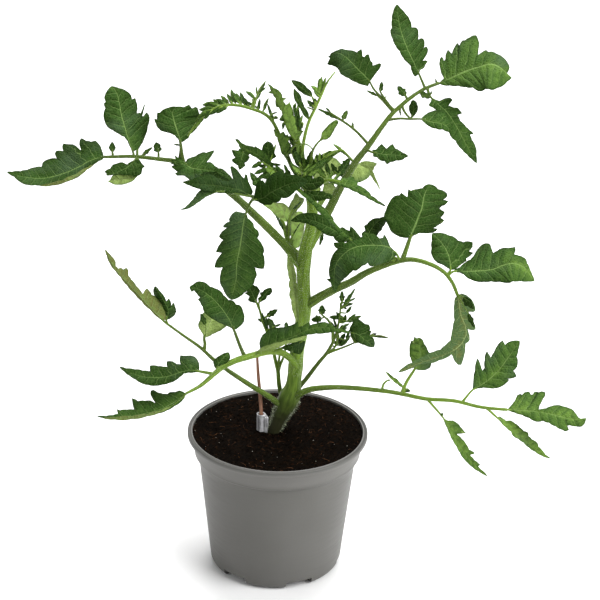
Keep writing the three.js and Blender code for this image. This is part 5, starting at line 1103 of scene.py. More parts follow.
ARCHING_YOUNG_LEAF = dict(name="young_leaf_arching", width=[3.4, 2.8, 2.2, 2, 1.5],
    skin=[-0.3, -0.2, 0.3, 0.6, 0.6],
    route=[[299, 178, 3], [292, 167, 6], [287, 155, 8], [283, 144, 9], [278, 132, 10], [271.5, 120, 11],
    [264, 113.5, 12], [252, 109, 14], [240, 105.7, 14], [227, 105, 15], [214, 109, 15], [203, 117, 16],
    [194, 127, 16], [188, 136, 16]],
    leaflets=[
    dict(start=[285, 154], lean=[0.4, -0.5], tone=0.95, stalk=0.8,
        rib=[[286, 156, -5], [282.5, 147, -6], [279, 139, -6], [274, 130.7, -6]],
        sides=[[[282, 154], [280.3, 148.3], [278.3, 143], [277.3, 137.3], [275, 135]],
        [[289.5, 154], [288.7, 149], [291.3, 146], [288.5, 141.5], [290, 137], [286.5, 136], [283.5, 131.3],
        [280, 133.7]]]),
    dict(start=[287, 156], wide=8, teeth=4, tone=0.35, stalk=0.8,
        rib=[[287, 154, -7], [293, 146, -8], [301, 143, -8]]),
], slips=[
    [6, [287, 160, 1], [285, 149, 2], [281, 133, 3]], [5, [283, 144, 3], [286, 138, 4], [288, 134, 5]],
    [3.6, [277, 131, 0], [275.5, 131, 0], [273.3, 130, 0]],
    [4, [274, 123, 1], [271, 113, 2], [267.3, 103.3, 3]],
    [3.2, [273.5, 118, 0], [275.5, 116, 0], [278.5, 118, 0]],
    [2.4, [272, 114, 0], [275, 113, 0], [277.5, 112, 0]],
    [3.4, [263, 112, 2], [264, 104.5, 3], [268.7, 97.3, 4]],
    [4.2, [258, 111, 2], [257.7, 105, 2], [260, 98.3, 3]],
    [3.6, [257, 108, 2], [253, 103.7, 3], [246, 101, 4]], [3.4, [256, 101, 4], [258, 91, 4], [266, 80, 4]],
    [4.4, [255, 98, 4], [251.5, 92.5, 4], [245.5, 91, 4]],
    [2.4, [257, 95, 4], [256.3, 90, 4], [256, 86, 4]], [2.4, [258, 94, 4], [262, 91, 4], [266.3, 87, 4]],
    [2, [254, 97, 4], [252.7, 99, 4], [252, 101, 4]], [5, [250, 107, 2], [245, 102, 4], [242.7, 97, 6]],
    [5, [246, 106, 3], [241, 99, 5], [239.7, 91.7, 7]], [4.6, [242, 105, 3], [238, 98, 5], [236, 92.7, 8]],
    [5, [240, 104, 1], [235, 98.7, 3], [233, 92, 5]], [5, [236, 104, 3], [231, 97, 5], [230.7, 88.7, 8]],
    [5, [233, 104, 1], [228, 99, 3], [226.7, 93.5, 5]],
    [5, [229, 104, 3], [225, 98.7, 5], [220.5, 95.3, 7]],
    [5.6, [227, 105, 1], [221, 100.7, 3], [216, 98.7, 5]],
    [5, [222, 105, 3], [217, 101, 5], [212.7, 99.3, 7]],
    [5.6, [220, 106, 1], [213, 103, 3], [207.5, 102, 5]],
    [4.4, [216, 107, 3], [209, 101.7, 5], [202, 104.7, 7]],
    [6, [214, 108, 1], [206.5, 106.5, 3], [198.5, 110, 5]],
    [6, [211, 110, -1], [203, 111, -1], [197.5, 117, 0]],
    [6, [207, 113, 1], [200, 115, 2], [194.5, 122, 2]], [5, [204, 116, -1], [200, 122, -2], [194, 129, -2]],
    [5, [199, 121, 1], [194, 127, 1], [187.7, 135.5, 1]],
    [5, [222, 107, -2], [216, 109.7, -3], [209, 115, -4]],
    [4.4, [228, 106, -2], [222, 107.7, -3], [216, 113.7, -4]],
    [4.4, [212, 110, -3], [208, 115.7, -4], [204, 119.7, -4]],
])

LEFT_YOUNG_LEAF = dict(name="young_leaf_left", width=[3.2, 2.8, 2.4], skin=[0.35],
    route=[[306, 196, -2], [290, 182, -6], [275, 172, -10], [268, 166, -11]],
    leaflets=[
    dict(start=[272, 170], lean=[0.3, -0.6], tone=0.5,
        rib=[[272, 169, 0], [266, 161.5, -1], [259, 155.8, -2], [251, 151.5, -3], [243, 148, -4],
        [235, 139.3, -6]],
        sides=[[[268.5, 168], [264, 164], [260, 160], [256, 157], [250, 154.5], [243, 151], [239.5, 147.5],
        [238.5, 144], [236.5, 141.5]],
        [[272.5, 164], [270, 160], [268, 156], [266, 153], [263, 151.5], [260, 149.3], [257, 147.5],
        [256, 145.8], [254.5, 147.3], [250, 146], [246, 144.8], [242, 143], [240.5, 141.5], [238.5, 139.3],
        [236.5, 138.8]]]),
    dict(start=[268, 166], via=[[256, 156, 3]], lean=[0.4, -0.4], tone=0.35,
        rib=[[244, 149, 1], [242, 157, -3], [239.3, 170, -6]],
        sides=[[[239, 148.5], [237.5, 152.5], [235.5, 151.7], [231.3, 149.3], [232.5, 153.7],
        [235.3, 157.5], [231.7, 160], [234.3, 163.3], [237.7, 165.7]],
        [[247, 151.5], [250, 153], [248.7, 156], [250, 157.3], [247.5, 161], [244.5, 163],
        [245.3, 165.7]]]),
    dict(start=[269, 167], lean=[0.5, -0.5], tone=0.3,
        rib=[[270, 163, 2], [268.5, 152, 4], [267.5, 141, 6]],
        sides=[[[263.5, 157], [261.7, 151], [263.3, 145], [265.7, 142.3]],
        [[273, 158.5], [276.3, 157], [274.7, 153.3], [274, 149], [272.3, 143.5]]]),
    dict(start=[277, 174], rib=[[277, 176, -3], [271, 172, -4], [265, 167.5, -5]], wide=8, tone=1.15),
    dict(start=[284, 178], rib=[[286, 178, -2], [281, 170, -3], [275, 165, -4]], wide=7, tone=0.1),
    dict(start=[290, 182], rib=[[291, 180, -2], [287, 172, -3], [284, 164, -4]], wide=6, tone=0.3),
], slips=[
    [3, [272, 156, 2], [273.5, 149.5, 3], [276, 143.7, 4]],
    [6, [262, 162, -2], [256, 165, -3], [251.3, 168, -5]],
    [6, [268, 168, -2], [262, 169.3, -3], [254, 174, -5]],
    [6, [272, 171, -3], [265, 176, -5], [256.5, 179.5, -6]],
    [5, [275, 173, -3], [268, 181, -5], [264.5, 184, -6]],
    [6, [280, 176, -2], [271, 174.5, -4], [262, 178, -5]],
    [5, [266, 166, 1], [263, 167, 1], [258.5, 166, 2]], [5, [276, 174, 2], [277, 169, 3], [272, 165.7, 4]],
    [4, [268, 164, 3], [274, 164, 3], [281.5, 165, 3]],
])

RIGHT_YOUNG_LEAF = dict(name="young_leaf_right", width=[2.8, 2.4, 1.8], skin=[0.15],
    route=[[308, 200, -2], [317, 187, -10], [327, 180, -14], [340, 182, -15]],
    leaflets=[
    dict(start=[327, 180], lean=[1, -0.6], tone=0.55,
        rib=[[326, 180, 0], [338, 182.5, -1], [350, 186, -2], [362, 192, -3], [374, 199, -4],
        [386.5, 206.7, -4]],
        sides=[[[332, 178.5], [341, 180.5], [343.5, 177.7], [347, 178.3], [350, 176.3], [354, 176.7],
        [355, 179.7], [358, 181], [357.7, 184.7], [363, 187.5], [367, 190.5], [370, 193.3], [371, 196],
        [378, 200.5]],
        [[333, 183], [341, 185.7], [349, 188.7], [357, 192.5], [365, 196.5], [373, 201], [380, 204.5]]]),
], slips=[
    [4, [334, 180, 2], [336, 176, 3], [341, 172, 4]], [4, [328, 180, 2], [329, 176, 3], [333, 171, 4]],
])

GROWING_TIP = dict(name="growing_tip", width=[5.4, 4.6, 3.4], tone=1.15, skin=[0.7],
    route=[[304, 174, 2], [303, 166, 1], [301, 158, 0], [299, 148, 1], [297, 138, 2]],
    leaflets=[
    dict(start=[302, 163], rib=[[301, 166, -6], [297, 158, -7], [294, 150, -7]], wide=9, teeth=4, tone=0),
    dict(start=[303, 168], wide=8, teeth=4, tone=0.05,
        rib=[[307, 168, -6], [310, 159, -7], [312, 150, -8]]),
    dict(start=[304, 172], wide=9, teeth=5, tone=0.5,
        rib=[[309, 172, -8], [318, 166, -10], [328, 158, -11]]),
    dict(start=[303, 170], wide=8, teeth=4, tone=0.8,
        rib=[[302, 178, -10], [308, 172, -12], [316, 164, -13]]),
    dict(start=[303, 170], wide=8, teeth=4, tone=0.6,
        rib=[[300, 177, -8], [294, 170, -10], [290, 162, -11]]),
    dict(start=[303, 171], wide=6, teeth=3, tone=1.2,
        rib=[[301, 174, -12], [297, 170, -13], [292, 166, -14]]),
    dict(start=[304, 172], wide=6, teeth=3, tone=1.25,
        rib=[[304, 176, -12], [306, 170, -13], [309, 164, -14]]),
    dict(start=[304, 173], wide=6, teeth=3, tone=1,
        rib=[[307, 177, -12], [312, 173, -13], [319, 169, -14]]),
], slips=[
    [7, [301, 168, 2], [296, 158, 3], [291, 148, 4]], [7, [300, 162, -3], [297, 152, -3], [299, 143, -3]],
    [6, [302, 168, -4], [300, 160, -5], [303, 150, -5]],
    [5, [303, 170, -5], [306, 164, -6], [305, 157.5, -6]], [4, [304, 172, 3], [295, 166, 5], [289, 163, 6]],
    [6, [300, 150, 4], [294, 143, 5], [289, 139.5, 5]], [6, [300, 158, 5], [293, 152, 6], [287.5, 145, 6]],
    [5, [300, 150, 1], [297.5, 144, 1], [291.5, 141, 2]],
    [4, [299, 148, -2], [303, 147, -3], [303.5, 151.5, -3]],
    [4, [298, 140, -2], [302, 131.7, -3], [297, 130, -3]],
    [3.4, [297, 132, -2], [300, 129.5, -3], [303.5, 131.7, -3]],
    [3.4, [297, 130, -1], [301, 128.5, -2], [303.7, 125, -2]],
    [3.6, [299, 128, -3], [300.5, 121, -3], [302.5, 114.3, -4]],
    [3, [301, 122, -3], [303.3, 123, -3], [302.7, 128.5, -3]],
    [5, [304, 172, -6], [312, 169, -8], [320, 168, -9]],
    [5, [303, 174, -6], [308, 168, -9], [313, 163, -10]], [6, [304, 173, 6], [298, 167, 8], [293, 172, 9]],
], branches=[
    dict(width=[2.6, 2.2, 2, 1.7, 0.8],
        route=[[302, 163, 0], [302.7, 148, -2], [305.5, 133, -3], [309, 121, -3], [314, 110.5, -3],
        [319, 100, -2], [323, 91, 0], [327, 82.5, 1], [331, 77, 2], [335.3, 71.7, 3]],
        leaflets=[
        dict(start=[309, 121], tone=0.5, stalk=0.6,
            rib=[[308.5, 119.5, -1], [302.5, 108, -1], [297.5, 98.5, -1], [294, 88.3, -1]],
            sides=[[[305, 117], [300, 108.5], [296.5, 103], [294, 97], [293.3, 92]],
            [[309, 114.5], [304.7, 107], [302, 101], [300.3, 95], [296.7, 91]]]),
        dict(start=[315, 107], tone=0.4, stalk=1,
            rib=[[312.5, 97, -1], [306.5, 91.5, -1], [299.5, 86, -1], [291.3, 80.3, -1]],
            sides=[[[307, 96], [301.3, 92], [296, 87.7], [292.3, 83]],
            [[311.7, 91.7], [307, 87.7], [303, 83.7], [298, 81], [294, 80]]]),
        dict(start=[314, 109], wide=6.4, tone=0.1,
            rib=[[315, 108, -1], [311.5, 104.5, -1], [307, 100, -1]]),
        dict(start=[315, 108], rib=[[316, 107, -1], [314.5, 103, -1], [315, 98, -1]], wide=5.6, tone=0.3),
        dict(start=[316, 106], wide=3.6, tone=0.6,
            rib=[[316.5, 104.5, -1], [313.5, 100, -1], [311.5, 96, -1]]),
    ], slips=[
        [2, [312, 109, 1], [309.5, 108.7, 1], [306.5, 107, 2]],
        [7, [319.5, 99, 1], [320, 88, 2], [321.5, 76.3, 3]],
        [5, [320, 97, -1], [316, 93, -1], [313.7, 90, 0]],
        [4, [320, 94, 0], [316.7, 87.3, 1], [310.7, 85.3, 1]],
        [3.6, [322, 92, 1], [323.7, 84.3, 2], [325.7, 77, 3]],
        [2, [324.5, 88, 0], [327.5, 81.5, 0], [329.5, 78.7, 1]],
        [4, [319, 91, 3], [317.7, 84, 4], [319.3, 78, 5]],
    ]),
    dict(width=[3.2, 3.4, 3, 2.4],
        route=[[300, 152, 1], [296, 140, 3], [289.5, 130, 5], [285.5, 120, 6], [283, 110, 7]],
        leaflets=[
        dict(start=[285, 119], tone=[1.35, 1.2, 0.8],
            rib=[[284.5, 114, 0], [281, 104, 1], [278, 96, 2], [273.5, 89.5, 3], [267.3, 83.5, 4]],
            sides=[[[281, 110], [279.3, 106], [276.7, 107.7], [275, 103], [275.3, 98.5], [272.7, 94],
            [268, 92], [271.3, 90.7], [269.7, 87.3]],
            [[284.5, 106], [283.3, 100.3], [286.5, 98.3], [282.5, 97.7], [282.3, 94.5], [280, 91.3],
            [277, 89.3], [273.7, 88]]]),
        dict(start=[296, 142], lean=[0.5, -0.5], tone=1.4, stalk=0.6,
            rib=[[296, 140.5, -4], [292.5, 130, -4], [289, 118, -3], [285.5, 105, -2]],
            sides=[[[293.5, 138], [289, 133.5], [288.7, 129.5], [285.5, 126.5], [285.7, 121.5],
            [283, 117.5], [283, 110]],
            [[297.3, 137], [297.3, 129], [295.3, 124], [295.5, 118.5], [292.5, 114], [292, 107.5],
            [288.3, 103.3]]]),
        dict(start=[297, 138], wide=5, tone=0.3, stalk=0.5,
            rib=[[298, 133, -4], [296.3, 118, -4], [294.5, 104, -3]]),
        dict(start=[299, 138], wide=3.4, tone=0.3, stalk=0.5,
            rib=[[301, 134, -4], [301, 124, -4], [298.3, 108, -3]]),
    ], slips=[
        [3.4, [283.5, 112, 1], [280, 106, 2], [275, 100.7, 3]],
        [2.4, [286, 121, 0], [284, 113, 0], [279, 120, 0]],
        [2.4, [285, 122, 0], [282, 124, 0], [282.5, 130, 0]],
        [4.6, [292, 135, -2], [287.5, 121, -2], [284.3, 102, -1]],
        [5, [294, 137, -1], [291, 122, -1], [289, 101, 0]],
        [4.6, [295, 138, -3], [293, 124, -3], [291.3, 106, -2]],
        [5, [296, 139, -2], [295, 121, -3], [298, 103.7, -3]],
        [3.4, [294, 112, -1], [293, 106, -1], [295.7, 102.7, -1]],
        [3, [294.5, 121, -3], [297, 118, -3], [296, 114.5, -3]],
        [4, [296, 140, 1], [290, 136, 2], [286, 137.5, 3]],
    ]),
    dict(width=[1.4, 1.1, 0.9], skin=[0],
        route=[[297, 160, -2], [291, 151, -5], [295, 146, -6], [303, 143.7, -7], [309, 145.5, -7],
        [312.5, 149.3, -8]]),
    dict(width=[3.2, 2.6, 1.5, 1.2], skin=[-0.1],
        route=[[307, 172, 0], [310.5, 163, -5], [311.5, 155, -7], [313.5, 149, -8], [317, 143.7, -9],
        [321, 139.7, -9]],
        leaflets=[
        dict(start=[321, 140], lean=[0.9, -0.6], tone=1.05,
            rib=[[321, 139.7, 0], [326, 133.5, 1], [331, 127, 2], [337, 119.7, 3]],
            sides=[[[321, 136.5], [322, 132], [326.3, 127.3], [331, 123], [335, 120]],
            [[325.5, 140], [329.5, 137.7], [332.3, 133.7], [335, 128.3], [338.7, 121.7]]]),
    ]),
    dict(width=[2.8, 2.2, 1.6, 1, 0.8], skin=[0.35],
        route=[[305, 173, 1], [312, 171, -3], [318, 165, -6], [325, 157.5, -7], [333, 152.3, -8],
        [342, 150, -8], [347.5, 154.5, -8], [353, 160.5, -8]],
        leaflets=[
        dict(start=[307, 173], lean=[0.3, -0.6], tone=0.7, stalk=0.8,
            rib=[[311, 171, -3], [319, 165, -4], [327, 158, -5], [335, 152.7, -5], [343, 150, -5]],
            sides=[[[306.3, 166], [305, 158.7], [309, 163], [311, 151.7], [314, 159.5], [316.7, 153.3],
            [319.5, 157.3], [323, 153.3], [325.7, 155], [329, 150.7], [333, 151], [338, 149.7]],
            [[314, 172.5], [317, 169.5], [322, 168], [325, 163.7], [329.5, 161.5], [333, 156.7],
            [338, 153.3]]]),
    ], slips=[
        [3.6, [342, 150, 0], [338, 147.3, 1], [333, 144, 2]],
        [3.6, [312, 170, 0], [308.5, 163, 1], [304.7, 158, 2]],
        [3.6, [314, 168, 0], [311, 162, 1], [310.7, 158, 2]],
        [4, [317, 165, 0], [315.5, 160, 1], [315, 156, 2]],
        [4.4, [320, 162, 0], [318.7, 157, 1], [319.7, 152.3, 2]],
        [4, [324, 158, 0], [323, 154.7, 1], [328.7, 151, 2]],
        [4, [328, 155, 0], [332, 151.5, 0], [338, 150, 0]],
        [3, [345, 153, 0], [345, 152, 1], [342, 149.3, 1]],
        [5, [315, 169, -2], [321, 165, -3], [327, 158, -4]],
    ]),
])

LEAVES = [
    UPPER_LEFT_LEAF, FRONT_LEAF, UPPER_RIGHT_LEAF, RIGHT_MIDDLE_LEAF, RIGHT_LOW_LEAF, LEFT_LOW_LONG_LEAF,
    LEFT_LOW_FRONT_LEAF, BEHIND_LEAF, PALE_LEAF, FOLDED_LEAF, LEFT_SIDE_SHOOT, RIGHT_SIDE_SHOOT,
    ARCHING_YOUNG_LEAF, LEFT_YOUNG_LEAF, RIGHT_YOUNG_LEAF, GROWING_TIP,
]

# The stick leans away behind the lowest leaf's stalk; the clip's sleeve stands round its foot
STICK = dict(
    route=[[261.2, 431, 1.7], [261, 411, 1.7], [260, 394, 5.2], [258.2, 375, 8], [257.2, 357, 10]],
    width=[3, 2.8, 2.4, 2],
)
CLIP_FOOT = [260.9, 428.2, 1.7]
CLIP_HEIGHT = 11.8
CLIP_RADIUS = 3.3
CLIP_BORE = 2.15
CLIP_TAB = 5.9
CLIP_TAB_THICKNESS = 2.8
CLIP_FALL_START = 2.8
CLIP_FALL = 0.5
CLIP_SINK = 3
CLIP_SIDES = 28
CLIP_LEVELS = 12
CLIP_TURN = math.radians(-30)


# Finishes

def grow(tree, kind, inputs=None, **settings):
    """A node in a tree, with its settings, and its inputs linked or set."""
    node = tree.nodes.new(kind)
    for key, value in settings.items():
        setattr(node, key, value)
    for key, value in (inputs or {}).items():
        if isinstance(value, bpy.types.NodeSocket):
            tree.links.new(value, node.inputs[key])
        else:
            node.inputs[key].default_value = value
    return node


class Finish:
    """A procedural material as it is put together."""

    def __init__(self, name, **constants):
        self.material = bpy.data.materials.new(name)
        self.material.use_nodes = True
        self.tree = self.material.node_tree
        self.shader = self.tree.nodes["Principled BSDF"]
        self.place = grow(self.tree, "ShaderNodeTexCoord").outputs["Object"]
        for label, value in constants.items():
            self.shader.inputs[label.replace("_", " ")].default_value = value

    def wear(self, label, value):
        self.tree.links.new(value, self.shader.inputs[label])

    def attribute(self, name, output="Vector"):
        return grow(self.tree, "ShaderNodeAttribute", attribute_name=name).outputs[output]

    def parts(self, vector):
        return grow(self.tree, "ShaderNodeSeparateXYZ", {0: vector}).outputs

    def calc(self, operation, a, b=0.5, c=0.5):
        return grow(self.tree, "ShaderNodeMath", {0: a, 1: b, 2: c}, operation=operation).outputs[0]

    def plus(self, a, b):
        return self.calc("ADD", a, b)

    def minus(self, a, b):
        return self.calc("SUBTRACT", a, b)

    def times(self, a, b):
        return self.calc("MULTIPLY", a, b)

    def times_plus(self, a, b, c):
        return self.calc("MULTIPLY_ADD", a, b, c)

    def stretch(self, vector, scale):
        return grow(self.tree, "ShaderNodeMapping", {"Vector": vector, "Scale": scale}).outputs[0]

    def clouds(self, vector, scale, detail=3, rough=0.5):
        inputs = {"Vector": vector, "Scale": scale, "Detail": detail, "Roughness": rough}
        return grow(self.tree, "ShaderNodeTexNoise", inputs).outputs[0]

    def cells(self, vector, scale, feature="DISTANCE_TO_EDGE"):
        inputs = {"Vector": vector, "Scale": scale}
        return grow(self.tree, "ShaderNodeTexVoronoi", inputs, feature=feature).outputs[0]

    def fade(self, value, low, high, to_low=0.0, to_high=1.0):
        inputs = {"Value": value, "From Min": low, "From Max": high, "To Min": to_low, "To Max": to_high}
        return grow(self.tree, "ShaderNodeMapRange", inputs, interpolation_type="SMOOTHSTEP").outputs[0]

    def blend(self, factor, a, b):
        inputs = {0: factor, 6: solid(a), 7: solid(b)}
        return grow(self.tree, "ShaderNodeMix", inputs, data_type="RGBA").outputs[2]

    def bump(self, height, distance, strength=1.0):
        inputs = {"Height": height, "Distance": distance, "Strength": strength}
        return grow(self.tree, "ShaderNodeBump", inputs).outputs[0]


def solid(shade):
    """A colour's three parts made opaque. A socket stays as it is."""
    return (*shade, 1.0) if isinstance(shade, tuple) else shade


# The tone of a leaf's green where its table gives none, on the scale of TONE_PLACES
YOUNG_TONE = 0.85
SHOOT_TONE = 0.62
LEAF_TONE = 0.35

# How much painted shade darkens a leaf in the hollow past each side vein
HOLLOW_SHADE = 0.2

# The tones that the greens of a leaf are given for
TONE_PLACES = (-0.4, 0.0, 0.35, 0.7, 1.0, 1.4)

# How much painted light lifts a leaf beside its midrib, and how much painted shade darkens its edge
MIDRIB_PAINTED_LIGHT = 0.16
EDGE_SHADE = 0.16

# How strongly the net, the veins between and the side veins show beside the midrib
NET_SHARE = 0.18
BETWEEN_SHARE = 0.13
SIDE_SHARE = 0.5

# The greens of a leaflet's two faces at TONE_PLACES, with their veins and their painted sheen
UPPER_GREENS = (
    (0.008, 0.025, 0.001), (0.015, 0.04, 0.004), (0.026, 0.066, 0.01), (0.055, 0.112, 0.018),
    (0.115, 0.204, 0.034), (0.21, 0.35, 0.065),
)
UPPER_VEIN = (0.19, 0.3, 0.085)
UPPER_PAINTED_SHEEN = (0.072, 0.11, 0.072)
# The palest under greens are partly the underside's own paleness and partly painted light, standing in for
# light shining through the leaf and lifting leaves that lie in shade
UNDER_GREENS = (
    (0.06, 0.112, 0.037), (0.115, 0.125, 0.032), (0.13, 0.19, 0.045), (0.2, 0.28, 0.075), (0.3, 0.4, 0.12),
    (0.58, 0.84, 0.23),
)
UNDER_VEIN = (0.34, 0.44, 0.17)
UNDER_PAINTED_SHEEN = (0.15, 0.2, 0.1)

# Peat: its dark crumbs, its brown ones and its rust
PEAT = ((0.0022, 0.0016, 0.0012), (0.007, 0.0047, 0.003), (0.03, 0.012, 0.005))
LOOSE_PEAT = ((0.0026, 0.0019, 0.0014), (0.0085, 0.0055, 0.0036), (0.035, 0.015, 0.006))


def leaflet_finish(name, tones, vein, vein_strength, raised, sheen_tint, plainest):
    """A leaf face: green in soft patches, with its midrib, its side veins and the net between them,
    painted shade in the hollow past each side vein and at its edge, a painted highlight beside the
    midrib, and patches of painted sheen. plan holds the place along the leaflet counted in veins, the
    place across it, and its length in millimetres. tones are its greens from the oldest leaf to the
    youngest, at TONE_PLACES. plainest is the share of its veins and painted sheen that the darkest
    leaves keep."""
    f = Finish(name, IOR=1.42, Specular_IOR_Level=0.05)
    plan = f.parts(f.attribute("plan"))
    across = f.calc("ABSOLUTE", plan[1])
    right_hand = f.calc("GREATER_THAN", plan[1], 0.0)
    wander = f.times(f.minus(f.clouds(f.place, 190, 2), 0.5), 0.5)
    vein_place = f.plus(f.times_plus(right_hand, 0.5, plan[0]), wander)

    def vein_lines(place, wide, narrow):
        off = f.calc("ABSOLUTE", f.minus(f.calc("FRACT", f.plus(place, 0.5)), 0.5))
        part = f.calc("DIVIDE", off, f.fade(across, 0.0, 1.0, wide, narrow))
        return f.times(f.minus(1.0, f.fade(part, 0.2, 1.0)), f.fade(across, 0.72, 1.0, 1.0, 0.0))

    side_veins = vein_lines(vein_place, 0.085, 0.035)
    between = vein_lines(f.times(vein_place, 3.0), 0.16, 0.1)
    midrib = f.minus(1.0, f.fade(across, 0.015, 0.055))
    main_veins = f.calc("MAXIMUM", midrib, f.times(side_veins, SIDE_SHARE))
    # Painted shade: each strip between side veins is darker just past its vein, as the shaded side of the
    # puckered face
    past_vein = f.fade(f.calc("FRACT", vein_place), 0.04, 0.6, 1.0, 0.0)
    inside = f.times(f.fade(across, 0.03, 0.2), f.fade(across, 0.7, 1.0, 1.0, 0.2))
    hollow = f.times(past_vein, inside)
    net = f.cells(f.place, 480)
    net_line = f.minus(1.0, f.fade(net, 0.0, 0.1))
    patchy = f.minus(f.clouds(f.place, 60, 3), 0.5)
    mottled = f.times(f.minus(f.clouds(f.place, 600, 3), 0.5), 0.6)
    tone = f.times_plus(hollow, -HOLLOW_SHADE, f.attribute("tone", "Fac"))
    # Painted highlight beside the midrib, and painted shade towards the edge
    tone = f.plus(tone, f.fade(across, 0.0, 0.45, MIDRIB_PAINTED_LIGHT, 0.0))
    tone = f.minus(tone, f.fade(across, 0.55, 1.0, 0.0, EDGE_SHADE))
    tone = f.plus(f.plus(tone, patchy), mottled)
    reach = TONE_PLACES[-1] - TONE_PLACES[0]
    along = f.calc("DIVIDE", f.minus(tone, TONE_PLACES[0]), reach)
    ramp = grow(f.tree, "ShaderNodeValToRGB", {0: along})
    stops = ramp.color_ramp.elements
    stops[0].color, stops[1].color = solid(tones[0]), solid(tones[-1])
    for place, green in list(zip(TONE_PLACES, tones))[1:-1]:
        stop = stops.new((place - TONE_PLACES[0]) / reach)
        stop.color = solid(green)
    plain = f.fade(f.attribute("tone", "Fac"), -0.5, 0.25, plainest, 1.0)
    # Painted sheen: soft patches tinted greyish, standing in for light reflected off the leaf's face
    painted_sheen = f.fade(f.clouds(f.place, 32, 2), 0.5, 0.72, 0.0, 0.35)
    green = f.blend(f.times(painted_sheen, plain), ramp.outputs[0], sheen_tint)
    veins = f.times(plain, vein_strength)
    # Painted shade: the edge is blended towards the darkest green, in a wider band on small leaflets
    small = f.fade(plan[2], 10.0, 30.0, 1.0, 0.0)
    edge = f.fade(across, f.times_plus(small, -0.35, 0.86), 1.0, 0.0, 0.7)
    green = f.blend(edge, green, tones[0])
    green = f.blend(f.times(net_line, f.times(veins, NET_SHARE)), green, vein)
    green = f.blend(f.times(between, f.times(veins, BETWEEN_SHARE)), green, vein)
    green = f.blend(f.times(main_veins, veins), green, vein)
    f.wear("Base Color", green)
    f.wear("Roughness", f.fade(f.clouds(f.place, 300, 3), 0.2, 0.8, 0.5, 0.68))
    grain = f.times(f.clouds(f.place, 1600, 2), 0.3)
    height = f.times_plus(f.fade(net, 0.0, 0.35), 0.5, grain)
    height = f.times_plus(between, raised * 0.3, height)
    height = f.times_plus(main_veins, raised, height)
    f.wear("Normal", f.bump(height, 0.0007, 0.9))
    return f.material


def stalk_finish():
    """Stem and stalk skin: olive green with pale streaks along it, downy, and darker low down."""
    f = Finish("green_stalk_skin", IOR=1.4, Specular_IOR_Level=0.2, Sheen_Weight=0.04)
    plan = f.attribute("plan")
    streaks = f.clouds(f.stretch(plan, (2.2, 2.2, 0.05)), 1.6, 3)
    fine = f.clouds(f.stretch(plan, (9, 9, 0.16)), 1.3, 2)
    tone = f.attribute("tone", "Fac")
    green = f.blend(f.fade(streaks, 0.36, 0.66), (0.08, 0.146, 0.012), (0.167, 0.276, 0.03))
    green = f.blend(f.fade(tone, 0.4, 1.0), green, (0.2, 0.305, 0.045))
    green = f.blend(f.fade(fine, 0.6, 0.78, 0.0, 0.3), green, (0.25, 0.36, 0.06))
    dots = f.minus(1.0, f.fade(f.cells(f.place, 700, "F1"), 0.1, 0.3))
    green = f.blend(f.times(dots, 0.18), green, (0.36, 0.45, 0.16))
    green = f.blend(f.fade(tone, -0.8, 0.4, 1.0, 0.0), green, (0.021, 0.032, 0.008))
    low_down = f.fade(f.parts(f.place)[2], 0.11, 0.142, 0.95, 0.0)
    green = f.blend(low_down, green, (0.018, 0.018, 0.006))
    f.wear("Base Color", green)
    f.wear("Roughness", f.fade(f.clouds(f.place, 500), 0.3, 0.7, 0.48, 0.66))
    height = f.times_plus(streaks, 0.8, f.times(fine, 0.5))
    height = f.times_plus(f.clouds(f.place, 1400, 2), 0.5, height)
    f.wear("Normal", f.bump(height, 0.0004, 0.7))
    return f.material


def pot_finish():
    """Grey moulded plastic with a satin skin, faint cloudiness, and fine scuffs round the wall. The band is
    painted lighter as painted light, the lip's top darker as painted shade with a thin dark painted line
    at its groove, and its inner crest carries a painted highlight.
    """
    f = Finish("grey_pot_plastic", IOR=1.46, Specular_IOR_Level=0.3)
    broad = f.clouds(f.place, 14, 2)
    speckle = f.clouds(f.place, 1300, 2)
    scuffs = f.clouds(f.stretch(f.place, (40, 40, 900)), 1.0, 4, 0.6)
    grey = f.blend(f.fade(broad, 0.35, 0.65), (0.098, 0.096, 0.088), (0.112, 0.11, 0.102))
    grey = f.blend(f.fade(speckle, 0.55, 0.8, 0.0, 0.25), grey, (0.14, 0.136, 0.127))
    grey = f.blend(f.fade(scuffs, 0.62, 0.78, 0.0, 0.16), grey, (0.165, 0.162, 0.15))
    x, y, height = f.parts(f.place)[0:3]
    radius = f.calc("SQRT", f.plus(f.times(x, x), f.times(y, y)))
    on_lip = f.fade(height, 0.1036, 0.1046)
    # Painted light: the band is painted lighter than the body
    on_band = f.fade(height, 0.0895, 0.0935, 0.0, 0.5)
    grey = f.blend(on_band, grey, (0.15, 0.147, 0.138))
    # Painted shade: the lip's top is painted darker
    grey = f.blend(f.times(on_lip, 0.55), grey, (0.07, 0.069, 0.064))
    # Painted highlight: a lighter ring along the lip's inner crest
    lip_crest_highlight = f.times(on_lip, f.fade(radius, 0.0622, 0.0629, 1.0, 0.0))
    grey = f.blend(lip_crest_highlight, grey, (0.17, 0.167, 0.158))
    # Painted shade: a thin dark line at the outer edge of the lip's groove
    line = f.fade(f.calc("ABSOLUTE", f.minus(radius, 0.0638)), 0.0002, 0.0006, 0.6, 0.0)
    grey = f.blend(f.times(on_lip, line), grey, (0.045, 0.045, 0.042))
    f.wear("Base Color", grey)
    f.wear("Roughness", f.fade(scuffs, 0.3, 0.75, 0.4, 0.54))
    f.wear("Normal", f.bump(f.times_plus(scuffs, 0.6, speckle), 0.00006, 0.6))
    return f.material


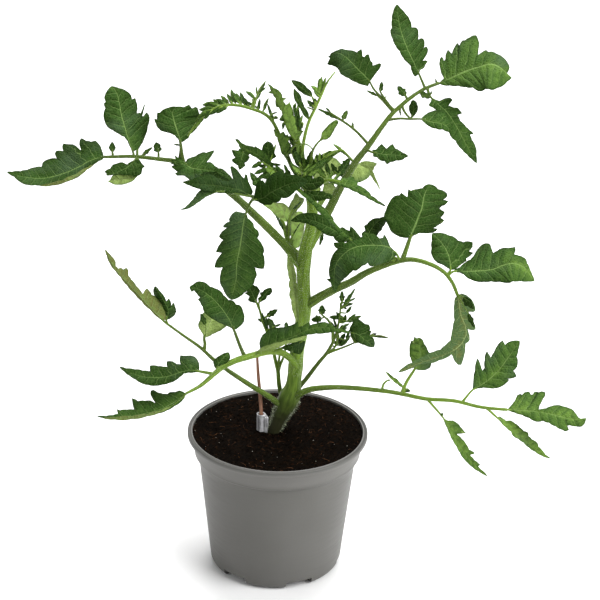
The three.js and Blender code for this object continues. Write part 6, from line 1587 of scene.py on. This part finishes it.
def soil_finish(name, dark, brown, rust):
    """Damp peat: nearly black, with brown and reddish crumbs."""
    f = Finish(name, IOR=1.4, Specular_IOR_Level=0.02)
    crumbs = f.clouds(f.place, 420, 4, 0.65)
    patches = f.clouds(f.place, 60, 2)
    fibres = f.clouds(f.stretch(f.place, (300, 1800, 700)), 1.0, 3)
    earth = f.blend(f.fade(crumbs, 0.4, 0.7), dark, brown)
    red_brown = f.times(f.fade(fibres, 0.56, 0.7), f.fade(patches, 0.4, 0.65))
    f.wear("Base Color", f.blend(red_brown, earth, rust))
    f.wear("Roughness", f.fade(crumbs, 0.3, 0.7, 0.7, 0.95))
    f.wear("Normal", f.bump(f.plus(crumbs, f.times(fibres, 0.6)), 0.0009))
    return f.material


def grain_finish(name, pale, dark, rough):
    """One small loose thing, such as a hair, a fibre or a white grain, with its colour varied."""
    f = Finish(name, IOR=1.4, Specular_IOR_Level=0.1)
    mix = f.clouds(f.place, 260, 3)
    f.wear("Base Color", f.blend(f.fade(mix, 0.35, 0.65), dark, pale))
    f.wear("Roughness", f.fade(f.clouds(f.place, 900, 2), 0.3, 0.7, rough - 0.1, rough + 0.1))
    f.wear("Normal", f.bump(f.clouds(f.place, 2400, 2), 0.0001, 0.5))
    return f.material


def stick_finish():
    """A peeled reddish stick: pinkish brown, with darker streaks along it."""
    f = Finish("reddish_stick_wood", IOR=1.45, Specular_IOR_Level=0.3)
    plan = f.attribute("plan")
    streaks = f.clouds(f.stretch(plan, (1.6, 1.6, 0.07)), 2.0, 4, 0.6)
    wood = f.blend(f.fade(streaks, 0.38, 0.62), (0.16, 0.06, 0.035), (0.36, 0.2, 0.13))
    f.wear("Base Color", wood)
    f.wear("Roughness", f.fade(streaks, 0.3, 0.7, 0.6, 0.8))
    f.wear("Normal", f.bump(streaks, 0.0003, 0.8))
    return f.material


def clip_finish():
    """Milky soft plastic, streaked upright where it creases."""
    f = Finish(
        "milky_clip_silicone", IOR=1.41, Specular_IOR_Level=0.5, Subsurface_Weight=0.25,
        Subsurface_Radius=(0.002, 0.002, 0.002),
    )
    streaks = f.clouds(f.stretch(f.place, (900, 900, 60)), 1.0, 3)
    cloudy = f.clouds(f.place, 320, 3)
    milk = f.blend(f.fade(streaks, 0.4, 0.62), (0.2, 0.2, 0.21), (0.58, 0.58, 0.6))
    milk = f.blend(f.fade(cloudy, 0.5, 0.7, 0.0, 0.5), milk, (0.75, 0.75, 0.76))
    f.wear("Base Color", milk)
    f.wear("Roughness", f.fade(cloudy, 0.3, 0.7, 0.28, 0.45))
    f.wear("Normal", f.bump(f.plus(streaks, f.times(cloudy, 0.5)), 0.0003, 0.6))
    return f.material


# What repeats over a surface

def scatter_tree(name, grain):
    """A tree that sets small grains over a surface. Its sizes are inputs, in metres."""
    tree = bpy.data.node_groups.new(name, "GeometryNodeTree")
    sockets = (
        ("Surface", "Geometry"), ("Density", "Float"), ("Least size", "Vector"), ("Greatest size", "Vector"),
        ("Tilt", "Float"), ("Seed", "Int"), ("Finish", "Material"),
    )
    for label, kind in sockets:
        tree.interface.new_socket(label, in_out="INPUT", socket_type="NodeSocket" + kind)
    tree.interface.new_socket("Grains", in_out="OUTPUT", socket_type="NodeSocketGeometry")
    given = grow(tree, "NodeGroupInput").outputs
    spread_out = grow(tree, "GeometryNodeDistributePointsOnFaces", {
        "Mesh": given["Surface"], "Density": given["Density"], "Seed": given["Seed"],
    }).outputs
    size = grow(tree, "FunctionNodeRandomValue", {
        0: given["Least size"], 1: given["Greatest size"], "Seed": given["Seed"],
    }, data_type="FLOAT_VECTOR").outputs[0]
    less = grow(tree, "ShaderNodeMath", {0: given["Tilt"], 1: -1.0}, operation="MULTIPLY").outputs[0]
    low = grow(tree, "ShaderNodeCombineXYZ", {0: less, 1: less, 2: -math.pi}).outputs[0]
    high = grow(tree, "ShaderNodeCombineXYZ", {0: given["Tilt"], 1: given["Tilt"], 2: math.pi}).outputs[0]
    lean = grow(tree, "FunctionNodeRandomValue", {
        0: low, 1: high, "Seed": given["Seed"],
    }, data_type="FLOAT_VECTOR").outputs[0]
    lean = grow(tree, "FunctionNodeEulerToRotation", {0: lean}).outputs[0]
    turn = grow(tree, "FunctionNodeRotateRotation", {
        "Rotation": spread_out["Rotation"], "Rotate By": lean,
    }, rotation_space="LOCAL").outputs[0]
    set_out = grow(tree, "GeometryNodeInstanceOnPoints", {
        "Points": spread_out["Points"], "Instance": grain(tree), "Rotation": turn, "Scale": size,
    }).outputs[0]
    real = grow(tree, "GeometryNodeRealizeInstances", {0: set_out}).outputs[0]
    flat = grow(tree, "GeometryNodeSetShadeSmooth", {"Geometry": real, "Shade Smooth": False}).outputs[0]
    done = grow(tree, "GeometryNodeSetMaterial", {"Geometry": flat, "Material": given["Finish"]}).outputs[0]
    grow(tree, "NodeGroupOutput", {"Grains": done})
    return tree


def hair_grain(tree):
    """A fine spike one unit long, standing on its foot."""
    return grow(tree, "GeometryNodeMeshCone", {
        "Vertices": 3, "Radius Top": 0.0, "Radius Bottom": 0.5, "Depth": 1.0,
    }, fill_type="NGON").outputs["Mesh"]


def crumb_grain(tree):
    """A rough crumb one unit across."""
    return grow(tree, "GeometryNodeMeshIcoSphere", {"Radius": 0.5, "Subdivisions": 1}).outputs["Mesh"]


def fibre_grain(tree):
    """A bent fibre one unit long, lying along its surface."""
    line = grow(tree, "GeometryNodeCurveQuadraticBezier", {
        "Resolution": 5, "Start": (-0.5, 0, 0), "Middle": (0.0, 0.35, 0.25), "End": (0.5, 0, 0.05),
    }).outputs[0]
    section = grow(tree, "GeometryNodeCurvePrimitiveCircle", {"Resolution": 3, "Radius": 0.04}).outputs[0]
    return grow(tree, "GeometryNodeCurveToMesh", {
        "Curve": line, "Profile Curve": section, "Fill Caps": True,
    }).outputs[0]


def scattered(name, surface, tree, material, density, least, greatest, tilt, seed):
    """Grains set over a copy of a surface, as a plain mesh of their own. Their sizes are in
    millimetres, and density counts them to the square metre."""
    thing = placed(name, surface.data.copy())
    change = thing.modifiers.new("grains", "NODES")
    change.node_group = tree
    values = {
        "Density": float(density), "Tilt": float(tilt), "Seed": seed, "Finish": material,
        "Least size": [MM * size for size in least], "Greatest size": [MM * size for size in greatest],
    }
    for socket in tree.interface.items_tree:
        if socket.in_out == "INPUT" and socket.name in values:
            change[socket.identifier] = values[socket.name]
    settled(thing)
    return thing


# Pot and soil

def arc(radius, height, size, start, end, steps):
    """[radius, height] pairs on an arc, its angles in degrees from the outward direction."""
    return [
        [radius + size * math.cos(math.radians(a)), height + size * math.sin(math.radians(a))]
        for a in (start + (end - start) * k / steps for k in range(steps + 1))
    ]


def outer_profile():
    """The pot's outer wall from the foot's centre up to the lip's top, as [radius, height]."""
    foot = []
    for k in range(1, 8):
        angle = k * math.pi / 14
        radius = FOOT_RADIUS + (BODY_FOOT_RADIUS - FOOT_RADIUS) * math.sin(angle)
        foot.append([radius, FOOT_ROUND * (1 - math.cos(angle))])
    body_rise = BAND_FOOT_HEIGHT - 2.2 - FOOT_ROUND
    body = [
        [BODY_FOOT_RADIUS + (BODY_TOP_RADIUS - BODY_FOOT_RADIUS) * k / 12, FOOT_ROUND + body_rise * k / 12]
        for k in range(1, 13)
    ]
    shoulder = [
        [BODY_TOP_RADIUS + 0.5, BAND_FOOT_HEIGHT - 1.3], [BODY_TOP_RADIUS + 1.6, BAND_FOOT_HEIGHT - 0.6],
        [BAND_FOOT_RADIUS - 0.7, BAND_FOOT_HEIGHT - 0.2], [BAND_FOOT_RADIUS - 0.15, BAND_FOOT_HEIGHT + 0.4],
        [BAND_FOOT_RADIUS, BAND_FOOT_HEIGHT + 1.2],
    ]
    lip_foot = POT_HEIGHT - LIP_DEPTH
    band_rise = lip_foot - 0.6 - BAND_FOOT_HEIGHT - 1.2
    band = [
        [BAND_FOOT_RADIUS + (BAND_TOP_RADIUS - BAND_FOOT_RADIUS) * (k / 6) ** 1.3,
         BAND_FOOT_HEIGHT + 1.2 + band_rise * k / 6]
        for k in range(1, 7)
    ]
    under_lip = [[BAND_TOP_RADIUS + 0.3, lip_foot - 0.15], [BAND_TOP_RADIUS + 1.2, lip_foot]]
    lip = arc(LIP_RADIUS - 0.6, lip_foot + 0.6, 0.6, -80, 0, 3)
    lip += arc(LIP_RADIUS - LIP_ROUND, POT_HEIGHT - LIP_ROUND, LIP_ROUND, 0, 90, 6)
    groove = [
        [LIP_GROOVE_RADIUS + LIP_GROOVE_REACH * k / 3,
         POT_HEIGHT - LIP_GROOVE_DEPTH * (0.5 + 0.5 * math.cos(math.pi * k / 3))]
        for k in range(3, -4, -1)
    ]
    bottom = [[0, 0], [FOOT_RADIUS * 0.5, 0], [FOOT_RADIUS, 0]]
    return bottom + foot + body + shoulder + band + under_lip + lip + groove


def inner_profile(gap):
    """The inside of the wall from the lip's inner edge down to the floor's centre."""
    inner = BAND_TOP_RADIUS - WALL - gap
    lip = arc(inner + LIP_INNER_ROUND, POT_HEIGHT - LIP_INNER_ROUND, LIP_INNER_ROUND, 90, 180, 4)
    return [
        *lip, [inner, POT_HEIGHT - LIP_DEPTH], [BAND_FOOT_RADIUS - WALL - gap, BAND_FOOT_HEIGHT + 1],
        [BODY_TOP_RADIUS - WALL - gap, BAND_FOOT_HEIGHT - 2],
        [BODY_FOOT_RADIUS - WALL - gap, FOOT_ROUND + 1], [FOOT_RADIUS - WALL - gap, FLOOR + gap],
        [0, FLOOR + gap],
    ]


def drain_blocks(extra):
    """A box for each drain pocket, grown all round by extra."""
    start = BODY_FOOT_RADIUS - DRAIN_REACH - extra
    half = DRAIN_WIDTH / 2 + extra
    return blocks_round("drain", (start, -half, -5), (BODY_FOOT_RADIUS + 10, half, DRAIN_RISE + extra))


def blocks_round(name, low, high):
    """A box at the same place of each drain pocket."""
    turns = [DRAIN_FIRST + k * math.tau / DRAIN_COUNT for k in range(DRAIN_COUNT)]
    return [block(name, low, high, turn) for turn in turns]


def merged(things):
    """Things joined as loose bodies of one mesh."""
    made = bmesh.new()
    for thing in things:
        made.from_mesh(thing.data)
        bpy.data.objects.remove(thing)
    return piece_of("merged", made)


def dressed(thing, material):
    """A thing with one finish."""
    thing.data.materials.clear()
    thing.data.materials.append(material)
    return thing


def pot(material):
    thing = turned("pot_shell", outer_profile() + [[0, POT_HEIGHT]], POT_SIDES)
    mouth = BAND_TOP_RADIUS - WALL + LIP_INNER_ROUND
    hollow = [[0, POT_HEIGHT + 5], [mouth, POT_HEIGHT + 5]] + inner_profile(0)
    cut(thing, turned("hollow", hollow, POT_SIDES))
    inside = [[0, POT_HEIGHT]] + inner_profile(-WALL / 2)
    pockets = cut(merged(drain_blocks(WALL)), turned("inside", inside, POT_SIDES), "INTERSECT")
    cut(thing, pockets, "UNION")
    cut(thing, merged(drain_blocks(0)))
    slot_at = BODY_FOOT_RADIUS - DRAIN_REACH + 3
    low = (slot_at - 1.5, -DRAIN_SLOT / 2, DRAIN_RISE - 2)
    cut(thing, merged(blocks_round("slot", low, (slot_at + 1.5, DRAIN_SLOT / 2, DRAIN_RISE + 4))))
    return dressed(soften(thing, 38), material)


def lumps(x, y, scale, height):
    return height * noise.fractal(Vector((x * scale, y * scale, 0.0)), 0.6, 2.1, 4)


def soil(material):
    """The soil as one body: its lumpy top, its wall, and the pockets that its foot stands round."""
    made = bmesh.new()
    rings = []
    for k in range(SOIL_RINGS + 1):
        r = SOIL_RIM_RADIUS * k / SOIL_RINGS
        ring = []
        for n in range(SOIL_SPOKES if k else 1):
            x, y = r * math.cos(n * math.tau / SOIL_SPOKES), r * math.sin(n * math.tau / SOIL_SPOKES)
            calm = 1 - 0.6 * (r / SOIL_RIM_RADIUS) ** 8
            z = SOIL_HEIGHT - SOIL_SWELL * (r / SOIL_RIM_RADIUS) ** 2
            z += calm * (lumps(x, y, 0.05, 1.1) + lumps(x, y, 0.33, 0.75) + abs(lumps(x, y, 0.8, 0.5)) - 0.4)
            ring.append(made.verts.new((x * MM, y * MM, z * MM)))
        rings.append(ring)
    wall = [p for p in inner_profile(GAP) if p[1] < SOIL_HEIGHT - SOIL_SWELL - 2]
    rings += [ring_at(made, radius, height, SOIL_SPOKES) for radius, height in wall]
    for low, high in zip(rings, rings[1:]):
        for n in range(SOIL_SPOKES):
            far = [high[n % len(high)], high[(n + 1) % len(high)]]
            corners = [low[n % len(low)], *far, low[(n + 1) % len(low)]]
            made.faces.new(list(dict.fromkeys(corners)))
    bmesh.ops.recalc_face_normals(made, faces=made.faces)
    thing = cut(piece_of("soil_body", made), merged(drain_blocks(WALL + GAP)))
    return dressed(soften(thing, 60), material)


def surface_of(things, keep):
    """A copy of some things with only the faces that keep asks for."""
    made = bmesh.new()
    for thing in things:
        made.from_mesh(thing.data)
    spare = [face for face in made.faces if not keep(face)]
    bmesh.ops.delete(made, geom=spare, context="FACES")
    return piece_of("surface", made)


# Stick and clip

def clip_section():
    """The clip seen from above, in millimetres: a ring with a short flat tab."""
    half = CLIP_TAB_THICKNESS / 2
    start = math.asin(half / CLIP_RADIUS)
    turns = [start + (math.tau - 2 * start) * k / CLIP_SIDES for k in range(CLIP_SIDES + 1)]
    ring = [(CLIP_RADIUS * math.cos(a), CLIP_RADIUS * math.sin(a)) for a in turns]
    tip = CLIP_TAB
    return ring + [
        (tip - 0.9, -half), (tip - 0.25, -half + 0.25), (tip, -half + 0.9), (tip, half - 0.9),
        (tip - 0.25, half - 0.25), (tip - 0.9, half),
    ]


def clip(material):
    """The clip's sleeve with its bore, its top edge lower towards the tab's end."""
    foot = spots(CLIP_FOOT) / MM
    made = bmesh.new()
    turns = [-k * math.tau / CLIP_SIDES for k in range(CLIP_SIDES)]
    bore = [(CLIP_BORE * math.cos(a), CLIP_BORE * math.sin(a)) for a in turns]

    def ring_of(outline, level):
        ring = []
        for x, y in outline:
            top = CLIP_HEIGHT - CLIP_FALL * max(0, x - CLIP_FALL_START) ** 1.4
            z = -CLIP_SINK + (top + CLIP_SINK) * level / CLIP_LEVELS
            wave = 1 + 0.015 * math.sin(5 * math.atan2(y, x) + level)
            ring.append(made.verts.new((x * wave * MM, y * wave * MM, z * MM)))
        return ring

    outside = [ring_of(clip_section(), level) for level in range(CLIP_LEVELS + 1)]
    inside = [ring_of(bore, level) for level in range(CLIP_LEVELS + 1)]
    for rings in (outside, inside):
        for low, high in zip(rings, rings[1:]):
            for k in range(len(low)):
                n = (k + 1) % len(low)
                made.faces.new((low[k], low[n], high[n], high[k]))
    for at in (-1, 0):
        edges = [
            made.edges.get((ring[k], ring[(k + 1) % len(ring)]))
            for ring in (outside[at], inside[at]) for k in range(len(ring))
        ]
        bmesh.ops.triangle_fill(made, edges=edges, use_beauty=True)
    bmesh.ops.recalc_face_normals(made, faces=made.faces)
    made.transform(Matrix.Translation(Vector(foot) * MM) @ Matrix.Rotation(CLIP_TURN, 4, "Z"))
    return soften(dressed(piece_of("clip_sleeve", made), material), 50, 0.35, 3)


def stick(material):
    shell = Shell()
    path = curve(spots(STICK["route"]), 60)

    def knots(angle, run):
        return 1 + 0.05 * np.cos(3 * angle + run * 40) + 0.07 * np.sin(run * 260) * np.sin(run * 91)

    tube(shell, path, spread(STICK["width"], 60) / 2 * MM, 16, 0.5, knots)
    return shell.piece("reddish_stick", [material])


# Stem

def stem(material):
    """The main stem: soft ribs along it, a swelling at each leaf, and small bumps at its foot."""
    shell = Shell()
    steps = 240
    path = curve(spots(MAIN_STEM["route"]), steps)
    radii = spread(MAIN_STEM["width"], steps) / 2 * MM
    run = run_of(path)
    for leaf in LEAVES:
        root = spots(leaf["route"][0])
        gap = np.linalg.norm(path - root, axis=1)
        at = run[int(gap.argmin())]
        if gap.min() < 0.012 and leaf["width"][0] > 3:
            radii = radii * (1 + 0.1 * np.exp(-(((run - at) / 0.007) ** 2)))
    foot_bumps = [(rng.uniform(0, math.tau), rng.uniform(0.004, 0.03)) for _ in range(36)]

    def ribs(angle, along):
        wide = 1 + 0.035 * np.cos(5 * angle + along * 12) + 0.02 * np.cos(2 * angle - along * 30)
        for turn, place in foot_bumps:
            off = np.angle(np.exp(1j * (angle - turn)))
            wide = wide + 0.09 * np.exp(-((off / 0.22) ** 2) - ((along - place) / 0.0011) ** 2)
        return wide

    tube(shell, path, radii, 36, MAIN_STEM["skin"], ribs)
    return shell.piece("green_main_stem", [material])


# Stage, light and eye

def stage():
    made = bmesh.new()
    bmesh.ops.create_circle(made, cap_ends=True, segments=96, radius=4.0)
    f = Finish("pale_floor", Specular_IOR_Level=0.1)
    f.wear("Base Color", f.blend(f.clouds(f.place, 3, 2), (0.9, 0.9, 0.9), (0.92, 0.92, 0.92)))
    f.wear("Roughness", f.fade(f.clouds(f.place, 8, 2), 0.3, 0.7, 0.8, 0.9))
    dressed(piece_of("floor", made), f.material)


def lamp(name, place, aim, size, power):
    data = bpy.data.lights.new(name, "AREA")
    data.shape = "DISK"
    data.size = size
    data.energy = power
    thing = bpy.data.objects.new(name, data)
    thing.location = place
    thing.rotation_euler = (Vector(aim) - Vector(place)).to_track_quat("-Z", "Y").to_euler()
    bpy.context.collection.objects.link(thing)


def lights():
    world = bpy.data.worlds.new("pale_studio")
    world.use_nodes = True
    background = world.node_tree.nodes["Background"]
    background.inputs[0].default_value = (1, 1, 1, 1)
    background.inputs[1].default_value = WORLD_LIGHT
    bpy.context.scene.world = world
    lamp("right_softbox", (1.3, -0.7, 1.3), (0, 0, 0.2), 1.5, RIGHT_LIGHT)
    lamp("left_softbox", (-1.4, -0.9, 1.1), (0, 0, 0.2), 1.1, LEFT_LIGHT)
    lamp("top_softbox", (0.1, 0.5, 1.7), (0, 0, 0.2), 1.2, TOP_LIGHT)
    lamp("far_floor_softbox", (0, 1.9, 1.2), (0, 1.9001, 0), 1.5, FAR_FLOOR_LIGHT)


def eye():
    data = bpy.data.cameras.new("eye")
    data.lens = LENS_LENGTH
    data.sensor_width = SENSOR_WIDTH
    thing = bpy.data.objects.new("eye", data)
    columns = np.stack([RIGHT, UP, -AHEAD, EYE * MM], axis=1)
    thing.matrix_world = Matrix([*columns.tolist(), [0, 0, 0, 1]])
    bpy.context.collection.objects.link(thing)
    bpy.context.scene.camera = thing


# Powers of the lights
WORLD_LIGHT = 0.32
RIGHT_LIGHT = 43
LEFT_LIGHT = 6
TOP_LIGHT = 35
FAR_FLOOR_LIGHT = 20

bpy.context.scene.view_settings.view_transform = "Standard"
eye()
lights()
stage()

skin = stalk_finish()
upper = leaflet_finish("leaflet_upper_face", UPPER_GREENS, UPPER_VEIN, 0.68, -1.0, UPPER_PAINTED_SHEEN, 0.3)
under_face = leaflet_finish("leaflet_under_face", UNDER_GREENS, UNDER_VEIN, 0.6, 0.8, UNDER_PAINTED_SHEEN, 1.0)
plastic = pot_finish()
earth = soil_finish("damp_peat", *PEAT)
crumb_earth = soil_finish("peat_crumbs", *LOOSE_PEAT)
fibre_brown = grain_finish("peat_fibres", (0.1, 0.045, 0.02), (0.03, 0.013, 0.006), 0.8)
white_grain = grain_finish("white_grains", (0.6, 0.58, 0.52), (0.3, 0.28, 0.24), 0.8)
down = grain_finish("white_down", (0.75, 0.8, 0.62), (0.5, 0.58, 0.36), 0.55)

# What stands in for each node of the frame, with the slot of its finish
pot_piece, soil_piece, stem_piece = pot(plastic), soil(earth), stem(skin)
pieces = {
    "pot": (pot_piece, "pot_plastic"),
    "soil": (soil_piece, "soil"),
    "main_stem": (stem_piece, "stem_green"),
    "support_stick": (stick(stick_finish()), "stick_wood"),
    "graft_clip": (clip(clip_finish()), "clip_silicone"),
}
for leaf in LEAVES:
    shell = Shell()
    young = leaf["name"].startswith("young") or leaf["name"] == "growing_tip"
    shoot = leaf["name"].startswith("side_shoot")
    tone = YOUNG_TONE if young else SHOOT_TONE if shoot else LEAF_TONE
    frond(shell, leaf, tone=tone, skin=tone)
    piece = shell.piece("leafy_" + leaf["name"], [skin, upper, under_face])
    pieces[leaf["name"]] = (piece, "young_green" if young or shoot else "leaf_green")

for node, (piece, slot_name) in pieces.items():
    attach(piece, "root")
    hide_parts(node)

# Where the loose and downy things sit, in metres above the ground
soil_top = surface_of([soil_piece], lambda face: face.normal.z > 0.3 and face.calc_center_median().z > 0.09)
stem_above = surface_of([stem_piece], lambda face: face.calc_center_median().z > 0.15)
stem_foot = surface_of(
    [stem_piece], lambda face: face.calc_center_median().z < 0.128 and abs(face.normal.x) > 0.75,
)
leafy = [pieces[leaf["name"]][0] for leaf in LEAVES]
stalks = surface_of(leafy, lambda face: face.material_index == SKIN)
pale_leaves = surface_of([pieces[name][0] for name in ("leaf_pale", "leaf_folded")], lambda face: True)
crumb_tree = scatter_tree("soil_crumbs", crumb_grain)
fibre_tree = scatter_tree("soil_fibres", fibre_grain)
hair_tree = scatter_tree("stem_down", hair_grain)

# Each one's name, surface, tree, finish, number to the square metre, least and greatest sizes in
# millimetres, tilt and seed
grains = [
    ("soil_crumbs", soil_top, crumb_tree, crumb_earth, 330000, (0.6, 0.5, 0.4), (1.9, 1.6, 1.2), 0.9, 3),
    ("soil_fibres", soil_top, fibre_tree, fibre_brown, 16000, (2, 1.6, 1.2), (6, 4, 3), 0.35, 5),
    ("soil_white_grains", soil_top, crumb_tree, white_grain, 5000, (0.3, 0.3, 0.2), (0.8, 0.7, 0.5), 1.2, 8),
]
hairs = [
    ("stem_down", stem_above, hair_tree, down, 1300000, (0.07, 0.07, 0.6), (0.13, 0.13, 1.6), 0.6, 11),
    ("stem_foot_down", stem_foot, hair_tree, down, 900000, (0.09, 0.09, 1.4), (0.15, 0.15, 3), 0.7, 12),
    ("stalk_down", stalks, hair_tree, down, 700000, (0.06, 0.06, 0.5), (0.1, 0.1, 1.3), 0.6, 13),
]
leaf_hairs = [
    ("pale_leaf_down", pale_leaves, hair_tree, down, 900000, (0.05, 0.05, 0.4), (0.09, 0.09, 1), 0.6, 14),
]
groups = (("soil", grains), ("stem_green", hairs), ("leaf_green", leaf_hairs))
loose = [(scattered(*things), slot_name) for slot_name, group in groups for things in group]
for surface in (soil_top, stem_above, stem_foot, stalks, pale_leaves):
    bpy.data.objects.remove(surface)
for piece, slot_name in loose:
    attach(piece, "root")
